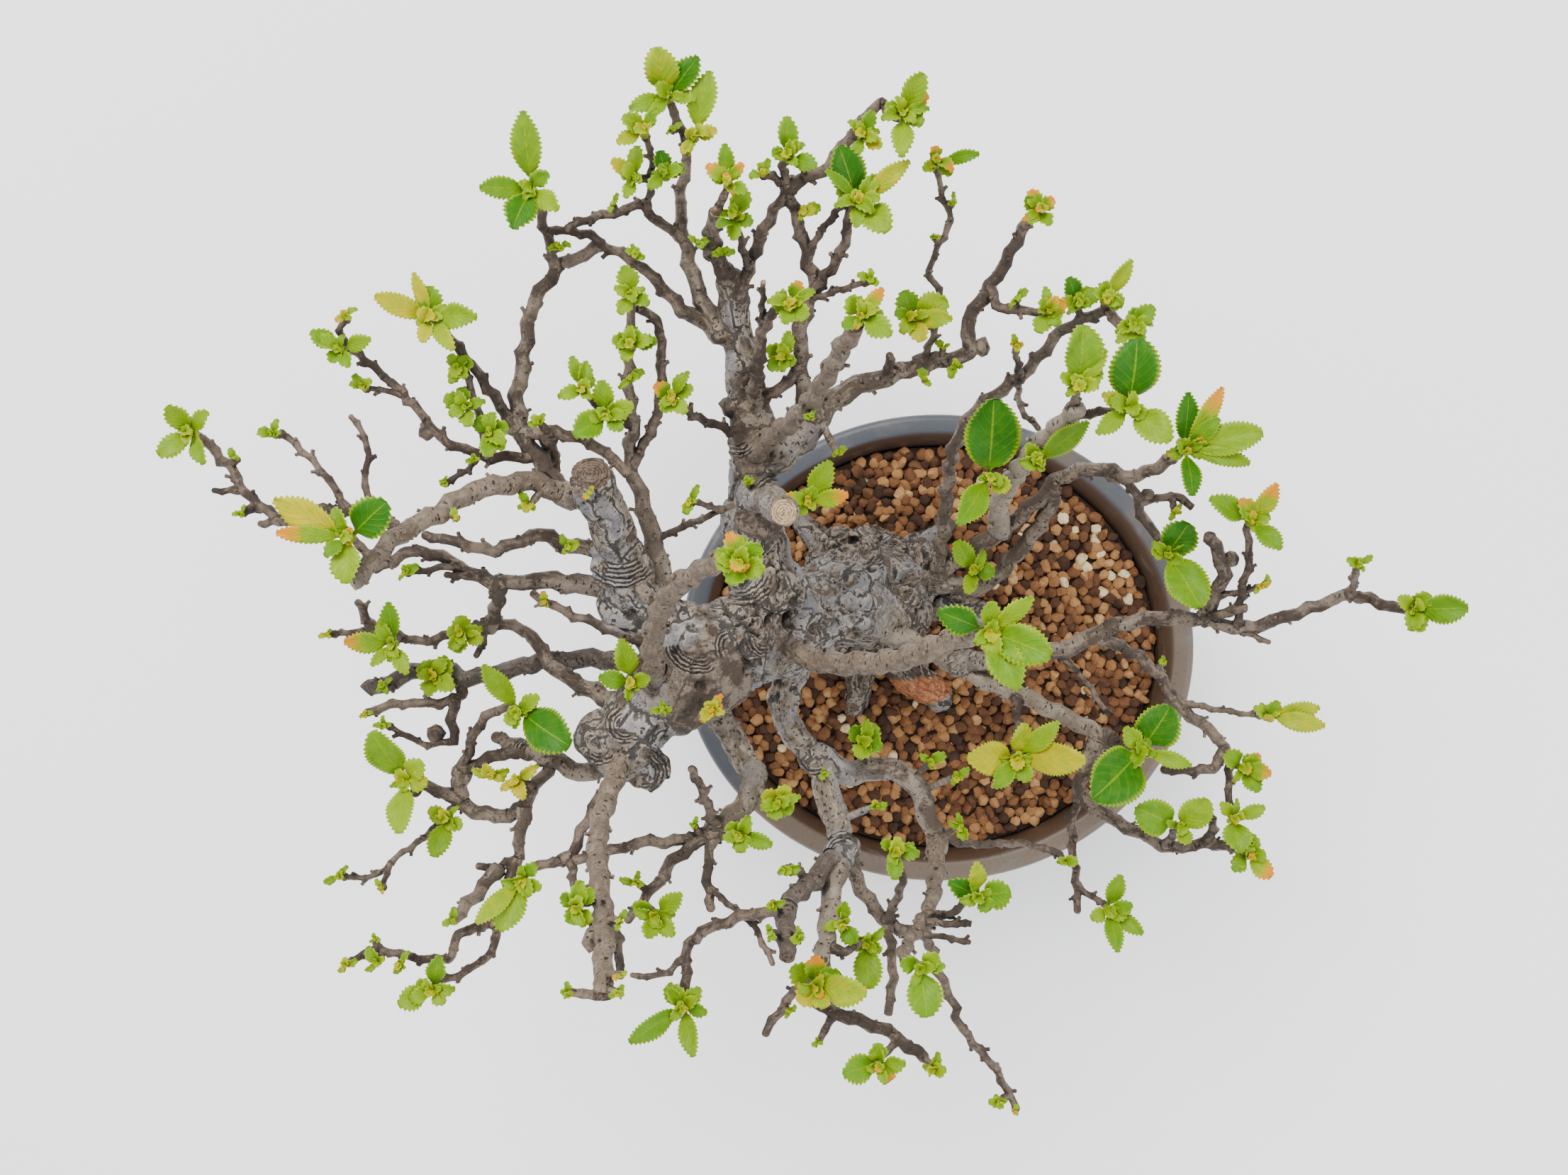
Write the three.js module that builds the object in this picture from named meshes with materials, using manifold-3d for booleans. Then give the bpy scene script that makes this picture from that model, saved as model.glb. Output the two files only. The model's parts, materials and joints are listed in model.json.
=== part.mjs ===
// Chinese quince bonsai in a shallow oval pot, in spring bud.
// Units are millimetres, +Z is up, and the pot's feet stand on z = 0.
import * as THREE from "three";
import Module from "manifold-3d";

const wasm = await Module();
wasm.setup();

// Pot
const POT_LENGTH = 211;
const POT_WIDTH = 192;
const POT_HEIGHT = 70;
const POT_SIDES = 32;
const LIP_WIDTH = 12;
const FOOT_HEIGHT = 9;
const FOOT_RADIUS = 13;
const FOOT_SPREAD = 0.62;
const DRAIN_RADIUS = 8;
const DRAIN_OFFSET = 38;
const FLOOR_TOP = 16;

// Soil
const SOIL_TOP = 61;
const SOIL_MOUND = 4;
const GRAIN_PITCH = 9;
const GRAIN_RELIEF = 1.3;
const SEAT_GAP = 0.3;
const HOLE_GAP = 0.35;

// Leaves
const BLADE_THICKNESS = 0.7;
const BLADE_ROOT = 0.5;
const TOOTH_DEPTH = 0.16;
const CORE_RADIUS = 1.7;
const CORE_HEIGHT = 4;
const FIRST_LEAF = 0.8;
const LEAF_PITCH = 0.75;
const SPUR_DIAMETER = 2.4;
const SMALLEST_LEAF = 27;
const MOST_LEAVES = 4;
const SMALL_HEAD = 24;
const TOOTHED_LENGTH = 16;
const PLAIN_LENGTH = 8;
const NODE_SPROUTS = 57;
const LINE_TOLERANCE = 1.4;

// The plan of the tree was traced by hand in a straight-down view. A traced point is given as
// [across, down] in that view, and a third number, where there is one, is its height in mm.
const VIEW_ACROSS = 1106;
const VIEW_DOWN = 829;
const VIEW_FOCAL = 2108;
const VIEW_HEIGHT = 682;
const POT_ACROSS = 1323;
const POT_DOWN = 914;

// Each limb: name, the limb that it grows from, its diameters in mm spread evenly from base to tip,
// and its traced line. The first point is moved onto the parent's middle line.
const LIMBS = [
  ["trunk", null, [47, 40, 36, 33, 31, 29],
    [[1245, 820, 50], [1222, 828, 78], [1190, 840, 105], [1130, 880, 142], [1070, 900, 165],
      [1010, 915, 188]]],
  ["root_flare", "trunk", [40, 24], [[1245, 820, 52], [1205, 805, 78]]],
  ["root_north", "trunk", [19, 9], [[1222, 828, 70], [1165, 772, 68], [1130, 735, 61]]],
  ["root_northeast", "trunk", [17, 7], [[1245, 820, 60], [1300, 770, 65], [1345, 738, 60]]],
  ["root_east", "trunk", [20, 9], [[1245, 820, 60], [1320, 850, 66], [1385, 862, 60]]],
  ["root_southeast", "trunk", [22, 13], [[1245, 820, 60], [1270, 930, 67], [1325, 985, 60]]],
  ["root_south", "trunk", [20, 10], [[1225, 828, 60], [1215, 940, 66], [1205, 1000, 60]]],
  ["sw_lump", "trunk", [29, 25, 20], [[1010, 915], [960, 960, 193], [905, 1015, 196], [872, 1062, 194]]],

  ["north", "trunk", [23, 21, 19, 15, 12, 10],
    [[1100, 872], [1075, 800, 172], [1062, 740, 178], [1062, 680, 184], [1060, 620, 190],
      [1055, 560, 197], [1045, 500, 204], [1035, 440, 210], [1030, 395, 215]]],
  ["north_cut", "north", [10, 9.4], [[1072, 690], [1106, 722, 222]]],
  ["north_spur", "north", [4, 3], [[1070, 725], [1115, 715], [1138, 712, 205]]],
  ["n_cross", "north", [3, 2.3], [[1040, 615], [985, 590], [958, 570, 215]]],
  ["n_west", "north", [6.5, 4, 3, 2.3],
    [[1040, 480], [1000, 460], [960, 435], [930, 400], [895, 370], [850, 345], [825, 330],
      [775, 325, 234]]],
  ["n_high", "north", [6.2, 5, 4, 3, 2.6],
    [[1038, 470], [1005, 455], [990, 420], [975, 380], [965, 340], [960, 300], [962, 260],
      [970, 225], [965, 195], [948, 150, 230]]],
  ["n_high_left", "n_high", [3.2, 2.8, 2.2],
    [[964, 338], [925, 311], [905, 290], [870, 300], [835, 308], [800, 322, 238]]],
  ["n_high_bud", "n_high_left", [2.2, 1.9], [[912, 298], [920, 230], [912, 195, 242]]],
  ["n_stub", "north", [5, 4.6], [[1030, 395], [1005, 350], [1010, 300, 246]]],
  ["n_mid", "north", [4.2, 3], [[1033, 425], [1055, 380], [1070, 340], [1085, 310], [1112, 265, 236]]],
  ["n_mid_side", "n_mid", [2.5, 2], [[1055, 380], [1045, 340], [1038, 312, 240]]],
  ["n_mid_up", "n_mid", [2.8, 2.2], [[1112, 265], [1104, 238], [1110, 228, 246]]],
  ["n_arch", "n_mid", [3.7, 3.2, 2.8],
    [[1112, 265], [1130, 255], [1165, 237], [1190, 205], [1215, 175], [1240, 148], [1266, 166, 250]]],
  ["n_pencil_limb", "north", [5.2, 4, 2.8],
    [[1060, 590], [1068, 520, 216], [1075, 470, 226], [1092, 438, 240]]],

  ["ne", "north", [9.8, 8.2, 6, 5, 4.2, 3.4],
    [[1064, 660], [1130, 620, 192], [1180, 560, 194], [1240, 535], [1300, 515, 196], [1345, 505],
      [1370, 492], [1365, 460], [1380, 430], [1400, 400], [1420, 368], [1435, 338], [1452, 308, 208]]],
  ["ne_side", "ne", [3.2, 2.6], [[1398, 405], [1412, 433], [1462, 441, 213]]],
  ["ne_thin", "ne", [2.4, 2, 1.8],
    [[1300, 515], [1320, 460], [1325, 415], [1311, 388], [1318, 360], [1335, 325], [1342, 308],
      [1330, 280], [1322, 242, 230]]],
  ["ne_rise", "ne", [5.8, 5, 4, 3.5],
    [[1155, 590], [1135, 560, 202], [1130, 520], [1130, 460], [1148, 405], [1140, 370], [1130, 325],
      [1112, 268, 235]]],
  ["ne_rise_link", "north", [4, 3.4], [[1056, 575], [1095, 550, 204], [1130, 522, 207]]],
  ["ne_rise_right", "ne_rise", [3.3, 2.8],
    [[1148, 408], [1175, 375], [1190, 345], [1200, 292, 242]]],
  ["tall_brown", "north", [6.2, 5.4, 4.8],
    [[1061, 650], [1080, 622, 204], [1110, 600, 222], [1145, 565, 243], [1175, 515, 264],
      [1195, 480, 277], [1207, 458, 285]]],

  ["nw_cut", "trunk", [20, 17, 14, 13.5],
    [[1010, 915], [945, 893, 193], [905, 845, 199], [880, 790, 208], [860, 740, 219],
      [840, 690, 231], [834, 670, 236]]],
  ["nw", "nw_cut", [6.5, 5.2], [[848, 712], [815, 705, 214], [790, 690], [765, 655], [728, 603, 217]]],
  ["nw_up", "nw", [4.8, 4.3, 3.6],
    [[730, 606], [730, 560], [737, 515], [745, 460], [752, 430], [770, 402], [790, 375],
      [830, 357], [848, 347, 226]]],
  ["nw_up_bud", "nw_up", [3.2, 2.6], [[785, 380], [778, 352], [763, 305], [755, 280, 242]]],
  ["nw_left", "nw", [3.6, 2.8], [[728, 603], [690, 550], [665, 515], [648, 495], [618, 453, 236]]],
  ["nw_low", "nw", [3.4, 2.8, 2.2],
    [[757, 645], [690, 645], [655, 633], [622, 618], [600, 590], [570, 558], [535, 525],
      [505, 500], [486, 492, 234]]],
  ["nw_low_up", "nw_low", [2.8, 2.2], [[688, 645], [672, 575], [655, 520, 228]]],
  ["nw_right", "nw", [4.2, 3.2],
    [[733, 610], [790, 612], [830, 623], [860, 645], [884, 668, 224]]],
  ["nw_right_stub", "nw_right", [5, 4.8], [[775, 611], [777, 655, 206]]],
  ["west_blunt", "nw", [6.5, 6, 5.4, 4.8],
    [[812, 704], [750, 680, 222], [700, 686, 232], [660, 697], [625, 720], [595, 738],
      [565, 752, 254], [530, 787], [497, 822, 270]]],
  ["west_far", "west_blunt", [3.3, 3, 2.8],
    [[567, 751], [530, 733, 250], [500, 722], [460, 720], [420, 728], [395, 733], [370, 715],
      [345, 695], [332, 668], [310, 645], [288, 621, 236]]],
  ["west_far_twig", "west_far", [2.3, 1.8], [[492, 722], [460, 672], [430, 640], [400, 612, 246]]],
  ["west_bare", "west_far", [2.2, 1.6],
    [[520, 730], [518, 700], [515, 665], [520, 640], [512, 612], [495, 588, 256]]],
  ["mid_north", "nw_cut", [9, 6.5, 4.4, 3.4, 2.7],
    [[940, 885], [930, 800, 194], [915, 740], [900, 690], [888, 650], [893, 600], [887, 550],
      [887, 500], [890, 438, 232]]],
  ["mid_north_twin", "mid_north", [3.2, 2.7],
    [[892, 660], [922, 600], [930, 560], [933, 500], [928, 455], [900, 436, 230]]],
  ["mid_north_leaf", "mid_north", [2.6, 2], [[893, 600], [862, 592], [838, 570], [826, 555, 224]]],

  ["west", "nw_cut", [10, 7, 5, 4, 3.3],
    [[930, 880], [880, 840, 192], [820, 826], [760, 820], [705, 823], [670, 812], [640, 795],
      [600, 778], [570, 783], [530, 803, 206]]],
  ["west_upper", "nw_cut", [5.4, 4, 3],
    [[874, 776], [810, 772, 206], [760, 755], [730, 766], [690, 777], [650, 766], [600, 755, 216]]],
  ["west_link", "west", [4.6, 4.2], [[705, 823], [700, 855, 190], [693, 888, 178]]],
  ["west_low", "sw_lump", [6.8, 5, 3.4],
    [[900, 1018], [860, 988, 186], [820, 967], [785, 945], [762, 918], [745, 893], [697, 877, 178]]],
  ["west_low_end", "west_low", [3.4, 3, 2],
    [[700, 878], [665, 887], [640, 893], [600, 905], [545, 893], [500, 892], [475, 895, 184]]],
  ["west_dark", "sw_lump", [7.6, 6.4, 5.8, 5.4],
    [[960, 960], [880, 935, 178], [830, 930, 172], [770, 933], [710, 947], [660, 957], [620, 943],
      [590, 946], [550, 962], [517, 975, 168]]],
  ["west_orange", "west_dark", [3.4, 2.8],
    [[652, 955], [645, 985, 172], [600, 993], [560, 993], [520, 1005, 178]]],
  ["west_hook", "west_orange", [3.6, 3.2], [[642, 987], [638, 1010], [640, 1050, 170]]],
  ["southwest", "sw_lump", [7.6, 6, 4.2],
    [[880, 1052], [830, 1090, 184], [790, 1077], [750, 1060], [700, 1040, 178]]],
  ["sw_fork", "southwest", [4.4, 4], [[738, 1057], [690, 1070], [652, 1088, 175]]],
  ["sw_fork_up", "sw_fork", [3.4, 3], [[655, 1087], [668, 1038], [690, 1008], [718, 996, 190]]],
  ["sw_loop", "sw_fork", [5.4, 4.8, 4],
    [[653, 1087], [650, 1130, 172], [690, 1150], [730, 1145], [752, 1112], [778, 1080, 180]]],
  ["sw_loop_left", "sw_loop", [4.3, 3.7], [[650, 1128], [600, 1110], [585, 1118, 180]]],
  ["sw_down", "sw_loop", [4.8, 3.6, 2.5],
    [[738, 1136], [735, 1175], [728, 1210, 176], [700, 1226], [675, 1222, 180]]],
  ["sw_far", "sw_loop", [2.5, 2, 1.8],
    [[650, 1130], [598, 1182], [565, 1205], [530, 1235], [488, 1238, 188]]],
  ["mid_west", "trunk", [4.2, 3, 2.6],
    [[1008, 915], [940, 915, 199], [878, 897, 203], [840, 880], [800, 865], [752, 838, 200]]],
  ["close_brown", "sw_lump", [6.8, 6, 5.4, 5],
    [[940, 980], [922, 930, 214], [925, 880, 232], [945, 840, 250], [985, 805, 270], [1032, 788, 288]]],
  ["close_orange", "sw_lump", [3.8, 3.2], [[975, 945], [995, 985, 204], [1003, 1000, 210]]],

  ["sw_tall", "sw_lump", [7, 6, 5.6, 5.3],
    [[882, 1050], [862, 1110, 214], [845, 1170, 232], [845, 1230, 248], [850, 1290, 263],
      [852, 1350, 276], [850, 1405, 286]]],
  ["sw_inner", "sw_lump", [4.2, 3.8, 3.6],
    [[915, 1005], [900, 1045, 182], [870, 1090, 180], [835, 1145, 182], [803, 1212, 188]]],
  ["sw_inner_end", "sw_inner", [3.6, 2.8], [[805, 1208], [745, 1228, 192]]],
  ["sw_inner_down", "sw_inner", [3, 2.6], [[803, 1210], [812, 1262, 194]]],
  ["sw_spur", "sw_down", [4.8, 3.8], [[702, 1225], [672, 1262, 186], [640, 1298, 194]]],
  ["sw_end_link", "sw_down", [3.8, 3.4], [[728, 1212], [712, 1262, 180], [690, 1300, 182]]],
  ["sw_end_left", "sw_end_link", [3.4, 2.8, 2.3],
    [[690, 1300], [650, 1318], [632, 1352], [590, 1352], [530, 1340], [498, 1355, 192]]],
  ["sw_end_right", "sw_end_link", [3, 2.4], [[695, 1298], [700, 1328], [672, 1362], [618, 1388, 190]]],

  ["south", "trunk", [11, 9, 7],
    [[1020, 912], [1000, 975, 182], [1045, 1060, 178], [1065, 1100, 178], [1045, 1140, 180],
      [1010, 1172, 183]]],
  ["south_west", "south", [3.9, 3.3],
    [[1012, 1170], [960, 1186], [900, 1190], [850, 1205], [812, 1214, 190]]],
  ["south_low", "south", [4.8, 3], [[1012, 1170], [955, 1210], [925, 1250], [886, 1298, 194]]],
  ["south_down", "south", [3.3, 3], [[1012, 1170], [998, 1220], [1003, 1282, 192]]],
  ["se_main", "trunk", [12, 10.5, 9.5, 9],
    [[1130, 880], [1118, 930, 144], [1105, 980, 148], [1115, 1030, 151], [1150, 1070, 155],
      [1165, 1110, 160], [1180, 1160, 165], [1190, 1200, 170]]],
  ["se_dark", "se_main", [7.4, 5.6, 4.8],
    [[1188, 1194], [1155, 1235, 184], [1120, 1265, 202], [1108, 1292, 216], [1110, 1350, 240]]],
  ["se_dark_left", "se_dark", [3.8, 3.2],
    [[1110, 1285], [1040, 1295, 204], [985, 1320, 202], [970, 1340, 202], [966, 1408, 204]]],
  ["se_light", "se_main", [8.2, 6.5, 5.2], [[1188, 1196], [1175, 1250, 182], [1167, 1310, 192],
    [1158, 1368, 201]]],
  ["se_far", "se_light", [4.8, 4.2, 3.8],
    [[1158, 1366], [1155, 1415, 194], [1200, 1436], [1245, 1452], [1303, 1492, 190]]],
  ["se_far_left", "se_light", [3.4, 2.8], [[1158, 1366], [1120, 1402, 198], [1098, 1430], [1080, 1458, 196]]],
  ["se_right", "se_main", [5.6, 4.6, 4],
    [[1189, 1197], [1215, 1255, 166], [1240, 1288], [1265, 1310], [1300, 1312, 164]]],
  ["se_right_down", "se_right", [3.4, 3], [[1252, 1300], [1260, 1370, 176], [1253, 1430, 186]]],
  ["pot_south", "se_main", [9, 8, 6.6],
    [[1148, 1068], [1200, 1092, 150], [1240, 1083, 148], [1285, 1100], [1305, 1140, 148],
      [1322, 1190, 150]]],
  ["pot_south_end", "pot_south", [6, 4.6, 3.3],
    [[1321, 1186], [1322, 1230, 162], [1310, 1285, 182], [1285, 1325, 200], [1272, 1346, 214]]],
  ["pot_south_leaf", "pot_south_end", [2.7, 2.2], [[1308, 1288], [1335, 1292], [1372, 1266, 200]]],
  ["pot_far", "pot_south_end", [3.4, 2.9, 2.4],
    [[1303, 1297], [1320, 1362, 178], [1345, 1415], [1352, 1442], [1380, 1480], [1405, 1510],
      [1433, 1562, 184]]],
  ["pot_rim_twig", "pot_south", [2.9, 2.4],
    [[1306, 1146], [1350, 1188, 136], [1440, 1190, 128], [1494, 1204, 130]]],
  ["close_east", "trunk", [8.4, 7.4, 6.6, 6.2],
    [[1090, 893], [1150, 931, 188], [1240, 935, 216], [1300, 920, 240], [1360, 896, 262],
      [1386, 888, 272]]],

  ["east", "trunk", [8, 7, 6.4, 6],
    [[1175, 850], [1220, 885, 110], [1290, 905, 112], [1340, 935, 113], [1400, 965, 115],
      [1450, 985, 117], [1510, 1015, 120], [1565, 1045, 122]]],
  ["east_leaf", "east", [3.4, 3], [[1560, 1042], [1604, 1056, 132]]],
  ["east_pot", "east", [3.4, 2.8], [[1432, 978], [1436, 1020, 126], [1434, 1062, 136]]],
  ["east_low", "east", [5.9, 5, 4.4, 3.9],
    [[1552, 1040], [1530, 1085, 118], [1525, 1122, 116], [1560, 1150, 117], [1620, 1182, 119],
      [1655, 1196, 121], [1710, 1190, 125], [1748, 1199, 131]]],
  ["east_low_spur", "east_low", [3.8, 2.7], [[1705, 1190], [1712, 1155, 134]]],
  ["east_low_leaf", "east_low", [3, 2.6], [[1642, 1191], [1660, 1168, 132]]],
  ["east_down", "east_low", [3.3, 2.9], [[1526, 1120], [1512, 1170, 118], [1518, 1240, 122],
    [1520, 1285, 126]]],
  ["east_down_leaf", "east_down", [2.6, 2.2], [[1519, 1244], [1535, 1262, 126], [1556, 1274, 131]]],
  ["far_east", "east", [8, 6.4, 5, 4.4, 3.8],
    [[1345, 937], [1400, 930, 120], [1500, 915, 128], [1550, 893, 132], [1600, 876], [1680, 872, 142],
      [1730, 882], [1760, 886], [1800, 875], [1850, 858, 154], [1905, 840], [1950, 852], [1985, 860, 165]]],
  ["far_east_up", "far_east", [3, 2.5], [[1905, 841], [1912, 812, 172]]],
  ["far_east_knob", "far_east", [5.2, 4.8, 4.2],
    [[1698, 875], [1722, 825, 152], [1725, 800, 158], [1707, 755, 166]]],
  ["far_east_rise", "far_east", [3, 2.5], [[1745, 884], [1752, 830, 158], [1762, 790], [1758, 748, 170]]],
  ["east_fan", "far_east", [4.4, 4], [[1545, 895], [1600, 922, 126], [1635, 952], [1655, 988, 122]]],
  ["east_fan_thin", "east_fan", [2.5, 2], [[1654, 985], [1700, 998, 126], [1775, 1010, 134]]],
  ["east_fan_main", "east_fan", [4.6, 4.2, 3.8], [[1655, 987], [1690, 1018], [1712, 1035],
    [1738, 1074, 126]]],
  ["east_fan_back", "east_fan_main", [3.8, 3.3], [[1728, 1058], [1705, 1085], [1642, 1086, 128]]],
  ["east_fan_end", "east_fan_main", [3, 2.6], [[1737, 1072], [1733, 1110, 130], [1737, 1150, 134]]],

  ["northeast", "trunk", [10, 7.6, 6, 5, 4.2],
    [[1232, 824], [1290, 830, 98], [1350, 790, 108], [1410, 750, 120], [1460, 710, 132],
      [1500, 672, 142], [1555, 662, 150], [1600, 672, 156], [1655, 647, 165]]],
  ["northeast_low", "northeast", [3.5, 3], [[1558, 663], [1600, 690, 148], [1608, 720, 144],
    [1635, 764, 142]]],
  ["northeast_stub", "northeast_low", [3.2, 2.8], [[1606, 708], [1655, 701], [1682, 716, 146]]],
  ["northeast_twin", "northeast", [7.4, 6, 5], [[1310, 817], [1380, 828, 106], [1430, 785, 118],
    [1470, 735, 128], [1490, 690, 138]]],
  ["northeast_pale", "northeast", [7, 6, 5.4],
    [[1412, 748], [1410, 708, 148], [1440, 660, 182], [1475, 618, 210], [1520, 578, 236]]],
  ["northeast_pale_leaf", "northeast_pale", [2.7, 2.3], [[1425, 684], [1396, 674, 182]]],
  ["northeast_pale_up", "northeast_pale", [2.8, 2.4], [[1512, 585], [1519, 552, 242]]],
  ["northeast_pale_end", "northeast_pale", [2.8, 2.4], [[1512, 585], [1584, 579, 236]]],
  ["north_sweep", "northeast", [5, 4.6, 4, 3.5],
    [[1322, 809], [1335, 700, 124], [1345, 635, 140], [1370, 585, 152], [1405, 556], [1440, 530],
      [1465, 505], [1495, 470], [1530, 450, 180], [1560, 440, 184], [1590, 466, 190]]],
];

// Knobs and healed lumps on the wood: traced place, then diameter in mm.
const KNOBS = [
  [1245, 845, 90, 42], [1190, 805, 88, 34], [1290, 802, 82, 26], [1160, 870, 118, 30],
  [1085, 832, 176, 26], [1000, 905, 189, 29], [900, 1020, 198, 23], [850, 1040, 194, 19],
  [915, 1085, 190, 15], [885, 850, 198, 20], [777, 655, 206, 7],
];

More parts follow.
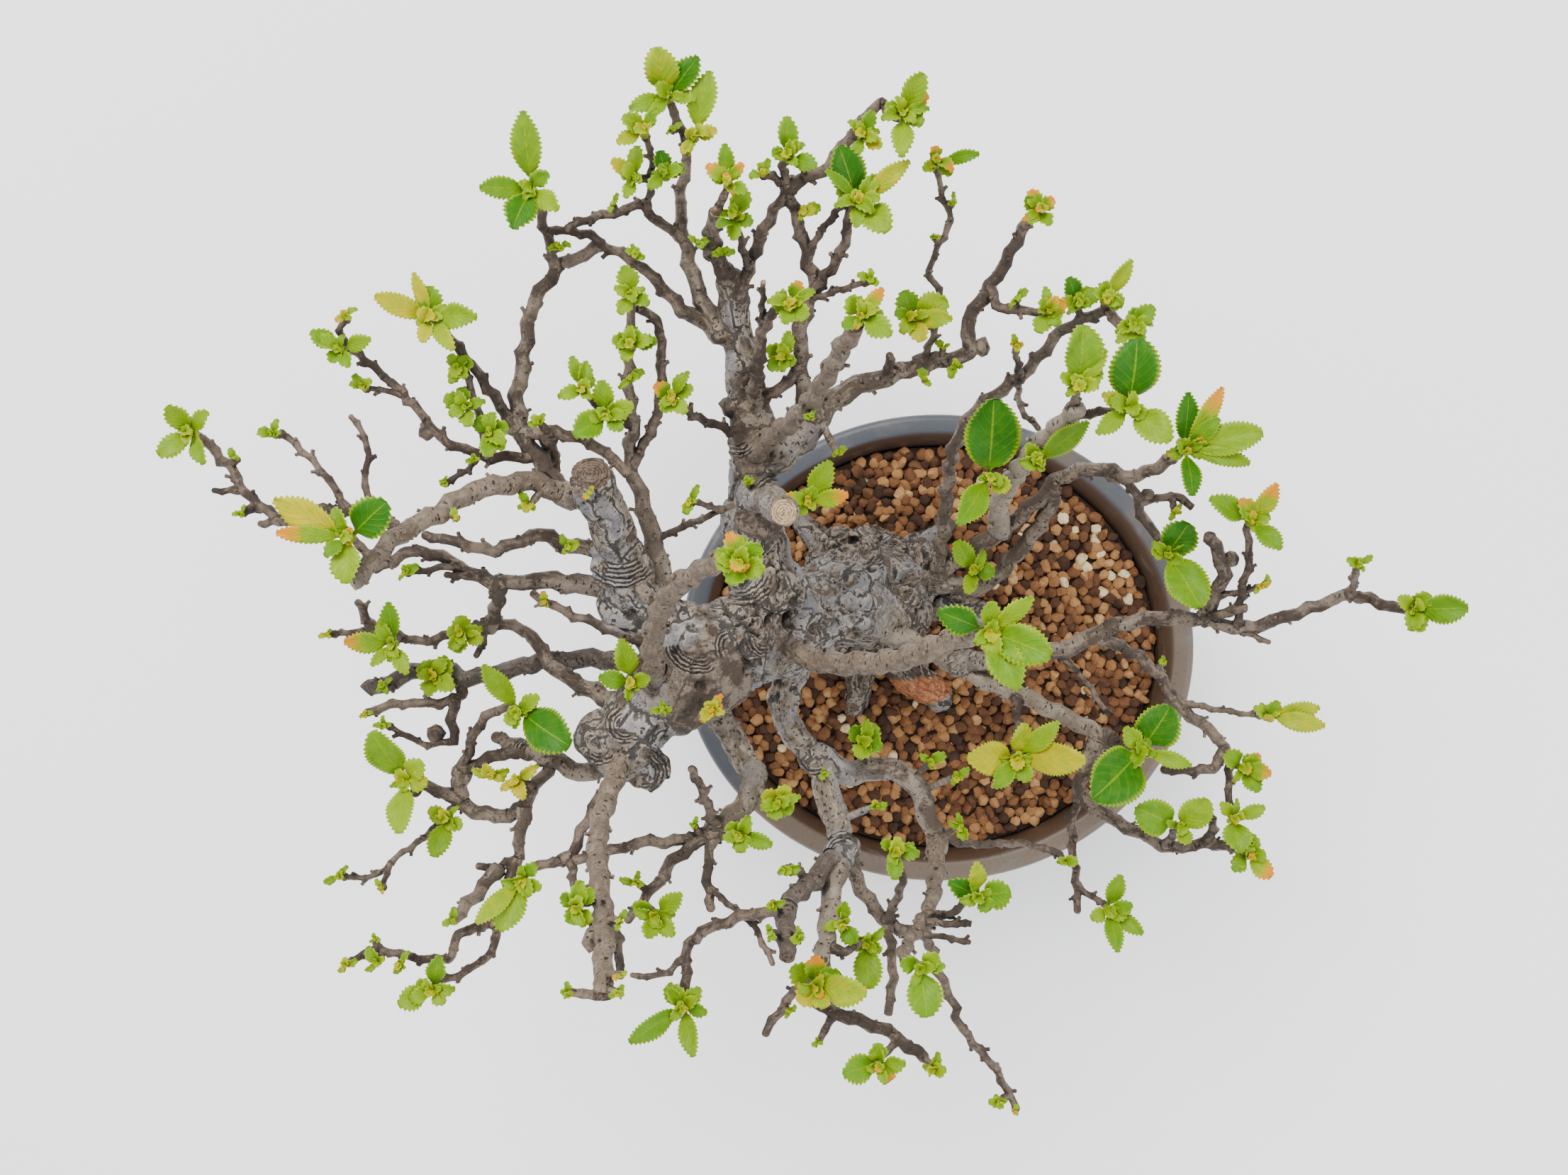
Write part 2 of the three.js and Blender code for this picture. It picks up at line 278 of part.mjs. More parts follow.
// Leaf heads: name, traced place of the base, and the leaves as [tip across, tip down, width],
// all in the traced view.
const SPROUTS = [
  ["north_tip", 943, 142, [[925, 66, 46], [986, 80, 40], [888, 155, 24], [983, 140, 20], [920, 164, 18]]],
  ["north_tip_side", 980, 196, [[1002, 100, 38], [1012, 184, 20], [962, 218, 16]]],
  ["north_bud_tip", 909, 190, [[884, 164, 18], [925, 160, 16], [870, 202, 20]]],
  ["north_left", 897, 252, [[862, 226, 20], [882, 280, 18], [876, 250, 16]]],
  ["north_left_high", 940, 250, [[930, 212, 24], [966, 236, 22], [914, 266, 18]]],
  ["north_stub_top", 1028, 262, [[1022, 202, 22], [1048, 230, 16], [1004, 250, 16], [1054, 272, 18]]],
  ["north_mid_side", 1036, 308, [[1012, 320, 18], [1062, 316, 20], [1036, 340, 20], [1050, 288, 16]]],
  ["north_knuckle", 1112, 225, [[1110, 164, 27], [1153, 235, 24], [1088, 214, 18], [1126, 198, 16]]],
  ["north_arch", 1216, 196, [[1232, 156, 20], [1244, 208, 20], [1204, 224, 18]]],
  ["north_arch_tip", 1272, 165, [[1303, 103, 32], [1310, 134, 20], [1302, 176, 26], [1272, 222, 30],
    [1248, 148, 18]]],
  ["north_fan", 1210, 290, [[1183, 206, 50], [1284, 227, 26], [1254, 326, 42], [1180, 268, 22],
    [1164, 240, 16], [1208, 322, 20], [1242, 280, 22]]],
  ["north_pencil", 1116, 432, [[1090, 422, 32], [1128, 396, 22], [1138, 450, 26], [1106, 458, 22]]],
  ["north_rise", 1106, 506, [[1082, 490, 24], [1112, 484, 18], [1084, 522, 22], [1122, 514, 16]]],
  ["tall_brown_tip", 1214, 450, [[1198, 418, 30], [1246, 406, 20], [1258, 474, 32], [1188, 462, 20]]],
  ["tall_yellow", 1286, 452, [[1274, 410, 32], [1337, 424, 44], [1344, 450, 26], [1302, 482, 26],
    [1262, 440, 18]]],
  ["northeast_tip", 1464, 300, [[1446, 278, 20], [1487, 280, 20], [1482, 318, 20], [1452, 316, 16]]],
  ["northeast_side", 1476, 442, [[1504, 426, 26], [1464, 470, 26], [1494, 460, 20], [1468, 422, 18]]],
  ["northeast_thin", 1322, 232, [[1382, 217, 18], [1318, 206, 18], [1302, 240, 16], [1342, 248, 16]]],
  ["north_spur", 1140, 710, [[1172, 650, 32], [1197, 698, 24], [1150, 686, 18], [1124, 726, 18]]],
  ["north_cross", 950, 562, [[923, 542, 24], [978, 546, 22], [934, 582, 22], [968, 584, 20]]],
  ["northwest_top", 752, 270, [[738, 156, 40], [676, 266, 30], [724, 324, 44], [788, 296, 28],
    [774, 244, 22]]],
  ["northwest_left", 612, 452, [[528, 418, 30], [604, 404, 36], [583, 384, 18], [673, 447, 34],
    [640, 494, 22], [596, 484, 20]]],
  ["northwest_low_up", 649, 522, [[634, 500, 18], [668, 512, 18], [640, 540, 16]]],
  ["northwest_crook", 660, 575, [[626, 560, 26], [662, 602, 24], [650, 546, 20]]],
  ["northwest_mid", 694, 614, [[673, 588, 24], [716, 598, 24], [688, 645, 24], [712, 634, 20]]],
  ["northwest_low_tip", 484, 495, [[438, 467, 26], [524, 478, 22], [466, 512, 20], [494, 518, 20]]],
  ["west_blunt", 496, 758, [[546, 708, 54], [387, 705, 44], [390, 752, 24], [490, 824, 42], [458, 786, 22]]],
  ["west_far", 276, 612, [[224, 643, 30], [236, 572, 30], [294, 581, 24], [288, 655, 22]]],
  ["mid_north_top", 893, 418, [[880, 374, 30], [874, 444, 22], [916, 430, 20]]],
  ["mid_north_bud", 892, 488, [[863, 479, 24], [927, 481, 22], [880, 510, 20], [902, 466, 18]]],
  ["mid_north_fan", 858, 588, [[809, 615, 38], [848, 536, 28], [894, 570, 24], [878, 608, 22]]],
  ["mid_north_spiky", 824, 552, [[806, 502, 18], [796, 552, 18], [838, 532, 16]]],
  ["west_low_end", 558, 908, [[548, 849, 28], [485, 905, 28], [524, 940, 16], [575, 952, 22]]],
  ["west_low_mid", 655, 893, [[650, 868, 22], [682, 904, 20], [645, 922, 22], [630, 890, 20]]],
  ["west_dark", 616, 952, [[591, 938, 24], [637, 932, 22], [604, 982, 24], [640, 972, 22]]],
  ["southwest_hood", 733, 1002, [[681, 938, 30], [804, 1053, 60], [760, 982, 22], [714, 1022, 20]]],
  ["southwest_left", 574, 1098, [[524, 1032, 48], [562, 1176, 38], [596, 1074, 24], [604, 1104, 22]]],
  ["southwest_low", 634, 1152, [[612, 1210, 30], [604, 1142, 22], [652, 1168, 20]]],
  ["mid_west_pair", 893, 962, [[876, 901, 30], [844, 955, 26], [918, 956, 20]]],
  ["close_brown_tip", 1045, 793, [[1038, 755, 34], [1074, 770, 32], [1078, 808, 32], [1030, 826, 30],
    [1010, 796, 28]]],
  ["southwest_inner", 817, 1276, [[793, 1260, 24], [837, 1253, 24], [803, 1304, 24], [834, 1302, 22]]],
  ["southwest_pale", 740, 1238, [[704, 1314, 42], [671, 1303, 26], [756, 1218, 20], [764, 1254, 20]]],
  ["southwest_end", 612, 1392, [[620, 1348, 26], [561, 1418, 32], [588, 1384, 20], [628, 1416, 20]]],
  ["south_end", 965, 1415, [[978, 1492, 26], [887, 1471, 30], [938, 1393, 22], [988, 1393, 22],
    [998, 1428, 20]]],
  ["south_mid", 926, 1288, [[893, 1275, 26], [962, 1260, 26], [913, 1325, 26], [952, 1320, 24]]],
  ["southeast_crown", 1150, 1385, [[1116, 1364, 34], [1150, 1347, 30], [1184, 1370, 30], [1126, 1415, 34],
    [1166, 1422, 30], [1223, 1400, 42]]],
  ["southeast_far", 1240, 1496, [[1188, 1515, 38], [1258, 1524, 26], [1238, 1472, 26], [1278, 1500, 24]]],
  ["southeast_mid", 1188, 1300, [[1206, 1332, 26], [1192, 1272, 20]]],
  ["southeast_drop", 1220, 1326, [[1226, 1396, 38], [1244, 1342, 20], [1204, 1338, 18]]],
  ["pot_south_leaf", 1378, 1262, [[1338, 1244, 28], [1378, 1216, 24], [1426, 1257, 42], [1398, 1284, 24]]],
  ["pot_south_drop", 1298, 1362, [[1308, 1436, 48], [1270, 1357, 24], [1324, 1346, 24]]],
  ["south_yellow", 1097, 1131, [[1076, 1118, 24], [1112, 1108, 24], [1120, 1144, 24], [1088, 1156, 24]]],
  ["south_bend", 1045, 1176, [[1090, 1192, 22], [1026, 1162, 22], [1046, 1204, 22]]],
  ["pot_green", 1220, 1044, [[1200, 1026, 26], [1236, 1022, 26], [1244, 1056, 26], [1210, 1070, 26]]],
  ["pot_fan", 1432, 1068, [[1364, 1070, 46], [1531, 1072, 44], [1446, 1020, 30], [1494, 1018, 28],
    [1450, 1104, 26], [1402, 1112, 26]]],
  ["pot_small", 1262, 1198, [[1262, 1242, 22], [1298, 1205, 20], [1244, 1186, 16]]],
  ["close_east_tip", 1392, 890, [[1322, 862, 40], [1437, 974, 48], [1483, 926, 54], [1458, 842, 26],
    [1400, 848, 26]]],
  ["east_giant", 1608, 1058, [[1651, 996, 60], [1540, 1128, 76], [1681, 1080, 22], [1586, 1026, 26]]],
  ["east_low_pair", 1660, 1165, [[1601, 1139, 50], [1704, 1127, 44], [1676, 1192, 22]]],
  ["east_low_tip", 1757, 1205, [[1793, 1238, 28], [1766, 1176, 22], [1786, 1204, 22], [1738, 1228, 20]]],
  ["east_down_tip", 1561, 1280, [[1581, 1234, 24], [1613, 1318, 22], [1577, 1344, 24], [1538, 1296, 20],
    [1598, 1276, 20]]],
  ["far_east_tip", 1988, 860, [[2072, 858, 40], [2014, 836, 26], [2006, 892, 26], [1972, 842, 20]]],
  ["far_east_rise", 1761, 737, [[1707, 702, 32], [1802, 682, 28], [1792, 728, 20], [1807, 776, 28]]],
  ["east_fan_thin", 1784, 1010, [[1862, 998, 28], [1869, 1024, 26], [1802, 988, 20]]],
  ["east_fan_end", 1749, 1082, [[1728, 1062, 28], [1772, 1066, 24], [1776, 1118, 24], [1794, 1092, 24]]],
  ["east_fan_low", 1738, 1152, [[1749, 1204, 38], [1784, 1138, 20], [1722, 1132, 18]]],
  ["northeast_giant", 1394, 674, [[1402, 562, 78], [1351, 741, 40], [1424, 692, 26]]],
  ["northeast_pale_side", 1462, 652, [[1535, 595, 32], [1448, 626, 20]]],
  ["northeast_pale_up", 1519, 547, [[1528, 458, 54], [1560, 492, 24], [1496, 528, 20]]],
  ["northeast_pale_end", 1590, 578, [[1604, 476, 68], [1652, 623, 44], [1554, 556, 22], [1546, 612, 26]]],
  ["northeast_spray", 1667, 636, [[1676, 553, 30], [1724, 546, 26], [1720, 590, 24], [1782, 610, 44],
    [1764, 654, 24], [1682, 700, 28]]],
  ["northeast_low", 1644, 783, [[1677, 738, 50], [1693, 858, 58], [1624, 776, 22]]],
  ["northeast_inner", 1372, 806, [[1348, 763, 28], [1404, 807, 24], [1364, 838, 20]]],
  ["north_sweep_high", 1519, 432, [[1538, 405, 20], [1507, 391, 26], [1496, 424, 18]]],
  ["north_sweep_mid", 1557, 425, [[1597, 366, 22], [1586, 428, 24], [1560, 396, 16]]],
  ["north_sweep_tip", 1594, 462, [[1604, 434, 22], [1628, 432, 26], [1608, 486, 24], [1574, 484, 18]]],
];

// Buds that are just opening: traced place and reach in the traced view.
const BUDS = [
  [1132, 300, 18], [747, 714, 18], [695, 1093, 20], [733, 1098, 22], [1004, 1000, 20], [1314, 1504, 24],
  [1500, 1214, 18], [1355, 1165, 19],
];

// A repeatable number from 0 to 1 for a pair of whole numbers.
function spread(seed, salt) {
  const value = Math.sin(seed * 12.9898 + salt * 78.233) * 43758.5453;
  return value - Math.floor(value);
}

// The place in the tree of a traced point at a height.
function place(across, down, height) {
  const scale = (VIEW_HEIGHT - height) / VIEW_FOCAL;
  return new THREE.Vector3((across - VIEW_ACROSS) * scale, (VIEW_DOWN - down) * scale, height);
}

// The traced point of a place, the other way round.
function traced(point) {
  const scale = (VIEW_HEIGHT - point.z) / VIEW_FOCAL;
  return new THREE.Vector2(VIEW_ACROSS + point.x / scale, VIEW_DOWN - point.y / scale);
}

// The point on a chain of places that lies nearest to a traced point, seen in the traced view.
function nearestOnLine(places, across, down) {
  const target = new THREE.Vector2(across, down);
  let best = { distance: Infinity };
  for (let i = 0; i + 1 < places.length; i += 1) {
    const from = traced(places[i]);
    const along = traced(places[i + 1]).sub(from);
    const share = THREE.MathUtils.clamp(target.clone().sub(from).dot(along) / along.lengthSq(), 0, 1);
    const distance = from.clone().addScaledVector(along, share).distanceTo(target);
    if (distance < best.distance) {
      best = { distance, index: i, share, point: places[i].clone().lerp(places[i + 1], share) };
    }
  }
  return best;
}

// Heights between the traced ones follow the length of the line.
function fillHeights(points, startHeight) {
  const heights = points.map((point) => point[2]);
  heights[0] = startHeight;
  let known = 0;
  for (let i = 1; i < points.length; i += 1) {
    if (heights[i] === undefined) {
      continue;
    }
    const reach = [0];
    for (let j = known + 1; j <= i; j += 1) {
      const step = Math.hypot(points[j][0] - points[j - 1][0], points[j][1] - points[j - 1][1]);
      reach.push(reach[reach.length - 1] + step);
    }
    for (let j = known + 1; j < i; j += 1) {
      const share = reach[j - known] / reach[i - known];
      heights[j] = THREE.MathUtils.lerp(heights[known], heights[i], share);
    }
    known = i;
  }
  return heights;
}

// Radii at each place, from diameters spread evenly along the line.
function radiiAlong(places, diameters) {
  const reach = [0];
  for (let i = 1; i < places.length; i += 1) {
    reach.push(reach[i - 1] + places[i].distanceTo(places[i - 1]));
  }
  return reach.map((length) => {
    const slot = (length / reach[reach.length - 1]) * (diameters.length - 1);
    const low = Math.min(Math.floor(slot), diameters.length - 2);
    return THREE.MathUtils.lerp(diameters[low], diameters[low + 1], slot - low) / 2;
  });
}

// The places that a line needs, so that none left out lies further off it than the tolerance.
function neededPlaces(places) {
  const last = places.length - 1;
  const chord = new THREE.Line3(places[0], places[last]);
  const near = new THREE.Vector3();
  let far = { gap: 0, at: 0 };
  for (let i = 1; i < last; i += 1) {
    const gap = chord.closestPointToPoint(places[i], true, near).distanceTo(places[i]);
    if (gap > far.gap) {
      far = { gap, at: i };
    }
  }
  if (far.gap <= LINE_TOLERANCE) {
    return [places[0], places[last]];
  }
  const before = neededPlaces(places.slice(0, far.at + 1));
  const after = neededPlaces(places.slice(far.at));
  return [...before.slice(0, -1), ...after];
}

// Every limb as a chain of places with radii.
function growLimbs() {
  const grown = new Map();
  for (const [name, parent, diameters, points] of LIMBS) {
    let start = place(points[0][0], points[0][1], points[0][2] ?? 0);
    if (parent !== null) {
      start = nearestOnLine(grown.get(parent).places, points[0][0], points[0][1]).point;
    }
    const heights = fillHeights(points, start.z);
    const line = points.map((point, i) => place(point[0], point[1], heights[i]));
    line[0] = start;
    const places = neededPlaces(line);
    grown.set(name, { name, places, radii: radiiAlong(places, diameters) });
  }
  return grown;
}

// A closed body from rings of places, each ring with the same count. The first end is flat, and the
// last one is flat too or rises to an apex.
function ringBody(rings, apex = null) {
  const count = rings[0].length;
  const points = apex === null ? rings.flat() : [...rings.flat(), apex];
  const positions = points.flatMap((point) => [point.x, point.y, point.z]);
  const index = [];
  for (let r = 0; r + 1 < rings.length; r += 1) {
    for (let s = 0; s < count; s += 1) {
      const a = r * count + s;
      const b = r * count + ((s + 1) % count);
      index.push(a, b, b + count, a, b + count, a + count);
    }
  }
  const last = (rings.length - 1) * count;
  for (let s = 1; s + 1 < count; s += 1) {
    index.push(0, s + 1, s);
    if (apex === null) {
      index.push(last, last + s, last + s + 1);
    }
  }
  if (apex !== null) {
    for (let s = 0; s < count; s += 1) {
      index.push(last + s, last + ((s + 1) % count), points.length - 1);
    }
  }
  return solid(positions, index);
}

function solid(positions, index) {
  return new wasm.Manifold(new wasm.Mesh({
    numProp: 3,
    vertProperties: Float32Array.from(positions),
    triVerts: Uint32Array.from(index),
  }));
}

// A limb's round body. The rings turn with the line without twisting.
function sweep(places, radii, sides, grow = 0) {
  const steps = [];
  for (let i = 0; i + 1 < places.length; i += 1) {
    steps.push(places[i + 1].clone().sub(places[i]).normalize());
  }
  const rings = [];
  const across = new THREE.Vector3(0.31, 0.83, 0.47);
  places.forEach((point, i) => {
    const before = steps[Math.max(i - 1, 0)];
    const after = steps[Math.min(i, steps.length - 1)];
    const ahead = before.clone().add(after).normalize();
    across.addScaledVector(ahead, -across.dot(ahead)).normalize();
    const up = ahead.clone().cross(across);
    let end = 0;
    if (i === 0) {
      end = -grow;
    } else if (i === places.length - 1) {
      end = grow;
    }
    const centre = point.clone().addScaledVector(ahead, end);
    const ring = [];
    for (let s = 0; s < sides; s += 1) {
      const turn = (2 * Math.PI * s) / sides;
      ring.push(centre.clone()
        .addScaledVector(across, (radii[i] + grow) * Math.cos(turn))
        .addScaledVector(up, (radii[i] + grow) * Math.sin(turn)));
    }
    rings.push(ring);
  });
  return ringBody(rings);
}

function sidesFor(radius) {
  if (radius > 8) {
    return 8;
  }
  if (radius > 4) {
    return 6;
  }
  if (radius > 2.6) {
    return 5;
  }
  return radius > 1.75 ? 4 : 3;
}

function limbBody(limb, grow = 0) {
  return sweep(limb.places, limb.radii, sidesFor(Math.max(...limb.radii)), grow);
}

// A squat faceted lump.
function knob(across, down, height, diameter) {
  const centre = place(across, down, height);
  const radius = diameter / 2;
  const levels = [[-0.8, 0.55], [-0.1, 1], [0.75, 0.6]];
  const rings = levels.map(([rise, wide], level) => {
    const ring = [];
    for (let s = 0; s < 6; s += 1) {
      const turn = (2 * Math.PI * (s + 0.4 * level)) / 6;
      const reach = radius * wide * (0.92 + 0.14 * spread(across + s, down + level));
      ring.push(new THREE.Vector3(
        centre.x + reach * Math.cos(turn),
        centre.y + reach * Math.sin(turn),
        centre.z + radius * rise,
      ));
    }
    return ring;
  });
  return ringBody(rings);
}

function unite(bodies) {
  return bodies.reduce((whole, body) => whole.add(body));
}

// The seat of a leaf head: the nearest limb in the traced view, its highest where several are near.
// A head off the wood gets a short spur, level at both ends.
const SEAT_SEARCH = 9;
const SPUR_RISE = 1.4;
const SPUR_SLOPE = 0.5;
const ON_WOOD = 0.9;
const STEEP = 0.45;

function seatOn(limb, across, down) {
  const hit = nearestOnLine(limb.places, across, down);
  const ahead = limb.places[hit.index + 1].clone().sub(limb.places[hit.index]).normalize();
  const level = Math.max(Math.hypot(ahead.x, ahead.y), 0.4);
  const thick = THREE.MathUtils.lerp(limb.radii[hit.index], limb.radii[hit.index + 1], hit.share);
  const scale = (VIEW_HEIGHT - hit.point.z) / VIEW_FOCAL;
  const reach = hit.distance * scale;
  const atTip = hit.index === limb.places.length - 2 && hit.share === 1;
  const flat = sidesFor(Math.max(...limb.radii)) === 3 ? 0.75 : 1;
  const radius = flat * (atTip ? thick * level : thick / level);
  const steep = ahead.z / level;
  const slope = atTip ? Math.max(-steep, 0) : Math.abs(steep);
  return { ...hit, reach, radius, slope, gap: Math.max(reach - thick, 0), top: hit.point.z + radius };
}

function seatSpur(limbs, across, down) {
  const near = [...limbs.values()].map((limb) => seatOn(limb, across, down));
  const closest = Math.min(...near.map((hit) => hit.gap));
  const candidates = near.filter((hit) => hit.gap <= closest + SEAT_SEARCH / 4.2);
  const seat = candidates.reduce((best, hit) => (hit.top > best.top ? hit : best));
  const onWood = seat.gap <= ON_WOOD && seat.slope < STEEP;
  const overhang = Math.min(seat.reach / seat.radius, 1);
  let rise = seat.radius * Math.sqrt(1 - overhang * overhang) + CORE_RADIUS * seat.slope + 0.28;
  if (!onWood) {
    rise += SPUR_RISE + SPUR_SLOPE * seat.reach;
  }
  const tip = place(across, down, seat.point.z + rise);
  return { onWood, places: [seat.point, tip], radii: [SPUR_DIAMETER / 2 + 0.2, SPUR_DIAMETER / 2 - 0.1] };
}

function levelRing(centre, radius, sides, turned = 0) {
  const ring = [];
  for (let s = 0; s < sides; s += 1) {
    const turn = (2 * Math.PI * (s + turned)) / sides;
    const x = centre.x + radius * Math.cos(turn);
    const y = centre.y + radius * Math.sin(turn);
    ring.push(new THREE.Vector3(x, y, centre.z));
  }
  return ring;
}

function spurBody(spur) {
  return ringBody(spur.places.map((point, i) => levelRing(point, spur.radii[i], 4)));
}

// Stations of a blade from root to tip as [share of the length, share of the half width]: the
// largest have cut edges, with a notch after each tooth.
function bladeStations(length) {
  if (length > TOOTHED_LENGTH) {
    return [[0, 0], [0.34, 0.95], [0.4, 0.95 - TOOTH_DEPTH], [0.68, 0.92]];
  }
  if (length > PLAIN_LENGTH) {
    return [[0, 0], [0.36, 0.95], [0.7, 0.8]];
  }
  return [[0, 0], [0.52, 1]];
}

// A leaf's line from the core to its tip: raised, arched and a little rolled.
function bladeFrame(base, leaf, lift) {
  const flat = place(leaf.tip[0], leaf.tip[1], base.z);
  const reach = Math.hypot(flat.x - base.x, flat.y - base.y);
  const rise = reach * leaf.slope + lift;
  const tip = place(leaf.tip[0], leaf.tip[1], base.z + rise);
  const out = new THREE.Vector3(tip.x - base.x, tip.y - base.y, 0).normalize();
  const root = base.clone().addScaledVector(out, CORE_RADIUS * 0.5);
  const side = new THREE.Vector3(-out.y, out.x, 0);
  side.z = leaf.roll;
  side.normalize();
  const scale = (VIEW_HEIGHT - tip.z) / VIEW_FOCAL;
  const half = Math.min((leaf.width * scale) / 2, 0.45 * reach + 1);
  return { root, tip, side, half, arch: reach * leaf.arch, length: root.distanceTo(tip) };
}

function bladePoint(frame, share, across) {
  const along = frame.root.clone().lerp(frame.tip, share);
  along.z += frame.arch * 4 * share * (1 - share);
  return along.addScaledVector(frame.side, across);
}

function bladeBody(frame) {
  const stations = bladeStations(frame.length);
  const rings = [];
  const half = BLADE_THICKNESS / 2;
  for (const [share, wide] of stations) {
    const across = Math.max(wide * frame.half, BLADE_ROOT);
    const ahead = bladePoint(frame, share + 0.02, 0).sub(bladePoint(frame, share - 0.02, 0)).normalize();
    const normal = ahead.cross(frame.side).normalize().multiplyScalar(half);
    const left = bladePoint(frame, share, across);
    const right = bladePoint(frame, share, -across);
    rings.push([left.clone().add(normal), right.clone().add(normal), right.clone().sub(normal),
      left.clone().sub(normal)]);
  }
  return pointedBody(rings, bladePoint(frame, 1, 0), half);
}

// Rings closed by a thin edge at the tip.
function pointedBody(rings, tip, half) {
  const positions = rings.flat().flatMap((point) => [point.x, point.y, point.z]);
  positions.push(tip.x, tip.y, tip.z + half, tip.x, tip.y, tip.z - half);
  const index = [];
  for (let r = 0; r + 1 < rings.length; r += 1) {
    for (let s = 0; s < 4; s += 1) {
      const a = 4 * r + s;
      const b = 4 * r + ((s + 1) % 4);
      index.push(a, b, b + 4, a, b + 4, a + 4);
    }
  }
  const last = 4 * (rings.length - 1);
  const high = 4 * rings.length;
  const low = high + 1;
  index.push(0, 2, 1, 0, 3, 2);
  index.push(last, last + 1, high, last + 2, last + 3, low);
  index.push(last + 1, last + 2, low, last + 1, low, high);
  index.push(last + 3, last, high, last + 3, high, low);
  return solid(positions, index);
}

// The short scaly core of a head.
function coreBody(foot) {
  const top = foot.clone().setZ(foot.z + CORE_HEIGHT);
  return ringBody([levelRing(foot, CORE_RADIUS, 4), levelRing(top, CORE_RADIUS * 0.85, 4)]);
}

// How far a point stands clear of a limb's surface.
function clearOf(point, limb) {
  let clear = Infinity;
  for (let i = 0; i + 1 < limb.places.length; i += 1) {
    const along = limb.places[i + 1].clone().sub(limb.places[i]);
    const from = point.clone().sub(limb.places[i]);
    const share = THREE.MathUtils.clamp(from.dot(along) / along.lengthSq(), 0, 1);
    const radius = THREE.MathUtils.lerp(limb.radii[i], limb.radii[i + 1], share);
    clear = Math.min(clear, from.addScaledVector(along, -share).length() - radius);
  }
  return clear;
}

// A leaf is lifted in steps until it stands clear of the wood and of the leaves made before it.
const LIFT_STEP = 1.5;
const LIFT_STEPS = 14;
const BLADE_CLEAR = 0.95;
const SAMPLE_SHARES = [0.3, 0.5, 0.7, 0.85, 1];
const SAMPLE_SIDES = [-0.95, 0, 0.95];

function bladeClearance(frame, obstacles) {
  let clear = Infinity;
  for (const share of SAMPLE_SHARES) {
    const wide = frame.half * Math.min(1, 3 * (1.02 - share));
    for (const side of SAMPLE_SIDES) {
      const point = bladePoint(frame, share, side * wide);
      for (const limb of obstacles) {
        clear = Math.min(clear, clearOf(point, limb));
      }
    }
  }
  return clear;
}

function settleBlade(base, leaf, obstacles) {
  let best = { clear: -Infinity };
  for (let step = 0; step <= LIFT_STEPS; step += 1) {
    const frame = bladeFrame(base, leaf, step * LIFT_STEP);
    const clear = bladeClearance(frame, obstacles);
    if (clear > best.clear) {
      best = { clear, frame };
    }
    if (clear >= BLADE_CLEAR) {
      break;
    }
  }
  return best.frame;
}

// What a settled blade takes up, as three thin chains along it.
function bladeChains(frame) {
  return [-0.6, 0, 0.6].map((side) => {
    const shares = [0.2, 0.5, 0.8, 1];
    const places = shares.map((share) => bladePoint(frame, share, side * frame.half * (1.2 - share)));
    return { places, radii: shares.map(() => 0.4 + 0.18 * frame.half) };
  });
}

function nearby(obstacles, base, reach) {
  return obstacles.filter((limb) => clearOf(base, limb) < reach);
}

// An opening bud: a stalk that widens into a cupped star of pointed leaves.
const BUD_LEAVES = 3;
const BUD_CUP = 0.45;

function budBody(bud) {
  const [low, top] = bud.spur.places;
  const reach = bud.reach * ((VIEW_HEIGHT - top.z) / VIEW_FOCAL);
  const star = (height, shrink) => {
    const ring = [];
    for (let i = 0; i < 2 * BUD_LEAVES; i += 1) {
      const turn = (Math.PI * (i + spread(bud.across, 3))) / BUD_LEAVES;
      const leaf = i % 2 === 0;
      const far = leaf ? reach * (0.85 + 0.3 * spread(bud.down + i, 5)) - shrink : 0.32 * reach;
      const x = top.x + far * Math.cos(turn);
      const y = top.y + far * Math.sin(turn);
      ring.push(new THREE.Vector3(x, y, top.z + height + (leaf ? BUD_CUP * reach : 0)));
    }
    return ring;
  };
  const apex = top.clone().setZ(top.z + BLADE_THICKNESS + 0.6);
  return ringBody([levelRing(low, 1.3, 2 * BUD_LEAVES), star(0, 0), star(BLADE_THICKNESS, 0.1)], apex);
}

// All heads with their spurs and settled blades.
function growHeads(limbs) {
  const heads = SPROUTS.map(([name, across, down, leaves]) => {
    const large = leaves.filter((leaf, i) => i < 2 || (i < MOST_LEAVES && leaf[2] > SMALLEST_LEAF));
    const spur = seatSpur(limbs, across, down);
    const areas = leaves.map((leaf) => leaf[2] * Math.hypot(leaf[0] - across, leaf[1] - down));
    const area = areas.reduce((sum, part) => sum + part);
    return { name, across, down, leaves: large, spur, area };
  });
  const wood = [...limbs.values(), ...heads.map((head) => head.spur)];
  const taken = [];
  heads.forEach((head, h) => {
    const others = wood.filter((limb) => limb !== head.spur).concat(taken);
    const foot = head.spur.places[1];
    head.frames = head.leaves.map((leaf, i) => {
      const base = foot.clone();
      base.z += SEAT_GAP + FIRST_LEAF + LEAF_PITCH * i;
      const shape = {
        tip: leaf,
        width: leaf[2],
        slope: 0.32 + 0.4 * spread(h + 1, i),
        roll: 0.5 * (spread(h + 3, i + 5) - 0.5),
        arch: 0.05 + 0.09 * spread(h + 5, i + 9),
      };
      const reach = 3 + Math.hypot(leaf[0] - head.across, leaf[1] - head.down) / 3;
      return settleBlade(base, shape, nearby(others, base, reach));
    });
    taken.push(...head.frames.flatMap(bladeChains));
  });
  return heads;
}

function headBody(head, gap) {
  const foot = head.spur.places[1].clone();
  foot.z += gap;
  return unite([coreBody(foot), ...head.frames.map(bladeBody)]);
}

